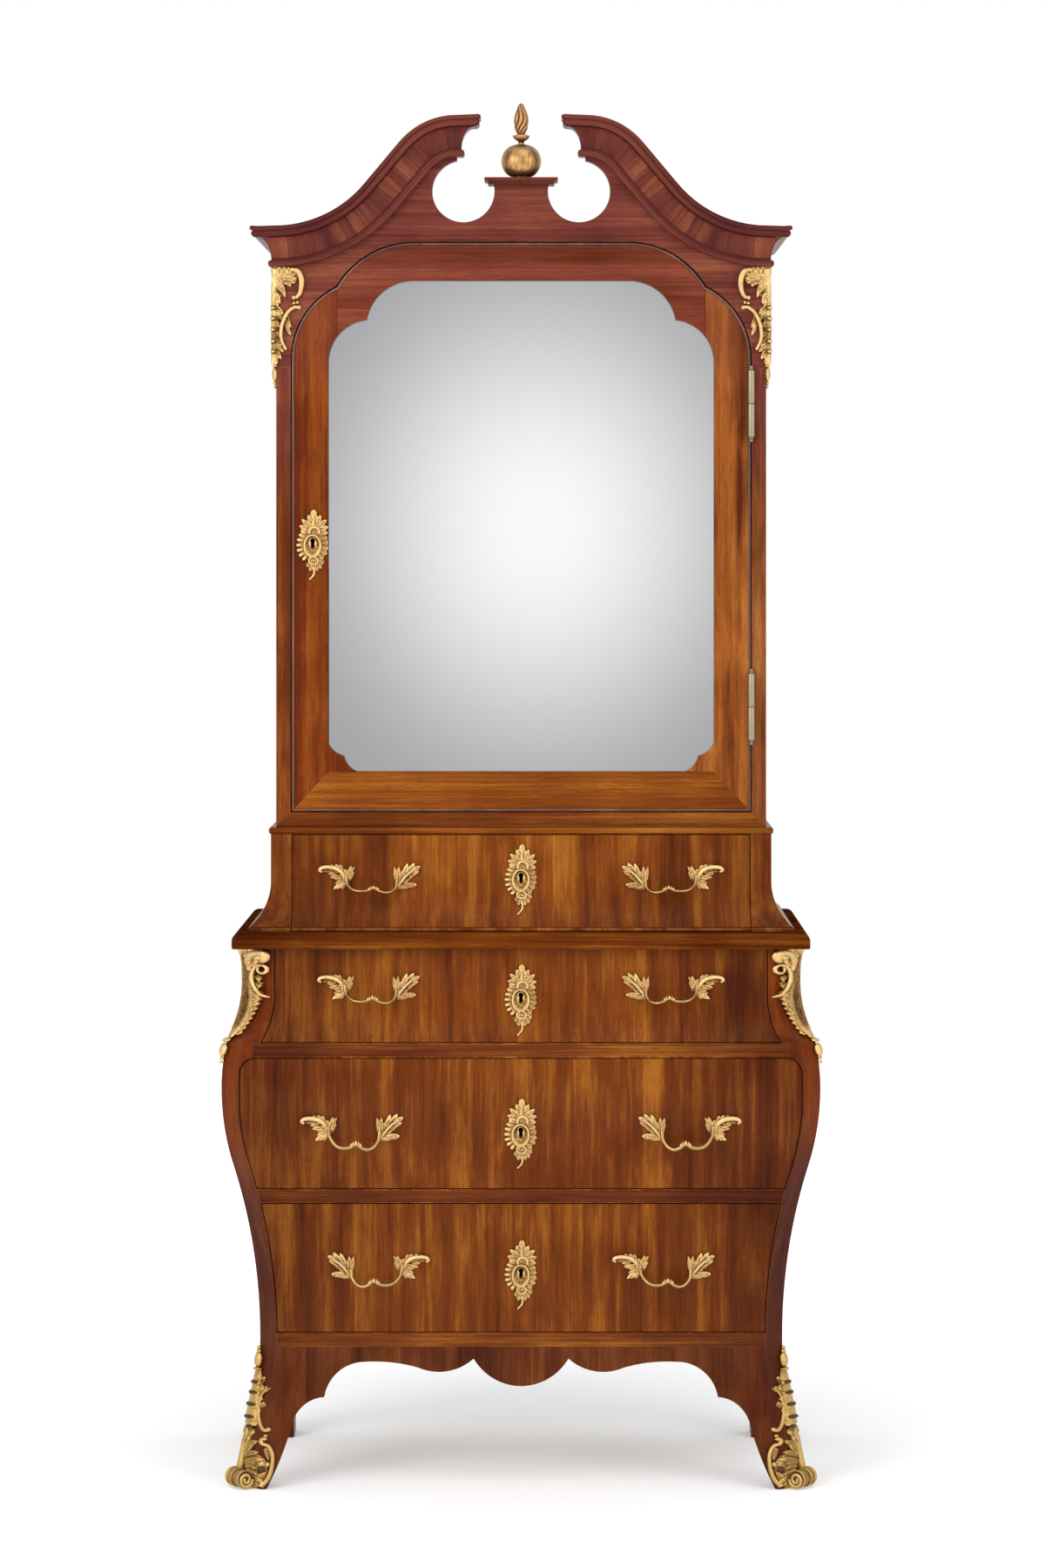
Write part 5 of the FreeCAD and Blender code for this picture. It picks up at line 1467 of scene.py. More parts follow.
def pull_relief(stand: float) -> Relief:
    """Leaf clusters of one pull and the knot of its bail, drawn for the left hand from the knot.

    Args:
        stand: How far the knot stands off the ground, in millimetres.

    Returns:
        The leaves and the knot.
    """
    leaves = Relief()
    leaves.tube([(-42.5, 12, 4), (-47.5, 23, 5.4), (-54, 29.5, 6.2), (-63.5, 32.7, 6.8), (-73, 33.4, 7.4),
                 (-80.5, 31.8, 7.8), (-83, 28, 7.4), (-79.5, 25.4, 6.4)],
                [2.4, 3.2, 3.8, 3.7, 3.4, 3.2, 2.8, 2.0], 0.8, 10, 4)
    leaves.lobes((((-47, 20), (-66.5, 16.2), 3.9), ((-54, 26.5), (-69.5, 21.8), 3.7),
                  ((-63, 30), (-76.5, 26), 3.2), ((-45, 14), (-60, 14.4), 3.2)), 4.4, 2.4, -0.4)
    leaves.lobes((((-47, 21), (-43.2, 30.5), 3.4), ((-50, 25), (-50, 37.2), 4.0),
                  ((-55, 29), (-57.5, 38), 4.0), ((-62, 31), (-66, 37.4), 3.8)), 4.2, 2.4, 0.3)
    leaves.lobes((((-40, 12), (-33, 35.5), 3.8), ((-39, 15), (-27.2, 34.6), 3.2),
                  ((-38, 13), (-28.4, 25), 3.4), ((-38.5, 10), (-30.2, 19.5), 3.0),
                  ((-41, 14), (-41.5, 30), 3.2)), 4.4, 2.6)
    leaves.lobes((((-41, 8), (-61.5, -2), 4.4), ((-42, 7), (-48, -3), 3.0), ((-44, 7), (-54.4, -2.2), 3.4),
                  ((-43, 9), (-59, 7), 3.6)), 4.2, 2.0, 0.3)
    leaves.lobes((((47, 9), (58, 39.2), 4.6), ((53, 17), (69, 40), 4.6), ((59, 23), (78, 34.8), 4.8),
                  ((57, 19), (76, 26.4), 4.2), ((50, 11), (68, 21), 4.0), ((45, 6), (52.5, 25), 4.4)),
                 4.4, 2.4)
    leaves.tube([(43, 3.5, 4.6), (49, 11.3, 6.6), (55, 18.6, 7.4), (62.5, 25.4, 7.8), (72, 32, 7.6)],
                [2.2, 2.0, 1.9, 1.7, 0.9], 0.9, 8, 4)
    leaves.lobes((((42, 5), (36.4, 34), 3.6), ((43, 7), (43.6, 34.6), 3.6), ((42, 6), (35.6, 26.4), 3.0),
                  ((41.5, 5), (37, 19.5), 2.8), ((44, 7), (48.6, 27), 3.2)), 4.4, 2.6)
    leaves.lobes((((42, 0.5), (60, 14), 3.8), ((43, 1), (71.5, 6.8), 4.0), ((43, 0), (69.5, 1.6), 3.2),
                  ((42, -1.5), (58.5, -0.5), 3.0)), 4.2, 2.0, -0.2)
    leaves.bead((70, 4.6, 4.6), 2.6)
    leaves.bead((3.6, -0.8, stand), (2.5, 4.7, 4.4))
    for hand in (-1, 1):
        leaves.bead((3.6 + 4.6 * hand, -2.4, stand), (1.5, 4.9, 4.6))
        leaves.bead((3.6 + 7.4 * hand, -4.2, stand), (2.0, 3.6, 3.6))
    return leaves


def bail_relief(stand: float) -> Relief:
    """Bail of one pull.

    Args:
        stand: How far its middle stands off the ground, in millimetres.

    Returns:
        The bail.
    """
    bail = Relief()
    left = [(-41.5, 20, 5), (-39, 7, 0.42 * stand), (-33.5, -1, 0.7 * stand), (-26.5, -6.4, 0.9 * stand),
            (-17, -8.6, stand), (-7, -7.6, stand), (-1, -4.4, stand), (3.5, -0.6, stand)]
    right = [(3.5, -0.6, stand), (8.5, -4.8, stand), (13.8, -8.6, stand), (22, -11.2, 0.95 * stand),
             (29.8, -9.4, 0.8 * stand), (35.6, -4.6, 0.6 * stand), (39.4, 1.8, 0.42 * stand), (40.6, 12, 5)]
    bail.tube(left, [3.4, 3.0, 2.8, 2.8, 2.9, 3.0, 3.0, 2.6], 1.0, 10, 6)
    bail.tube(right, [2.6, 3.0, 3.0, 2.9, 2.8, 2.8, 3.0, 3.4], 1.0, 10, 6)
    return bail


def escutcheon_relief() -> Relief:
    """Draw a pierced keyhole plate from the eye of its keyhole.

    Returns:
        The plate.
    """
    plate = Relief()
    plate.cap(plate_ground(), None, True)
    for turn, long in ((-14, 15), (14, 16), (42, 19), (68, 20), (112, 20), (138, 20), (164, 18), (190, 15)):
        way = math.radians(turn)
        plate.petal((2.5 + 7 * math.cos(way), 17 + 6 * math.sin(way)), way, long, 4.2, 3.2, 2.2)
    plate.leaf((1, 24), (2, 50), 13, 0.05, 2, 3.6, 1.5, 1.5)
    plate.tube(oval((2.5, 13.5), (8.0, 8.4), 4.6, 17, (-0.25, math.pi + 0.25)), 2.5, 1.25, 8)
    plate.tube(oval((-0.5, -8.3), (13.0, 17.2), 3.4, 41), 2.0, 1.3, 8)
    plate.cap(key_boss(), None, True)
    for u, v, turn in ((-14.5, 15, 140), (-17.5, 8, 158), (-20, 1, 172), (-21, -7, 180), (-20.3, -14.8, 194),
                       (-17.4, -21.6, 212), (-12.4, -27, 232)):
        gadroon(plate, u, v, turn, 10.5, 6.6)
    for u, v, turn, long in ((14, 11, 40, 11), (17, 4, 18, 11), (18.5, -3, 0, 11), (18, -10.5, -16, 12),
                             (16.5, -17.5, -30, 12), (12, -24, -46, 12)):
        way = math.radians(turn)
        plate.leaf((u - 3 * math.cos(way), v - 3 * math.sin(way)),
                   (u + (long - 4) * math.cos(way), v + (long - 4) * math.sin(way)),
                   9, -0.2, 2, 3.0, 1.6, 0.5)
    plate.tube(oval((1, -32), (7.2, 5.6), 3.0, 25), 1.7, 1.2, 8)
    for u in (-2.2, 1.0, 4.2):
        plate.bead((u, -32, 2.2), (1.3, 3.2, 1.6))
    for root, tip, width in (((-4, -34), (-10, -42), 8), ((-1, -38), (-5, -49), 8), ((4, -38), (7.5, -49), 8),
                             ((7, -36), (14, -45), 9), ((9, -31), (18, -37), 9)):
        plate.leaf(root, tip, width, 0.0, 2, 3.0, 1.0, 0.5)
    plate.tube([(1, -42, 1.8), (2.5, -50, 2.0), (0.6, -56, 2.0), (-4, -61, 1.8)],
               [2.2, 2.0, 1.9, 1.4], 1.0, 8, 5)
    plate.bead((-4.4, -61.5, 1.8), (2.0, 2.0, 1.8))
    return plate


def plate_ground() -> np.ndarray:
    """Draw the keyhole plate's ground.

    Returns:
        Its grid, from the boss out to its waved edge.
    """
    edge = np.array([(22, -4), (20, 8), (15, 16), (17, 25), (13, 32), (5, 35), (1, 40), (-5, 34), (-13, 31),
                     (-16, 24), (-13, 16), (-19, 8), (-21, -5), (-19, -16), (-15, -24), (-10, -29), (-6, -38),
                     (1, -44), (7, -40), (12, -34), (14, -28), (19, -18), (22, -4)], float)
    run, _ = rounded_run(np.column_stack([edge, np.zeros(len(edge))]), np.ones(len(edge)), 3)
    run = run[:-1]
    angles = np.arctan2(run[:, 1] + 8.5, run[:, 0])
    inner = np.stack([11.5 * np.cos(angles), -8.3 + 15.5 * np.sin(angles)], 1)
    return between(inner, run[:, :2], ((0.0, 1.2), (0.5, 1.8), (0.86, 1.6), (1.0, 0.8)))


def key_boss() -> np.ndarray:
    """Draw a dished oval boss pierced by a keyhole.

    Returns:
        Its grid, from the hole's edge to the oval's edge.
    """
    angles = np.linspace(0, 2 * math.pi, 49)[:-1]
    ways = np.stack([np.cos(angles), np.sin(angles)], 1)
    hole = np.array([way * 3.9 if way[1] > -0.62 else keyhole_foot(way) for way in ways])
    edge = np.stack([-0.5 + 12.0 * ways[:, 0], -8.3 + 16.2 * ways[:, 1]], 1)
    return between(hole, edge, ((0.0, 0.4), (0.02, 3.0), (0.12, 3.4), (0.45, 3.1), (0.75, 3.3), (1.0, 4.2)))


def keyhole_foot(way: np.ndarray) -> np.ndarray:
    """Find the edge of the slot below the keyhole's eye.

    Args:
        way: Direction from the eye.

    Returns:
        The point on the edge in that direction.
    """
    half, drop = 2.8, 13.5
    by_side = half / max(abs(way[0]), 1e-6)
    by_foot = drop / max(-way[1], 1e-6)
    return way * min(by_side, by_foot)


def gadroon(relief: Relief, u: float, v: float, turn: float, long: float, wide: float) -> None:
    """Add one swelling lobe that points away from the plate's middle.

    Args:
        relief: The casting that takes it.
        u: Its place across.
        v: Its place up.
        turn: Its heading in degrees.
        long: Its length.
        wide: Its width.
    """
    way = math.radians(turn)
    along = np.array((math.cos(way), math.sin(way)))
    steps = (-0.55, -0.2, 0.15, 0.4, 0.55)
    path = [(u + along[0] * long * s, v + along[1] * long * s, 1.6 + 0.6 * s) for s in steps]
    relief.tube(path, [0.22 * wide, 0.36 * wide, 0.48 * wide, 0.42 * wide, 0.16 * wide], 0.75, 8, 3)


def cabinet_mount_relief() -> Relief:
    """Draw the cabinet's left corner mount: u inwards from the arris, v up from its top edge.

    Returns:
        The mount.
    """
    mount = Relief()
    edge = ((-0.5, 21), (-3, 27), (-7, 34), (-14, 36), (-23, 35), (-27, 27), (-30, 17), (-34, 12), (-41, 10),
            (-46, 12), (-50, 6), (-60, 6), (-65, 3), (-70, 6), (-75, 11), (-83, 11), (-91, 7), (-105, 5.5),
            (-119, 7.5), (-130, 10), (-136, 7.5), (-145, 7), (-149, 3), (-156, 1.5))
    shares = np.linspace(0.0, 1.0, 12)
    rows = []
    for level, right in edge:
        across = -8.5 + (right + 8.5) * shares
        stand = 3.2 + 5.2 * np.exp(-((across + 2.5) / 5.5) ** 2)
        rows.append(level_row(across, level, stand * np.where(shares == 1.0, 0.5, 1.0)))
    mount.cap(np.array(rows))
    for u, tip, lift in ((-8, -1, 5.0), (-1.5, 0, 5.5), (5.5, 0.4, 4.0), (13, 0.2, 2.8), (20.5, -0.6, 2.6)):
        mount.lobes((((u + 1, -15), (u, tip), 4.8),), 3.4, lift)
    mount.lobes((((1, -13), (15.5, -49), 4.2), ((-1, -26), (12.6, -42), 4.0), ((-3, -36), (7, -59), 4.0),
                 ((-5, -44), (3.6, -65), 4.0), ((0, -12), (10, -36), 4.2), ((-6, -30), (-1, -62), 4.4)),
                4.0, 2.6, -0.3)
    mount.lobes((((2, -13), (23, -30), 4.8), ((8, -13), (33, -11), 4.4), ((9, -17), (34, -19), 4.4),
                 ((12, -20), (31, -26), 3.8)), 3.6, 2.4, 0.3)
    mount.bead((16.5, -26.5, 6.0), 2.2)
    mount.bead((22.5, -29.5, 5.6), 2.8)
    mount.tube([(24, -3.5, 4.4), (35, -7, 5.4), (40.6, -18, 5.8), (41, -31, 5.6), (38, -43, 5.0),
                (32, -50, 4.4)], [3.4, 4.8, 4.9, 4.4, 3.6, 2.8], 0.8, 12, 6)
    mount.bead((28.6, -49.5, 4.8), 3.8)
    for u, v in ((28.8, -58.4), (34.2, -57.2)):
        mount.bead((u, v, 3.0), 2.8)
    mount.tube([(36.5, -65, 4.2), (28.8, -65.4, 4.8), (20.5, -71.6, 5.6), (14.2, -81.5, 6.2), (9.6, -94, 6.6),
                (8, -108, 6.6), (9.6, -119.5, 6.0), (15, -131, 4.6)],
               [2.8, 3.0, 3.2, 3.3, 3.3, 3.2, 2.9, 2.6], 1.0, 10, 5)
    mount.bead((37.2, -65.4, 4.2), 3.8)
    mount.bead((15.2, -131.4, 4.6), 3.0)
    mount.lobes((((18, -77), (23.4, -98), 3.2), ((15, -90), (23.6, -110), 3.6), ((15, -84), (21, -101), 3.4)),
                3.2, 1.6, 0.4)
    mount.lobes((((-2, -62), (12, -76), 4.0), ((-3, -70), (12, -86), 3.8), ((-3, -84), (6.5, -97), 3.4),
                 ((-3, -100), (7, -113), 3.4), ((-3, -113), (9, -127), 3.4), ((-3, -121), (12, -136.5), 3.8),
                 ((-4, -130), (8.6, -148), 3.8), ((-5, -138), (2.4, -157), 3.6)), 3.0, 3.0, -0.3)
    for v in BOSSES:
        mount.bead((-0.6, v, 8.6), (2.6, 2.6, 2.0))
    mount.bead((-3, -159, 2.0), (6.6, 2.4, 5.6))
    mount.bead((-3, -172.5, 2.0), (6.0, 12.5, 5.6))
    mount.bead((-3, -187, 2.0), 3.2)
    mount.bead((-3, -193, 2.0), 2.6)
    return mount


def cabinet_mount_pits() -> Relief:
    """Draw dark rings set round the bosses of the cabinet's corner mount, painted shade where the bosses
    stand out.

    Returns:
        The rings.
    """
    shade_marks = Relief()
    for v in BOSSES:
        shade_marks.tube(oval((-0.6, v), (3.2, 3.2), 8.3, 17), 0.9, 0.9, 6)
        shade_marks.tube([(-9, v, 4.0), (-6, v, 8.6), (-4, v, 8.8)], 1.3, 1.0, 6, 2)
    return shade_marks


def chest_mount_relief() -> Relief:
    """Draw the chest's left corner mount: u inwards from the side, v up from the floor.

    Returns:
        The mount.
    """
    mount = Relief()
    body = ((861, 25, 22), (855, 22, 18), (846, 18, 14.5), (834, 16, 12.5), (818, 15, 12), (800, 14, 12),
            (784, 18, 12), (768, 18, 11.5), (752, 17, 10.5), (740, 14, 9), (730, 10, 7), (720, 5, 4.5))
    swell = np.array((0.72, 0.95, 1.0, 0.9, 0.72, 0.7, 0.76, 0.95, 1.0, 0.85, 0.55))
    shares = np.linspace(0.0, 1.0, len(swell))
    mount.cap(np.array([level_row(-8 + (edge + 8) * shares, level, stand * swell)
                        for level, edge, stand in body]))
    mount.tube([(10, 826, 11), (10, 842, 14), (17, 853, 14.5), (26, 855.5, 12), (31.5, 850, 10), (30, 843, 9),
                (24, 841, 8)], [3.5, 5.4, 6.4, 6.6, 5.8, 4.6, 3.0], 0.85, 12, 5)
    mount.lobes((((6, 838), (17, 850), 4.6), ((11, 832), (24, 843), 4.4), ((4, 846), (12, 858), 4.6)),
                4.0, 11.0)
    mount.bead((21, 847.5, 11.0), (8.0, 6.0, 3.4))
    mount.tube(oval((27, 828.5), (6.6, 6.6), 7, 25), 2.5, 1.2, 8)
    mount.tube([(27, 835, 8), (19, 832, 10), (14.5, 822, 11.5), (14, 811, 11.5), (18, 799, 10.5),
                (26, 789, 8.5), (33, 785.5, 6.5), (37, 784.5, 6)],
               [2.4, 2.6, 2.8, 2.9, 2.8, 2.5, 1.9, 1.0], 1.1, 8, 5)
    mount.leaf((16, 806), (24, 800), 12, 0.2, 2, 3.0, 5.0, 0.0)
    mount.leaf((16, 815), (24, 811), 9, 0.2, 2, 3.0, 5.0, 0.0)
    for step in range(9):
        share = step / 8
        mount.petal((9 - 3 * share, 796 - 62 * share), math.radians(-42 - 22 * share), 21 - 9 * share,
                    5.6 - 1.2 * share, 5.5 - 2.0 * share, 5.0 - 3.0 * share, 0.55)
    for step in range(10):
        mount.petal((-2.0, 838 - 11 * step), math.radians(205), 9.0, 4.6, 5.0, 5.0, 0.4)
    mount.bead((19, 764, 10.0), (2.2, 2.2, 1.4))
    mount.bead((1, 716.5, 4.5), (6.0, 3.6, 5.6))
    mount.bead((0.5, 701, 4.5), (6.2, 11.0, 5.6))
    mount.bead((0, 687.5, 4.0), 3.2)
    mount.bead((0, 681.2, 4.0), 2.5)
    return mount


def stalk(level: float) -> tuple[float, float, float]:
    """Middle across, middle height and radius of the foot mount's stalk at a level."""
    rows = np.array(STALK[::-1])
    return tuple(float(np.interp(level, rows[:, 0], rows[:, column])) for column in (1, 2, 3))


def sabot_relief() -> Relief:
    """Draw the left foot mount: u inwards from the side, v up from the floor.

    Returns:
        The mount.
    """
    foot = Relief()
    foot.bead((2, 216.5, 4.0), 2.6)
    foot.bead((2, 211, 4.0), 3.2)
    foot.bead((2, 197, 4.0), (5.8, 12.5, 5.4))
    foot.bead((2.5, 183, 4.0), (7.6, 2.4, 6.4))
    foot.tube([(across, level, height) for level, across, height, _ in STALK],
              [row[3] for row in STALK], 0.7, 14, 4)
    for v in STALK_BANDS:
        half = stalk(v)[2]
        foot.bead((5 + 0.65 * half, v - 2, 7.6), 2.5)
        foot.lobes((((6, v - 2), (7.5 + half, v - 12), 3.0), ((3, v - 6), (8.5 + 0.6 * half, v - 13), 3.2)),
                   3.0, 4.0, -0.2)
        foot.lobes((((1, v - 3), (-3, v - 13), 3.0), ((3, v - 4), (2, v - 14), 3.0)), 2.4, 5.0, 0.2)
    foot.leaf((8, 160), (14, 172), 8, 0.1, 2, 3.0, 2.0)
    foot.leaf((12, 146), (27, 156), 9, 0.2, 3, 3.0, 3.0)
    foot.scroll([(24, 156), (15, 143), (14, 122), (20, 105), (29, 94), (34, 93)], (1.8, 2.6, 3.0), height=4.4)
    foot.bead((35, 94, 4.6), 3.8)
    foot.leaf((14, 124), (25, 132), 9, 0.12, 3, 3.0, 3.5)
    for v in (84, 79):
        foot.bead((33, v, 3.4), 2.8)
    foot.scroll([(31, 72), (40, 68), (48, 55), (49, 36), (44, 18), (34, 6)], (2.6, 3.6, 4.0), (0.6, 0.0), 3.6)
    foot.leaf((36, 66), (43, 46), 9, 0.12, 3, 3.0, 2.0)
    foot.bead((42, 40, 4.6), 4.6)
    edge = ((1, 28), (10, 37), (20, 42), (30, 44), (40, 44), (47, 38), (54, 30), (60, 19), (68, 14), (80, 12),
            (94, 12))
    shares = np.linspace(0.0, 1.0, 11)
    domed = np.where(shares == 1.0, 1.6, 3.0 + 2.2 * np.sin(math.pi * shares) ** 0.7)
    foot.cap(np.array([level_row(-5 + (right + 5) * shares, level, domed) for level, right in edge]))
    foot.lobes((((5, 74), (13, 88), 3.6), ((5, 62), (24, 75), 4.4), ((4, 66), (9, 80), 4.0),
                ((6, 50), (28, 58), 4.4), ((8, 40), (36, 49), 4.4), ((4, 52), (17, 68), 4.4)), 4.0, 3.6, -0.3)
    foot.lobes((((8, 38), (26, 40), 4.2), ((10, 33), (27, 32), 4.0), ((12, 28), (30, 22), 4.4),
                ((12, 22), (36, 14), 4.6), ((12, 16), (31, 6), 4.2), ((30, 20), (41, 28), 3.6)),
               3.6, 3.6, 0.3)
    foot.tube([(3, 98, 3), (2, 78, 3), (0, 57, 3), (-2, 38, 3.6), (-5, 24, 5)],
              [5.0, 4.6, 5.0, 6.5, 8.0], 0.8, 10, 4)
    foot.bead((35, 12, 5.0), 2.8)
    return foot


def sabot_shade_marks() -> Relief:
    """Draw dark wraps round the foot mount's stalk and a dark eye on its leaf, painted shade where the stalk
    is bound and in the leaf's eye.

    Returns:
        The wraps and the eye.
    """
    shade_marks = Relief()
    for v in STALK_BANDS:
        across, height, half = stalk(v)
        shade_marks.tube([(across + half * math.cos(a), v - 0.8 * a, height + 0.7 * half * math.sin(a) + 0.6)
                   for a in np.radians((150, 125, 100, 78, 58))], [1.6, 2.7, 3.0, 2.6, 1.3], 0.8, 8, 3)
    shade_marks.bead((34, 31, 4.4), (5.6, 7.0, 2.2))
    return shade_marks


@dataclass(frozen=True)
class ToeScroll:
    """Rolled toe of a foot mount: a ribbed drum round the corner with a spiral on each end."""

    radius: float = 15.6
    length: float = 40.0
    turns: float = 1.6
    band: float = 3.1
    swing: float = math.radians(34)
    lift: float = 0.6
    centre: Spot = (0.4500, -0.1965)

    def relief(self) -> Relief:
        """Draw the roll: u along it to its front end, v up from its middle, h out from the leg.

        Returns:
            The drum with its rings and spirals.
        """
        drum = Relief()
        steps = np.linspace(-0.5, 0.5, 13)
        waist = self.radius * (0.82 + 0.14 * (2 * steps) ** 2)
        drum.tube([(self.length * s, 0.0, 0.0) for s in steps], waist, 1.0, 28)
        for share in (-0.4, -0.08):
            ring = [(self.length * share, 0.9 * self.radius * math.sin(a), 0.9 * self.radius * math.cos(a))
                    for a in np.linspace(0.0, 2 * math.pi, 33)]
            self.bar(drum, ring, 1.3)
        angles = np.linspace(0.0, 2 * math.pi * self.turns, 64)
        for end in (-0.5, 0.5):
            coil = [(1.07 * end * self.length, arm * math.sin(a + math.pi), arm * math.cos(a + math.pi))
                    for a, arm in zip(angles, np.linspace(self.radius - self.band, 2.6, len(angles)))]
            self.bar(drum, coil, self.band)
        return drum

    def shade_grounds(self) -> Relief:
        """Draw a dark disc behind each spiral, painted shade inside the roll.

        Returns:
            The two grounds.
        """
        ground = Relief()
        for end in (-0.5, 0.5):
            ground.tube([(end * self.length * share, 0.0, 0.0) for share in (0.96, 1.03)],
                        0.88 * self.radius, 1.0, 24)
        return ground

    @staticmethod
    def bar(relief: Relief, line: Sequence[Sequence[float]], radius: float) -> None:
        """Add a round bar along a line in a plane across the roll.

        Args:
            relief: The casting that takes it.
            line: Points along its middle.
            radius: Its radius.
        """
        spots = np.asarray(line, float)
        angles = np.arange(8) * math.pi / 4
        way = np.gradient(spots, axis=0)
        way /= np.linalg.norm(way, axis=1, keepdims=True)
        along = np.array((1.0, 0.0, 0.0))
        side = np.cross(way, along)
        rings = spots[:, None] + radius * (np.cos(angles)[None, :, None] * side[:, None]
                                           + 0.8 * np.sin(angles)[None, :, None] * along)
        relief.add(rings.reshape(-1, 3), ring_faces(len(spots), 8))

    def place(self, points: np.ndarray) -> np.ndarray:
        """Set the roll at the toe of the left front leg.

        Args:
            points: Rows of u, v, h in millimetres.

        Returns:
            Rows of x, y, z in metres.
        """
        u, v, h = (points * MM).T
        x = self.centre[0] + h * math.cos(self.swing) - u * math.sin(self.swing)
        y = self.centre[1] - h * math.sin(self.swing) - u * math.cos(self.swing)
        return np.stack([-x, y, v + (self.radius + self.lift) * MM], 1)


# Parts that follow a path

def bead_tree() -> Modelling:
    """Set a round bead along each curve that comes in.

    Returns:
        The tree, with inputs Sides and Radius.
    """
    tree = Modelling("round_bead")
    ring = tree.node("GeometryNodeCurvePrimitiveCircle", None,
                     {"Resolution": tree.given("Sides", "NodeSocketInt"), "Radius": tree.given("Radius")})
    bar = tree.node("GeometryNodeCurveToMesh", None,
                    {"Curve": tree.start, "Profile Curve": ring, "Fill Caps": True})
    tree.end(tree.node("GeometryNodeSetShadeSmooth", None, {0: bar}))
    return tree


def moulding_tree() -> Modelling:
    """Run a drawn section along a level or rising path, with mitred ends.

    Returns:
        The tree, with inputs Section, Steps, Corners, Start Mitre and End Mitre.
    """
    tree = Modelling("mitred_moulding")
    drawn = tree.node("GeometryNodeObjectInfo", None, {"Object": tree.given("Section", "NodeSocketObject")},
                      "Geometry")
    steps = tree.given("Steps", "NodeSocketInt")
    corners = tree.given("Corners", "NodeSocketInt")
    first, last = tree.given("Start Mitre"), tree.given("End Mitre")
    grid = tree.node("GeometryNodeMeshGrid", None, {"Vertices X": steps, "Vertices Y": corners})
    index = tree.node("GeometryNodeInputIndex")
    row = (index / corners + 1e-4).floor()
    path = tree.node("GeometryNodeSampleCurve", {"mode": "FACTOR", "use_all_curves": True},
                     {"Curves": tree.start, "Factor": row / (steps - 1)}, "Position")
    heading = path.twin("Tangent")
    out = tree.vector("NORMALIZE", tree.vector("CROSS_PRODUCT", heading, (0.0, 0.0, 1.0)))
    rise = tree.vector("CROSS_PRODUCT", out, heading)
    corner = tree.node("GeometryNodeSampleIndex", {"data_type": "FLOAT_VECTOR"},
                       {"Geometry": drawn, "Value": tree.node("GeometryNodeInputPosition"),
                        "Index": index.modulo(corners)})
    stand = tree.node("ShaderNodeSeparateXYZ", None, {0: corner}, "X")
    slide = stand * (last * row.above(steps - 1.5) - first * (1 - row.above(0.5)))
    spot = path
    for way, length in ((out, stand), (rise, stand.twin("Y")), (heading, slide)):
        spot = tree.vector("ADD", spot, tree.vector("SCALE", way, None, length))
    shaped = tree.node("GeometryNodeSetPosition", None, {"Geometry": grid, "Position": spot})
    run = tree.node("GeometryNodeCurveLength", None, {0: tree.start}) * row / (steps - 1)
    tagged = tree.node("GeometryNodeStoreNamedAttribute", {"data_type": "FLOAT_VECTOR", "domain": "POINT"}, {
        "Geometry": shaped, "Name": "along",
        "Value": tree.node("ShaderNodeCombineXYZ", None, {0: run, 1: stand, 2: stand.twin("Y")})})
    tree.end(tagged)
    return tree


def nail_tree() -> Modelling:
    """Set a domed nail head at each point that comes in.

    Returns:
        The tree, with inputs Radius and Dome.
    """
    tree = Modelling("nail_heads")
    size = tree.given("Radius")
    head = tree.node("GeometryNodeMeshUVSphere", None, {"Segments": 10, "Rings": 6, "Radius": size})
    squash = tree.node("ShaderNodeCombineXYZ", None, {0: 1.0, 1: tree.given("Dome"), 2: 1.0})
    spots = tree.node("GeometryNodeMeshToPoints", None, {"Mesh": tree.start})
    heads = tree.node("GeometryNodeInstanceOnPoints", None,
                      {"Points": spots, "Instance": head, "Scale": squash})
    tree.end(tree.node("GeometryNodeSetShadeSmooth", None, {0: heads}))
    return tree


def joined(name: str, meshes: Sequence[bpy.types.Mesh], finish: Finish, sharp: float) -> bpy.types.Object:
    """Join meshes that share edges into one closed piece.

    Args:
        name: The object's name.
        meshes: The meshes, in one frame.
        finish: The piece's finish.
        sharp: Angle in degrees past which an edge stays sharp.

    Returns:
        The piece.
    """
    form = bmesh.new()
    for mesh in meshes:
        form.from_mesh(mesh)
    bmesh.ops.remove_doubles(form, verts=form.verts, dist=MITRE_WELD)
    bmesh.ops.holes_fill(form, edges=[edge for edge in form.edges if edge.is_boundary], sides=0)
    bmesh.ops.recalc_face_normals(form, faces=form.faces)
    result = bpy.data.meshes.new(name)
    form.to_mesh(result)
    form.free()
    result.materials.append(finish.material())
    smooth(result, sharp)
    return new_object(name, result)


def lathe(name: str, profile: Sequence[Spot], centre: Spot, finish: Finish,
          sides: int = 40) -> bpy.types.Object:
    """Turn a profile about an upright axis.

    Args:
        name: The object's name.
        profile: Radius and height of each corner in millimetres, from the foot up.
        centre: Where the axis is, x and y in metres.
        finish: Its finish.
        sides: How many sides it has.

    Returns:
        The turned piece.
    """
    rings = [level_ring(np.full(sides, radius), level) for radius, level in profile]
    return turned(name, rings, centre, finish, TURNED_ANGLE)


def level_ring(radius: np.ndarray, level: float) -> np.ndarray:
    """Points round an upright axis at one level, from a radius for each."""
    angles = np.arange(len(radius)) * 2 * math.pi / len(radius)
    return np.stack([radius * np.cos(angles), radius * np.sin(angles), np.full(len(radius), level)], 1)


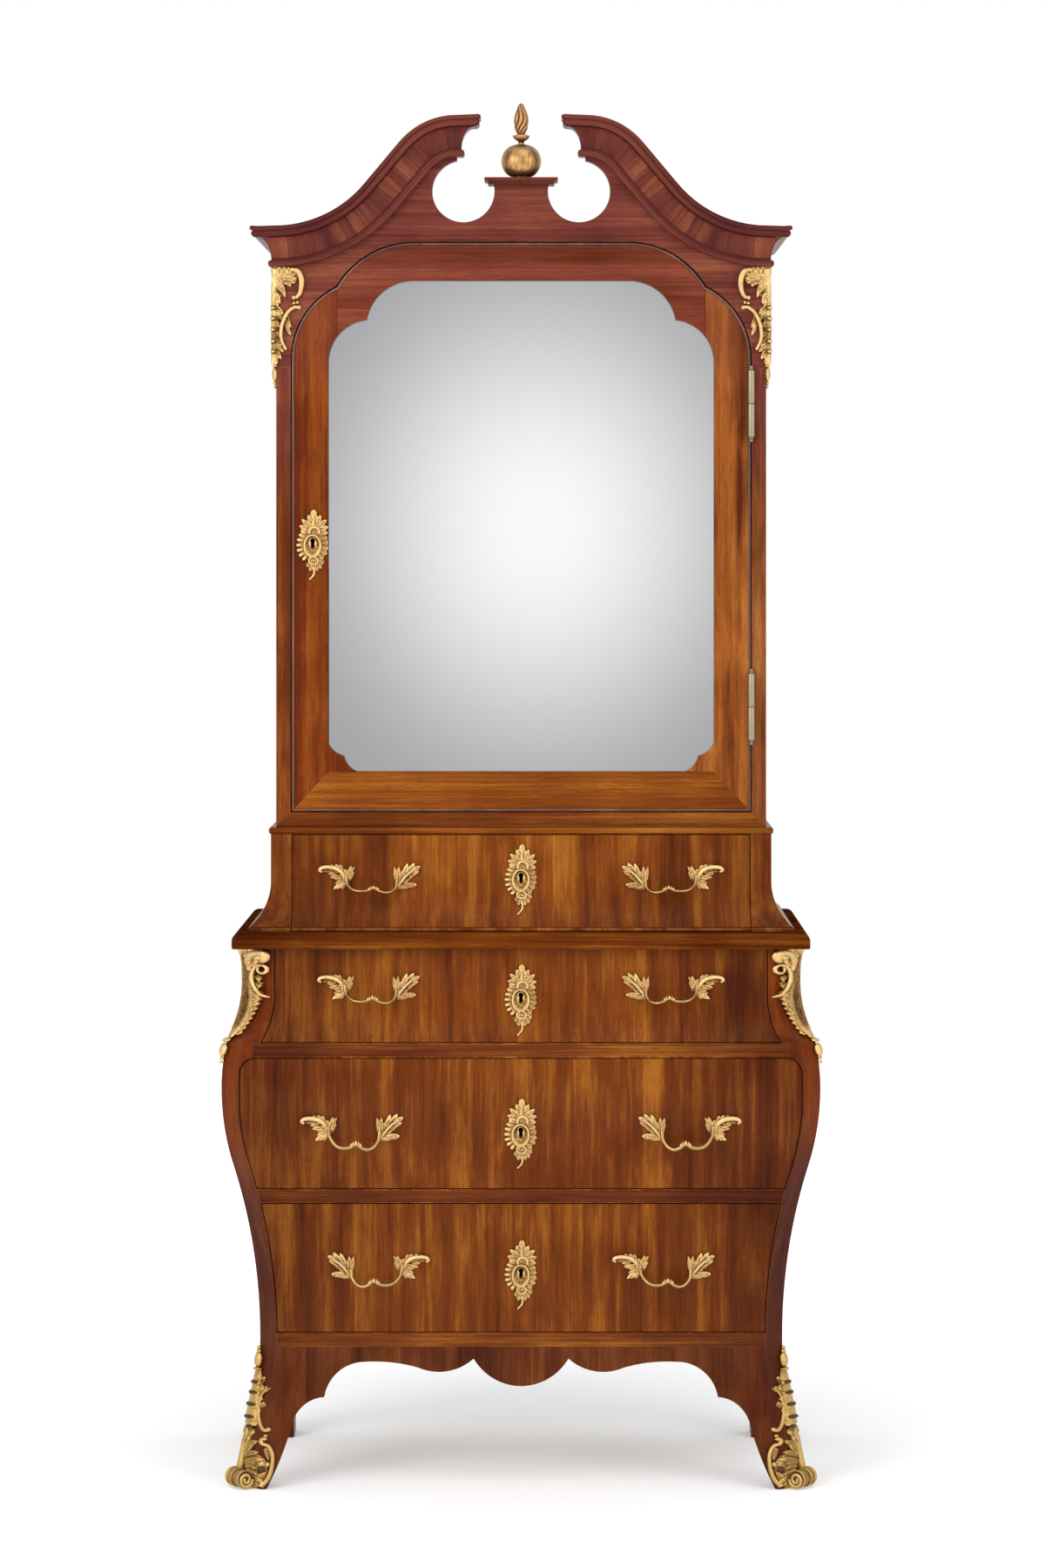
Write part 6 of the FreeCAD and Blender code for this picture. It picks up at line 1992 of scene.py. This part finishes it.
def turned(name: str, rings: Sequence[np.ndarray], centre: Spot, finish: Finish,
           sharp: float) -> bpy.types.Object:
    """Close rings of points about an upright axis into a metal piece.

    Args:
        name: The object's name.
        rings: Points of each ring in millimetres, from the foot up.
        centre: Where the axis is, x and y in metres.
        finish: Its finish.
        sharp: Angle in degrees past which an edge stays sharp.

    Returns:
        The piece.
    """
    relief = Relief()
    relief.add(np.concatenate(rings), ring_faces(len(rings), len(rings[0])))
    axis = np.array((*centre, 0.0))
    return relief.mapped(name, [(lambda points: points * MM + axis, 1.0)], finish, sharp, False)


def front_rim(node: str) -> np.ndarray:
    """Find the rim of a CAD node's front face.

    Args:
        node: The CAD node.

    Returns:
        Points along the rim, in order.
    """
    form = bmesh.new()
    form.from_mesh(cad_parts[node].data)
    bmesh.ops.remove_doubles(form, verts=form.verts, dist=WELD)
    rim = {}
    for edge in form.edges:
        faces = edge.link_faces
        if len(faces) == 2 and sum(face.normal.y < FACES_FRONT for face in faces) == 1 \
                and edge.calc_face_angle(0.0) > RIM_ANGLE:
            for here, there in (edge.verts, reversed(edge.verts)):
                rim.setdefault(here, []).append(there)
    start = min(rim, key=lambda corner: (corner.co.x, corner.co.z))
    loop, before, here = [], None, start
    while True:
        loop.append(tuple(here.co))
        after = [other for other in rim[here] if other is not before]
        before, here = here, after[0]
        if here is start or len(loop) > len(rim):
            break
    form.free()
    return np.array(loop)


def outset(loop: np.ndarray, distance: float) -> np.ndarray:
    """Move a closed loop outwards in its front view.

    Args:
        loop: Rows of points in order.
        distance: How far.

    Returns:
        The moved points.
    """
    flat = loop[:, (0, 2)]
    turn = np.sum(flat[:, 0] * np.roll(flat[:, 1], -1) - flat[:, 1] * np.roll(flat[:, 0], -1))
    ahead = np.roll(flat, -1, 0) - flat
    ahead /= np.maximum(np.linalg.norm(ahead, axis=1, keepdims=True), 1e-9)
    square = np.stack([ahead[:, 1], -ahead[:, 0]], 1) * math.copysign(1.0, turn)
    both = square + np.roll(square, 1, 0)
    both /= np.maximum((both * square).sum(1, keepdims=True), 0.5)
    moved = loop.copy()
    moved[:, (0, 2)] += both * distance
    return moved


# Sub-assemblies

def veneer(body: str, node: str, grain: Grain, seed: float, **tone: Any) -> None:
    """Dress a CAD node of one grain in mahogany.

    Args:
        body: The CAD body.
        node: The CAD node.
        grain: How the grain runs.
        seed: Shift of the figure.
        tone: Further values of the finish.
    """
    finish = Mahogany(f"mahogany_{node}", grain, seed, **tone)
    put(softened(f"{node}_veneered", node, lambda spot: finish), body, "mahogany", node)


@dataclass
class Chest:
    """Case of the bombe chest with its mounts and feet."""

    bead_radius: float = 0.0011
    reveal: float = 0.0015
    # Heights over which the posts fade into their lighter veneer of painted light.
    lit_bulge_zone: Spot = (0.44, 0.6)
    drawers: tuple[str, ...] = ("upper", "middle", "lower")

    def build(self) -> None:
        """Boards, beads, corner mounts and feet."""
        veneer("case", "commode_top", Grain.BOARD_LEVEL, 0.3, dark=(0.06, 0.012, 0.003),
               middle=(0.15, 0.036, 0.005), polish=0.0)
        # Painted light: from the bulge up the posts take a lighter, redder veneer.
        bulge_light = Mahogany("mahogany_post_painted_light", Grain.POST, 5.0, dark=(0.12, 0.02, 0.002),
                         middle=(0.24, 0.045, 0.002), light=(0.37, 0.095, 0.005))
        for hand, seed in (("left", 1.1), ("right", 2.3)):
            veneer("case", f"commode_side_{hand}", Grain.SIDE_UPRIGHT, seed)
            veneer("case", f"front_post_{hand}", Grain.POST, seed + 4, dark=(0.07, 0.012, 0.004),
                   middle=(0.135, 0.028, 0.006), light=(0.22, 0.06, 0.014),
                   fade=self.lit_bulge_zone, beyond=bulge_light)
        veneer("case", "drawer_rails", Grain.FRONT_LEVEL, 5.2, dark=(0.07, 0.012, 0.004),
               middle=(0.15, 0.034, 0.006))
        veneer("case", "front_apron", Grain.FRONT_UPRIGHT, 6.4, dark=(0.05, 0.009, 0.003),
               middle=(0.11, 0.025, 0.006), light=(0.19, 0.055, 0.013))
        veneer("case", "rear_legs", Grain.POST, 7.7, dark=(0.05, 0.012, 0.004), middle=(0.11, 0.028, 0.007),
               light=(0.2, 0.06, 0.016))
        for node in ("dustboards", "drawer_guides"):
            dress(node, CARCASE_TIMBER)
        self.beads()
        self.mounts()
        self.feet()

    def beads(self) -> None:
        """Cock beads round the drawer openings."""
        finish = Mahogany("mahogany_cock_beads", Grain.POST, 8.8, dark=(0.1, 0.02, 0.004),
                          light=(0.45, 0.17, 0.04))
        loops = [outset(front_rim(f"{drawer}_drawer_front"), self.reveal + self.bead_radius)
                 for drawer in self.drawers]
        for loop in loops:
            loop[:, 1] = BOMBE.face_y - BOMBE.out(loop[:, 2]) + 0.2 * self.bead_radius
        mesh = bead_tree().mesh(line_curve("cock_bead_lines", loops, True), finish, radius=self.bead_radius,
                                sides=8)
        put(new_object("cock_beads", mesh), "case", "mahogany")

    def mounts(self) -> None:
        """The pair of corner mounts."""
        mounts = chest_mount_relief().mapped("chest_corner_mounts", both_sides(BOMBE.corner), GILT)
        put(mounts, "case", "gilt_bronze", "chest_mounts")

    def feet(self) -> None:
        """The pair of foot mounts with their rolled toes."""
        toe = ToeScroll()
        corners, toes = both_sides(BOMBE.corner), both_sides(toe.place)
        for piece in (sabot_relief().mapped("foot_mounts", corners, FOOT_GILT),
                      # The wraps and the grounds behind the spirals are near-black pieces of painted shade.
                      sabot_shade_marks().mapped("foot_wraps", corners, SHADE_BRONZE),
                      toe.relief().mapped("foot_scrolls", toes, FOOT_GILT, flat=False),
                      toe.shade_grounds().mapped("foot_scroll_grounds", toes, SHADE_BRONZE, flat=False)):
            put(piece, "case", "gilt_bronze", "sabots")


@dataclass
class Pull:
    """Place of a drawer's pair of cast pulls."""

    spread: float
    height: float
    inward: bool = False
    stand: float = 24.0


@dataclass
class Drawer:
    """One drawer: veneered front, plain box, lock, keyhole plate and pulls."""

    name: str
    surface: Callable[[float, float], Place]
    key: float
    pull: Pull
    seed: float
    tone: dict[str, Any] = field(default_factory=dict)

    def build(self) -> None:
        """Build and dress every piece of the drawer."""
        body = f"{self.name}_drawer"
        veneer(body, f"{body}_front", Grain.FRONT_UPRIGHT, self.seed, **self.tone)
        dress(f"{body}_box", DRAWER_TIMBER)
        dress(f"{body}_lock", LOCK_IRON)
        dress(f"{body}_bolt", LOCK_IRON)
        eye = [(self.surface(0.0, self.key), 1.0)]
        plate = escutcheon_relief().mapped(f"{self.name}_keyhole_plate", eye, GILT)
        put(plate, body, "gilt_bronze", f"{self.name}_escutcheon")
        hand = -1.0 if self.pull.inward else 1.0
        places = [(self.surface(-self.pull.spread, self.pull.height), hand),
                  (self.surface(self.pull.spread, self.pull.height), -hand)]
        for part, draw, finish in (("leaves", pull_relief, PULL_GILT), ("bails", bail_relief, BAIL_BRASS)):
            piece = draw(self.pull.stand).mapped(f"{self.name}_pull_{part}", places, finish)
            put(piece, body, "gilt_bronze", f"{body}_pulls")


@dataclass
class Waist:
    """Corner blocks of the waist stage, with a cross-banded strip along the foot."""

    strip: float = 0.0068
    above: float = 9.0
    block: float = 0.026

    def banding(self) -> dict[str, Any]:
        """The strip's finish and its place, as values for a veneer.

        Returns:
            What the blocks and the waist drawer's front share.
        """
        strip = Mahogany("mahogany_banding", Grain.FRONT_UPRIGHT, 5.1, dark=(0.08, 0.014, 0.004),
                         middle=(0.22, 0.062, 0.012), light=(0.4, 0.15, 0.035), block=self.block)
        return {"band": (WAIST.foot + self.strip, self.above), "beyond": strip}

    def build(self) -> None:
        """Veneer the two blocks."""
        for hand, seed in (("left", 3.3), ("right", 4.1)):
            veneer("case", f"waist_side_{hand}", Grain.POST, seed, **self.banding())


@dataclass
class Cabinet:
    """Case of the upper cabinet with its corner mounts."""

    half: float = 0.394
    face_y: float = -0.154
    mount_top: float = 1.953
    sill_foot: float = 1.053
    sill_top: float = 1.0766
    reddened: Spot = (1.5, 1.78)

    def build(self) -> None:
        """Boards, face frame, inside and mounts."""
        veneer("case", "cabinet_base", Grain.BOARD_LEVEL, 1.4)
        for hand, seed in (("left", 2.2), ("right", 3.9)):
            veneer("case", f"cabinet_side_{hand}", Grain.SIDE_UPRIGHT, seed)
        self.face_frame()
        for node in ("cabinet_roof", "shelves"):
            dress(node, CARCASE_TIMBER)
        # The second piece is dark rings of painted shade round the bosses.
        for piece in (cabinet_mount_relief().mapped("cabinet_corner_mounts", both_sides(self.corner), GILT),
                      cabinet_mount_pits().mapped("cabinet_mount_pits", both_sides(self.corner), SHADE_BRONZE)):
            put(piece, "case", "gilt_bronze", "cabinet_mounts")

    def face_frame(self) -> None:
        """Two stiles and a sill, with the stiles redder towards the top."""
        red = Mahogany("mahogany_frame_red", Grain.FRONT_UPRIGHT, 4.4, dark=(0.075, 0.014, 0.012),
                       middle=(0.15, 0.034, 0.02), light=(0.26, 0.08, 0.034))
        stiles = (Mahogany("mahogany_frame_stile_left", Grain.FRONT_UPRIGHT, 5.5, middle=(0.12, 0.022, 0.004),
                           light=(0.26, 0.07, 0.011), end_shade=0.0, fade=self.reddened, beyond=red),
                  Mahogany("mahogany_frame_stile_right", Grain.FRONT_UPRIGHT, 4.4,
                           middle=(0.22, 0.068, 0.017), light=(0.4, 0.155, 0.042), end_shade=0.0,
                           fade=self.reddened, beyond=red))
        sill = Mahogany("mahogany_frame_sill", Grain.FRONT_LEVEL, 6.1, middle=(0.15, 0.034, 0.004),
                        light=(0.3, 0.095, 0.011), end_shade=0.0)

        def board(spot: Vector) -> Finish:
            """The sill below its mitres, or a stile."""
            low = spot.z < self.sill_top and self.half - abs(spot.x) > spot.z - self.sill_foot
            return sill if low else stiles[spot.x > 0]

        put(softened("face_frame_veneered", "face_frame", board), "case", "mahogany", "face_frame")

    def corner(self, points: np.ndarray) -> np.ndarray:
        """Place a pattern round the left front arris.

        Args:
            points: Rows of u inwards, v up from the mount's top and h out, in millimetres.

        Returns:
            Rows of x, y, z in metres.
        """
        u, v, h = (points * MM).T
        turn = math.radians(90) * (ease(-u, TURN) - 1)
        x = self.half - np.maximum(u, 0.0) + h * np.cos(turn)
        y = self.face_y + np.maximum(-u, 0.0) + h * np.sin(turn)
        return np.stack([-x, y, self.mount_top + v], 1)


@dataclass
class Pediment:
    """Tympanum, swan-neck cornices, plinth and finial."""

    half: float = Cabinet.half
    face_y: float = Cabinet.face_y
    foot: float = Cabinet.mount_top
    slope: float = math.radians(50)
    lower_radius: float = 0.25
    run: float = 0.0886
    upper_radius: float = 0.0555
    return_y: float = -0.132
    sharp: float = 30.0
    section: tuple[Spot, ...] = ((0, 0), (9, 0), (11, 1.2), (12, 3.4), (12, 7), (11, 9.2), (9, 10.4),
                                 (7, 10.4), (7, 13))
    cove: Spot = (27, 46.5)
    veneered: Spot = (0.0131, 0.0464)
    lip: tuple[Spot, ...] = ((30, 46.5), (32.5, 47), (35, 48.8), (36.2, 51.6), (36.2, 55.4), (34.6, 56),
                             (34.6, 57.6), (38.2, 58.4), (38.2, 64), (0, 64))

    def build(self) -> None:
        """Build and dress every piece of the pediment."""
        veneer("case", "tympanum", Grain.FRONT_LEVEL, 2.9, dark=(0.075, 0.014, 0.012),
               middle=(0.16, 0.036, 0.024), light=(0.27, 0.085, 0.04), end_shade=0.0)
        veneer("case", "plinth_cap", Grain.BOARD_LEVEL, 3.1, dark=(0.05, 0.01, 0.008),
               middle=(0.1, 0.02, 0.014), light=(0.18, 0.05, 0.03), end_shade=0.0, polish=0.02)
        self.cornices()
        Finial().build()

    def outline(self) -> np.ndarray:
        """Draw the cornice's closed section.

        Returns:
            Rows of out and up, in metres, from its lower back corner.
        """
        (start, low), (end, high) = self.section[-1], self.cove
        swing = [(start + (end - start) * (1 - math.cos(a)), low + (high - low) * math.sin(a))
                 for a in np.linspace(0.0, math.pi / 2, 11)[1:]]
        spots = [*self.section, *swing, *self.lip, self.section[0]]
        return np.array([(out, up, 0.0) for out, up in spots]) * MM

    def swan(self) -> np.ndarray:
        """Draw the path of the left cornice along the front.

        Returns:
            Points from its outer end up to its crest.
        """
        line: list[Spot] = [(-self.half, self.foot)]
        for angle in np.linspace(0.0, self.slope, 15)[1:]:
            line.append((-self.half + self.lower_radius * math.sin(angle),
                         self.foot + self.lower_radius * (1 - math.cos(angle))))
        x, z = line[-1]
        for share in (0.34, 0.67, 1.0):
            line.append((x + share * self.run * math.cos(self.slope),
                         z + share * self.run * math.sin(self.slope)))
        x, z = line[-1]
        for angle in np.linspace(0.0, self.slope, 13)[1:]:
            line.append((x + self.upper_radius * (math.sin(self.slope) - math.sin(self.slope - angle)),
                         z + self.upper_radius * (math.cos(self.slope - angle) - math.cos(self.slope))))
        return np.array([(x, self.face_y, z) for x, z in line])

    def cornices(self) -> None:
        """Both cornices, each a swan neck with an outer and an inner return."""
        mould = Mahogany("mahogany_cornice_mould", Grain.FRONT_LEVEL, 2.2, dark=(0.04, 0.008, 0.008),
                         middle=(0.1, 0.02, 0.016), light=(0.17, 0.045, 0.028))
        finish = Mahogany("mahogany_cornice", Grain.FRONT_UPRIGHT, 7.3, dark=(0.045, 0.008, 0.009),
                          middle=(0.135, 0.03, 0.02), light=(0.25, 0.072, 0.032), ribbon=22.0, along="along",
                          block=0.021, band=self.veneered, beyond=mould)
        tree = moulding_tree()
        outline = self.outline()
        drawn = bpy.data.meshes.new("cornice_section")
        drawn.from_pydata(outline.tolist(), [], [])
        section = new_object("cornice_section", drawn)
        back = CAD_BOX[1].y
        swan = self.swan()
        corner, crest = swan[0], swan[-1]
        runs = ((np.array([(corner[0], back, corner[2]), corner]), 2, 0.0, 1.0),
                (swan, 64, 1.0, 1.0),
                (np.array([crest, (crest[0], self.return_y, crest[2])]), 2, 1.0, 0.0))
        meshes = [tree.mesh(line_curve("cornice_path", [path]), finish, section=section, steps=steps,
                            corners=len(outline), start_mitre=first, end_mitre=last)
                  for path, steps, first, last in runs]
        bpy.data.objects.remove(section)
        left = joined("cornice_left_moulding", meshes, finish, self.sharp)
        put(left, "case", "mahogany", "cornice_left")
        other = left.data.copy()
        other.vertices.foreach_set("co", (corner_values(other, "co") * (-1.0, 1.0, 1.0)).ravel())
        other.flip_normals()
        put(new_object("cornice_right_moulding", other), "case", "mahogany", "cornice_right")


@dataclass
class Finial:
    """Gilt ball on the plinth with a disc and a twisted flame."""

    foot: float = 2096.0
    radius: float = 32.0
    ball_height: float = 55.0
    flame_height: float = 50.0
    flame_radius: float = 11.4
    twist: float = 0.2
    centre: Spot = (0.0, -0.143)
    collar: tuple[Spot, ...] = ((12.0, 0.0), (13.4, 1.0), (13.0, 3.0))
    saucer: tuple[Spot, ...] = ((5.2, -2.0), (4.6, 3.6), (6.0, 5.4), (10.0, 7.6), (12.8, 10.6), (13.8, 13.0),
                                (13.2, 14.2), (9.0, 15.2), (5.4, 16.2))
    saucer_height: float = 16.0

    def build(self) -> None:
        """Turned ball, saucer and flame."""
        middle, half = self.foot + self.ball_height / 2, self.ball_height / 2
        ball = [(radius, self.foot + up) for radius, up in self.collar]
        for angle in np.linspace(math.radians(-62), math.radians(84), 27):
            ball.append((self.radius * math.cos(angle) ** 0.8, middle + half * math.sin(angle)))
        gilding = LeafGilding("finial_leaf_gilding")
        put(lathe("finial_ball_turned", ball, self.centre, gilding, 48), "case", "gilt_bronze", "finial_ball")
        top = self.foot + self.ball_height
        saucer = [(radius, top + up) for radius, up in self.saucer]
        put(lathe("finial_saucer", saucer, self.centre, FLAME_GILT, 40), "case", "gilt_bronze", "finial_ball")
        self.flame(top + self.saucer_height)

    def flame(self, foot: float) -> None:
        """Flame of eight strands that sway to a blunt tip.

        Args:
            foot: Height of its foot in millimetres.
        """
        rows, sides = 40, 64
        angles = np.arange(sides) * 2 * math.pi / sides
        rings = []
        for row in range(rows):
            t = row / (rows - 1)
            body = self.flame_radius * max(math.sin(math.pi * (0.1 + 0.86 * t) ** 0.86), 0.0) ** 0.8 + 0.4
            sway = self.twist * math.sin(math.pi * t) + 0.5 * self.twist * t
            strand = np.abs(np.cos(4 * (angles - 2 * math.pi * sway))) ** 0.6
            rings.append(level_ring(body * (0.74 + 0.26 * strand), foot + self.flame_height * t))
        flame = turned("finial_flame_twisted", rings, self.centre, FLAME_GILT, 60.0)
        put(flame, "case", "gilt_bronze", "finial_flame")


@dataclass
class Back:
    """Plain boards behind the three stages, nailed round their edges."""

    y: float = 0.258
    inset: float = 0.009
    pitch: float = 0.095
    head: float = 0.0032
    dome: float = 0.35
    panels: tuple[tuple[float, float, float], ...] = ((0.386, 0.198, 0.862), (0.3685, 0.888, 1.042),
                                                      (0.374, 1.053, 2.012))

    def build(self) -> None:
        """Dress the boards and set a nail head at each place."""
        dress("back_panels", BACK_TIMBER)
        spots = [spot for half, low, high in self.panels
                 for spot in self.ring(half - self.inset, low + self.inset, high - self.inset)]
        points = bpy.data.meshes.new("back_nail_points")
        points.from_pydata(spots, [], [])
        mesh = nail_tree().mesh(new_object("back_nail_points", points), LOCK_IRON, radius=self.head,
                                dome=self.dome)
        put(new_object("back_nails", mesh), "case", "lock_iron")

    def ring(self, half: float, low: float, high: float) -> list[tuple[float, float, float]]:
        """Places of the nails round one board.

        Args:
            half: Distance of the outer nails from the middle.
            low: Height of the lowest row.
            high: Height of the highest row.

        Returns:
            The places.
        """
        across = np.linspace(-half, half, round(2 * half / self.pitch) + 1)
        up = np.linspace(low, high, round((high - low) / self.pitch) + 1)[1:-1]
        spots = [(x, self.y, z) for z in (low, high) for x in across]
        return spots + [(x, self.y, z) for x in (-half, half) for z in up]


@dataclass
class Door:
    """Mirrored door with its frame, lock, keyhole plate and hinges."""

    half: float = 0.369
    foot: float = 1.078
    face_y: float = Cabinet.face_y
    spring: Spot = (0.369, 1.805)
    cusp: Spot = (0.296, 1.921)
    crown: Spot = (0.173, 1.992)
    head: float = 1.790
    darkened: Spot = (1.7, 1.86)
    mitre: Spot = (0.059, 0.064)
    bead_radius: float = 0.0022
    key: Spot = (-0.335, 1.513)
    hinge_axis: Spot = (0.36975, -0.1601)
    hinge_feet: Spot = (1193.0, 1680.0)
    hinge_height: float = 106.0
    barrel: tuple[Spot, ...] = ((1.4, -8.4), (2.8, -7.6), (3.3, -6.2), (2.9, -4.8), (3.0, -4.0), (4.1, -3.0),
                                (4.2, -1.8), (3.5, -1.0), (5.5, -0.2), (5.85, 1.2), (5.85, 51.4),
                                (5.55, 52.4))

    def build(self) -> None:
        """Build and dress every piece of the door."""
        self.door_frame()
        mirror = softened("mirror_plate", "door_mirror", lambda spot: PLATE, width=0.0006)
        put(mirror, "door", "mirror_glass", "door_mirror")
        dress("door_panel", CARCASE_TIMBER)
        dress("door_lock", LOCK_IRON)
        dress("door_bolt", LOCK_IRON)
        self.bead()
        front = flat_front(self.key[0], self.face_y, self.key[1])
        plate = escutcheon_relief().mapped("door_keyhole_plate", [(front, 1.0)], GILT)
        put(plate, "door", "gilt_bronze", "door_escutcheon")
        self.hinges()

    def door_frame(self) -> None:
        """Frame of two stiles, a foot and a head, with the stiles redder towards the top."""
        tops = (Mahogany("mahogany_door_top_left", Grain.FRONT_UPRIGHT, 1.9, dark=(0.05, 0.008, 0.006),
                         middle=(0.115, 0.019, 0.009), light=(0.22, 0.05, 0.014)),
                Mahogany("mahogany_door_top_right", Grain.FRONT_UPRIGHT, 2.6, middle=(0.17, 0.04, 0.014),
                         light=(0.3, 0.09, 0.02)))
        stiles = (Mahogany("mahogany_door_stile_left", Grain.FRONT_UPRIGHT, 1.9, middle=(0.115, 0.017, 0.002),
                           light=(0.25, 0.06, 0.006), end_shade=0.0, fade=self.darkened, beyond=tops[0]),
                  Mahogany("mahogany_door_stile_right", Grain.FRONT_UPRIGHT, 2.6, middle=(0.27, 0.074, 0.012),
                           light=(0.46, 0.16, 0.03), end_shade=0.0, fade=self.darkened, beyond=tops[1]))
        rails = (Mahogany("mahogany_door_foot", Grain.FRONT_LEVEL, 3.7, middle=(0.18, 0.042, 0.003),
                          light=(0.34, 0.105, 0.011), end_shade=0.0),
                 Mahogany("mahogany_door_head", Grain.FRONT_LEVEL, 4.8, middle=(0.15, 0.03, 0.016),
                          light=(0.25, 0.06, 0.032), end_shade=0.0, joint=self.cusp[0],
                          beyond=stiles[0], opposite=stiles[1]))

        def board(spot: Vector) -> Finish:
            """The head above the joints, the foot below its mitres, and a stile at each side.

            Args:
                spot: A place inside the frame.

            Returns:
                The finish of the board there.
            """
            if spot.z > self.head:
                return rails[1]
            from_side, from_foot = self.half - abs(spot.x), spot.z - self.foot
            low = from_foot * self.mitre[0] < from_side * self.mitre[1] and from_foot < self.mitre[1]
            return rails[0] if low else stiles[spot.x > 0]

        put(softened("door_frame_veneered", "door_frame", board), "door", "mahogany", "door_frame")

    def rim(self) -> np.ndarray:
        """Draw the door's outline in front view, in from its edge by the bead's radius.

        Returns:
            Points along the outline, in order.
        """
        (spring_x, spring_z), (cusp_x, cusp_z), (crown_x, crown_z) = self.spring, self.cusp, self.crown
        shoulder = bow(spring_x - cusp_x, cusp_z - spring_z)
        arch = bow(crown_z - cusp_z, cusp_x - crown_x)
        right = [(self.half, self.foot), self.spring]
        right += arc_points(self.spring, self.cusp, shoulder, True, 14)
        right += arc_points(self.cusp, self.crown, arch, True, 14)
        loop = right + [(-x, z) for x, z in reversed(right)]
        return outset(np.array([(x, self.face_y, z) for x, z in loop]), -self.bead_radius)

    def bead(self) -> None:
        """Astragal round the door's edge."""
        finish = Mahogany("mahogany_door_bead", Grain.POST, 9.1, dark=(0.03, 0.007, 0.004),
                          middle=(0.08, 0.02, 0.012), light=(0.18, 0.07, 0.04), polish=0.5, end_shade=0.0)
        mesh = bead_tree().mesh(line_curve("door_bead_line", [self.rim()], True), finish,
                                radius=self.bead_radius, sides=10)
        put(new_object("door_edge_bead", mesh), "door", "mahogany")

    def hinges(self) -> None:
        """Two turned lift-off hinges."""
        for body in ("case", "door"):
            node = f"hinge_{body}_leaves"
            plates = softened(f"hinge_{body}_plates", node, lambda spot: HINGE_BRASS, width=0.0004)
            put(plates, body, "hinge_brass", node)
        for number, foot in enumerate(self.hinge_feet):
            lower = [(radius, foot + up) for radius, up in self.barrel]
            upper = [(radius, 2 * foot + self.hinge_height - up) for radius, up in reversed(lower)]
            for body, profile in (("case", lower), ("door", upper)):
                barrel = lathe(f"hinge_barrel_{body}_{number}", profile, self.hinge_axis, HINGE_BRASS, 20)
                put(barrel, body, "hinge_brass")


@dataclass
class Studio:
    """Floor, soft light and camera."""

    distance: float = 7.0
    eye: Spot = (0.045, 1.5)
    picture_height: float = 2.505
    sensor: float = 36.0
    shift: Spot = (-0.017, -0.15)
    floor_half: float = 9.0
    dim: float = 0.7
    aim: tuple[float, float, float] = (0.0, 0.0, 1.0)
    lamps: tuple[tuple[str, tuple[float, float, float], float, float], ...] = (
        ("key", (-3.6, -4.6, 3.2), 3.2, 140.0), ("fill", (4.2, -3.8, 2.4), 3.0, 62.0),
        ("top", (0.6, -2.4, 5.2), 3.0, 36.0))

    def build(self) -> None:
        """Make everything that isn't part of the cabinet."""
        self.floor()
        self.sky()
        self.light()
        self.camera()
        bpy.context.scene.view_settings.view_transform = "Standard"

    def floor(self) -> None:
        """Pale paper under the cabinet."""
        spots = self.floor_half * np.array([(-1, -1, 0), (1, -1, 0), (1, 1, 0), (-1, 1, 0)], float)
        paper = built("studio_floor", spots, [(0, 1, 2, 3)], StudioPaper("studio_paper"))

    def sky(self) -> None:
        """White to the camera and in reflections, dimmer as a light."""
        world = bpy.data.worlds.new("studio_sky")
        world.use_nodes = True
        bpy.context.scene.world = world
        graph = Graph(world.node_tree)
        world.node_tree.nodes.clear()
        seen = graph.node("ShaderNodeLightPath", None, None, "Is Camera Ray")
        shown = seen.math("MAXIMUM", seen, seen.twin("Is Glossy Ray"))
        shown = seen.math("MAXIMUM", shown, seen.twin("Is Transmission Ray"))
        glow = graph.node("ShaderNodeBackground", None, {
            "Color": (1.0, 1.0, 1.0, 1.0), "Strength": self.dim + shown * (1.0 - self.dim)})
        leave = graph.tree.nodes.new("ShaderNodeOutputWorld")
        graph.tree.links.new(glow.socket, leave.inputs["Surface"])

    def light(self) -> None:
        """Large soft lamps left, right and above."""
        for name, spot, size, power in self.lamps:
            data = bpy.data.lights.new(f"studio_{name}", "AREA")
            data.size = size
            data.energy = power
            lamp = bpy.data.objects.new(f"studio_{name}", data)
            lamp.location = spot
            lamp.rotation_euler = (Vector(self.aim) - Vector(spot)).to_track_quat("-Z", "Y").to_euler()
            bpy.context.scene.collection.objects.link(lamp)

    def camera(self) -> None:
        """Level camera at the photograph's height."""
        data = bpy.data.cameras.new("studio_camera")
        data.sensor_fit = "VERTICAL"
        data.sensor_height = self.sensor
        data.lens = self.sensor * self.distance / self.picture_height
        data.shift_x, data.shift_y = self.shift
        eye = bpy.data.objects.new("studio_camera", data)
        eye.location = (self.eye[0], -self.distance + BOMBE.face_y, self.eye[1])
        eye.rotation_euler = (math.radians(90), 0.0, 0.0)
        bpy.context.scene.collection.objects.link(eye)
        bpy.context.scene.camera = eye


def main() -> None:
    """Build the cabinet and its studio in order."""
    logging.basicConfig(level=logging.INFO, format="%(message)s")
    Chest().build()
    waist = Waist()
    for drawer in (
            Drawer("waist", WAIST.front, 0.976, Pull(0.240, 0.956), 0.7, waist.banding()),
            Drawer("upper", BOMBE.front, 0.787, Pull(0.240, 0.783), 2.0),
            Drawer("middle", BOMBE.front, 0.577, Pull(0.265, 0.563), 5.8,
                   {"middle": (0.15, 0.033, 0.004), "light": (0.34, 0.11, 0.012)}),
            Drawer("lower", BOMBE.front, 0.346, Pull(0.231, 0.336, True), 4.9,
                   {"middle": (0.165, 0.038, 0.004)})):
        drawer.build()
    waist.build()
    Cabinet().build()
    Pediment().build()
    Back().build()
    Door().build()
    Studio().build()


if __name__ == "__main__":
    main()
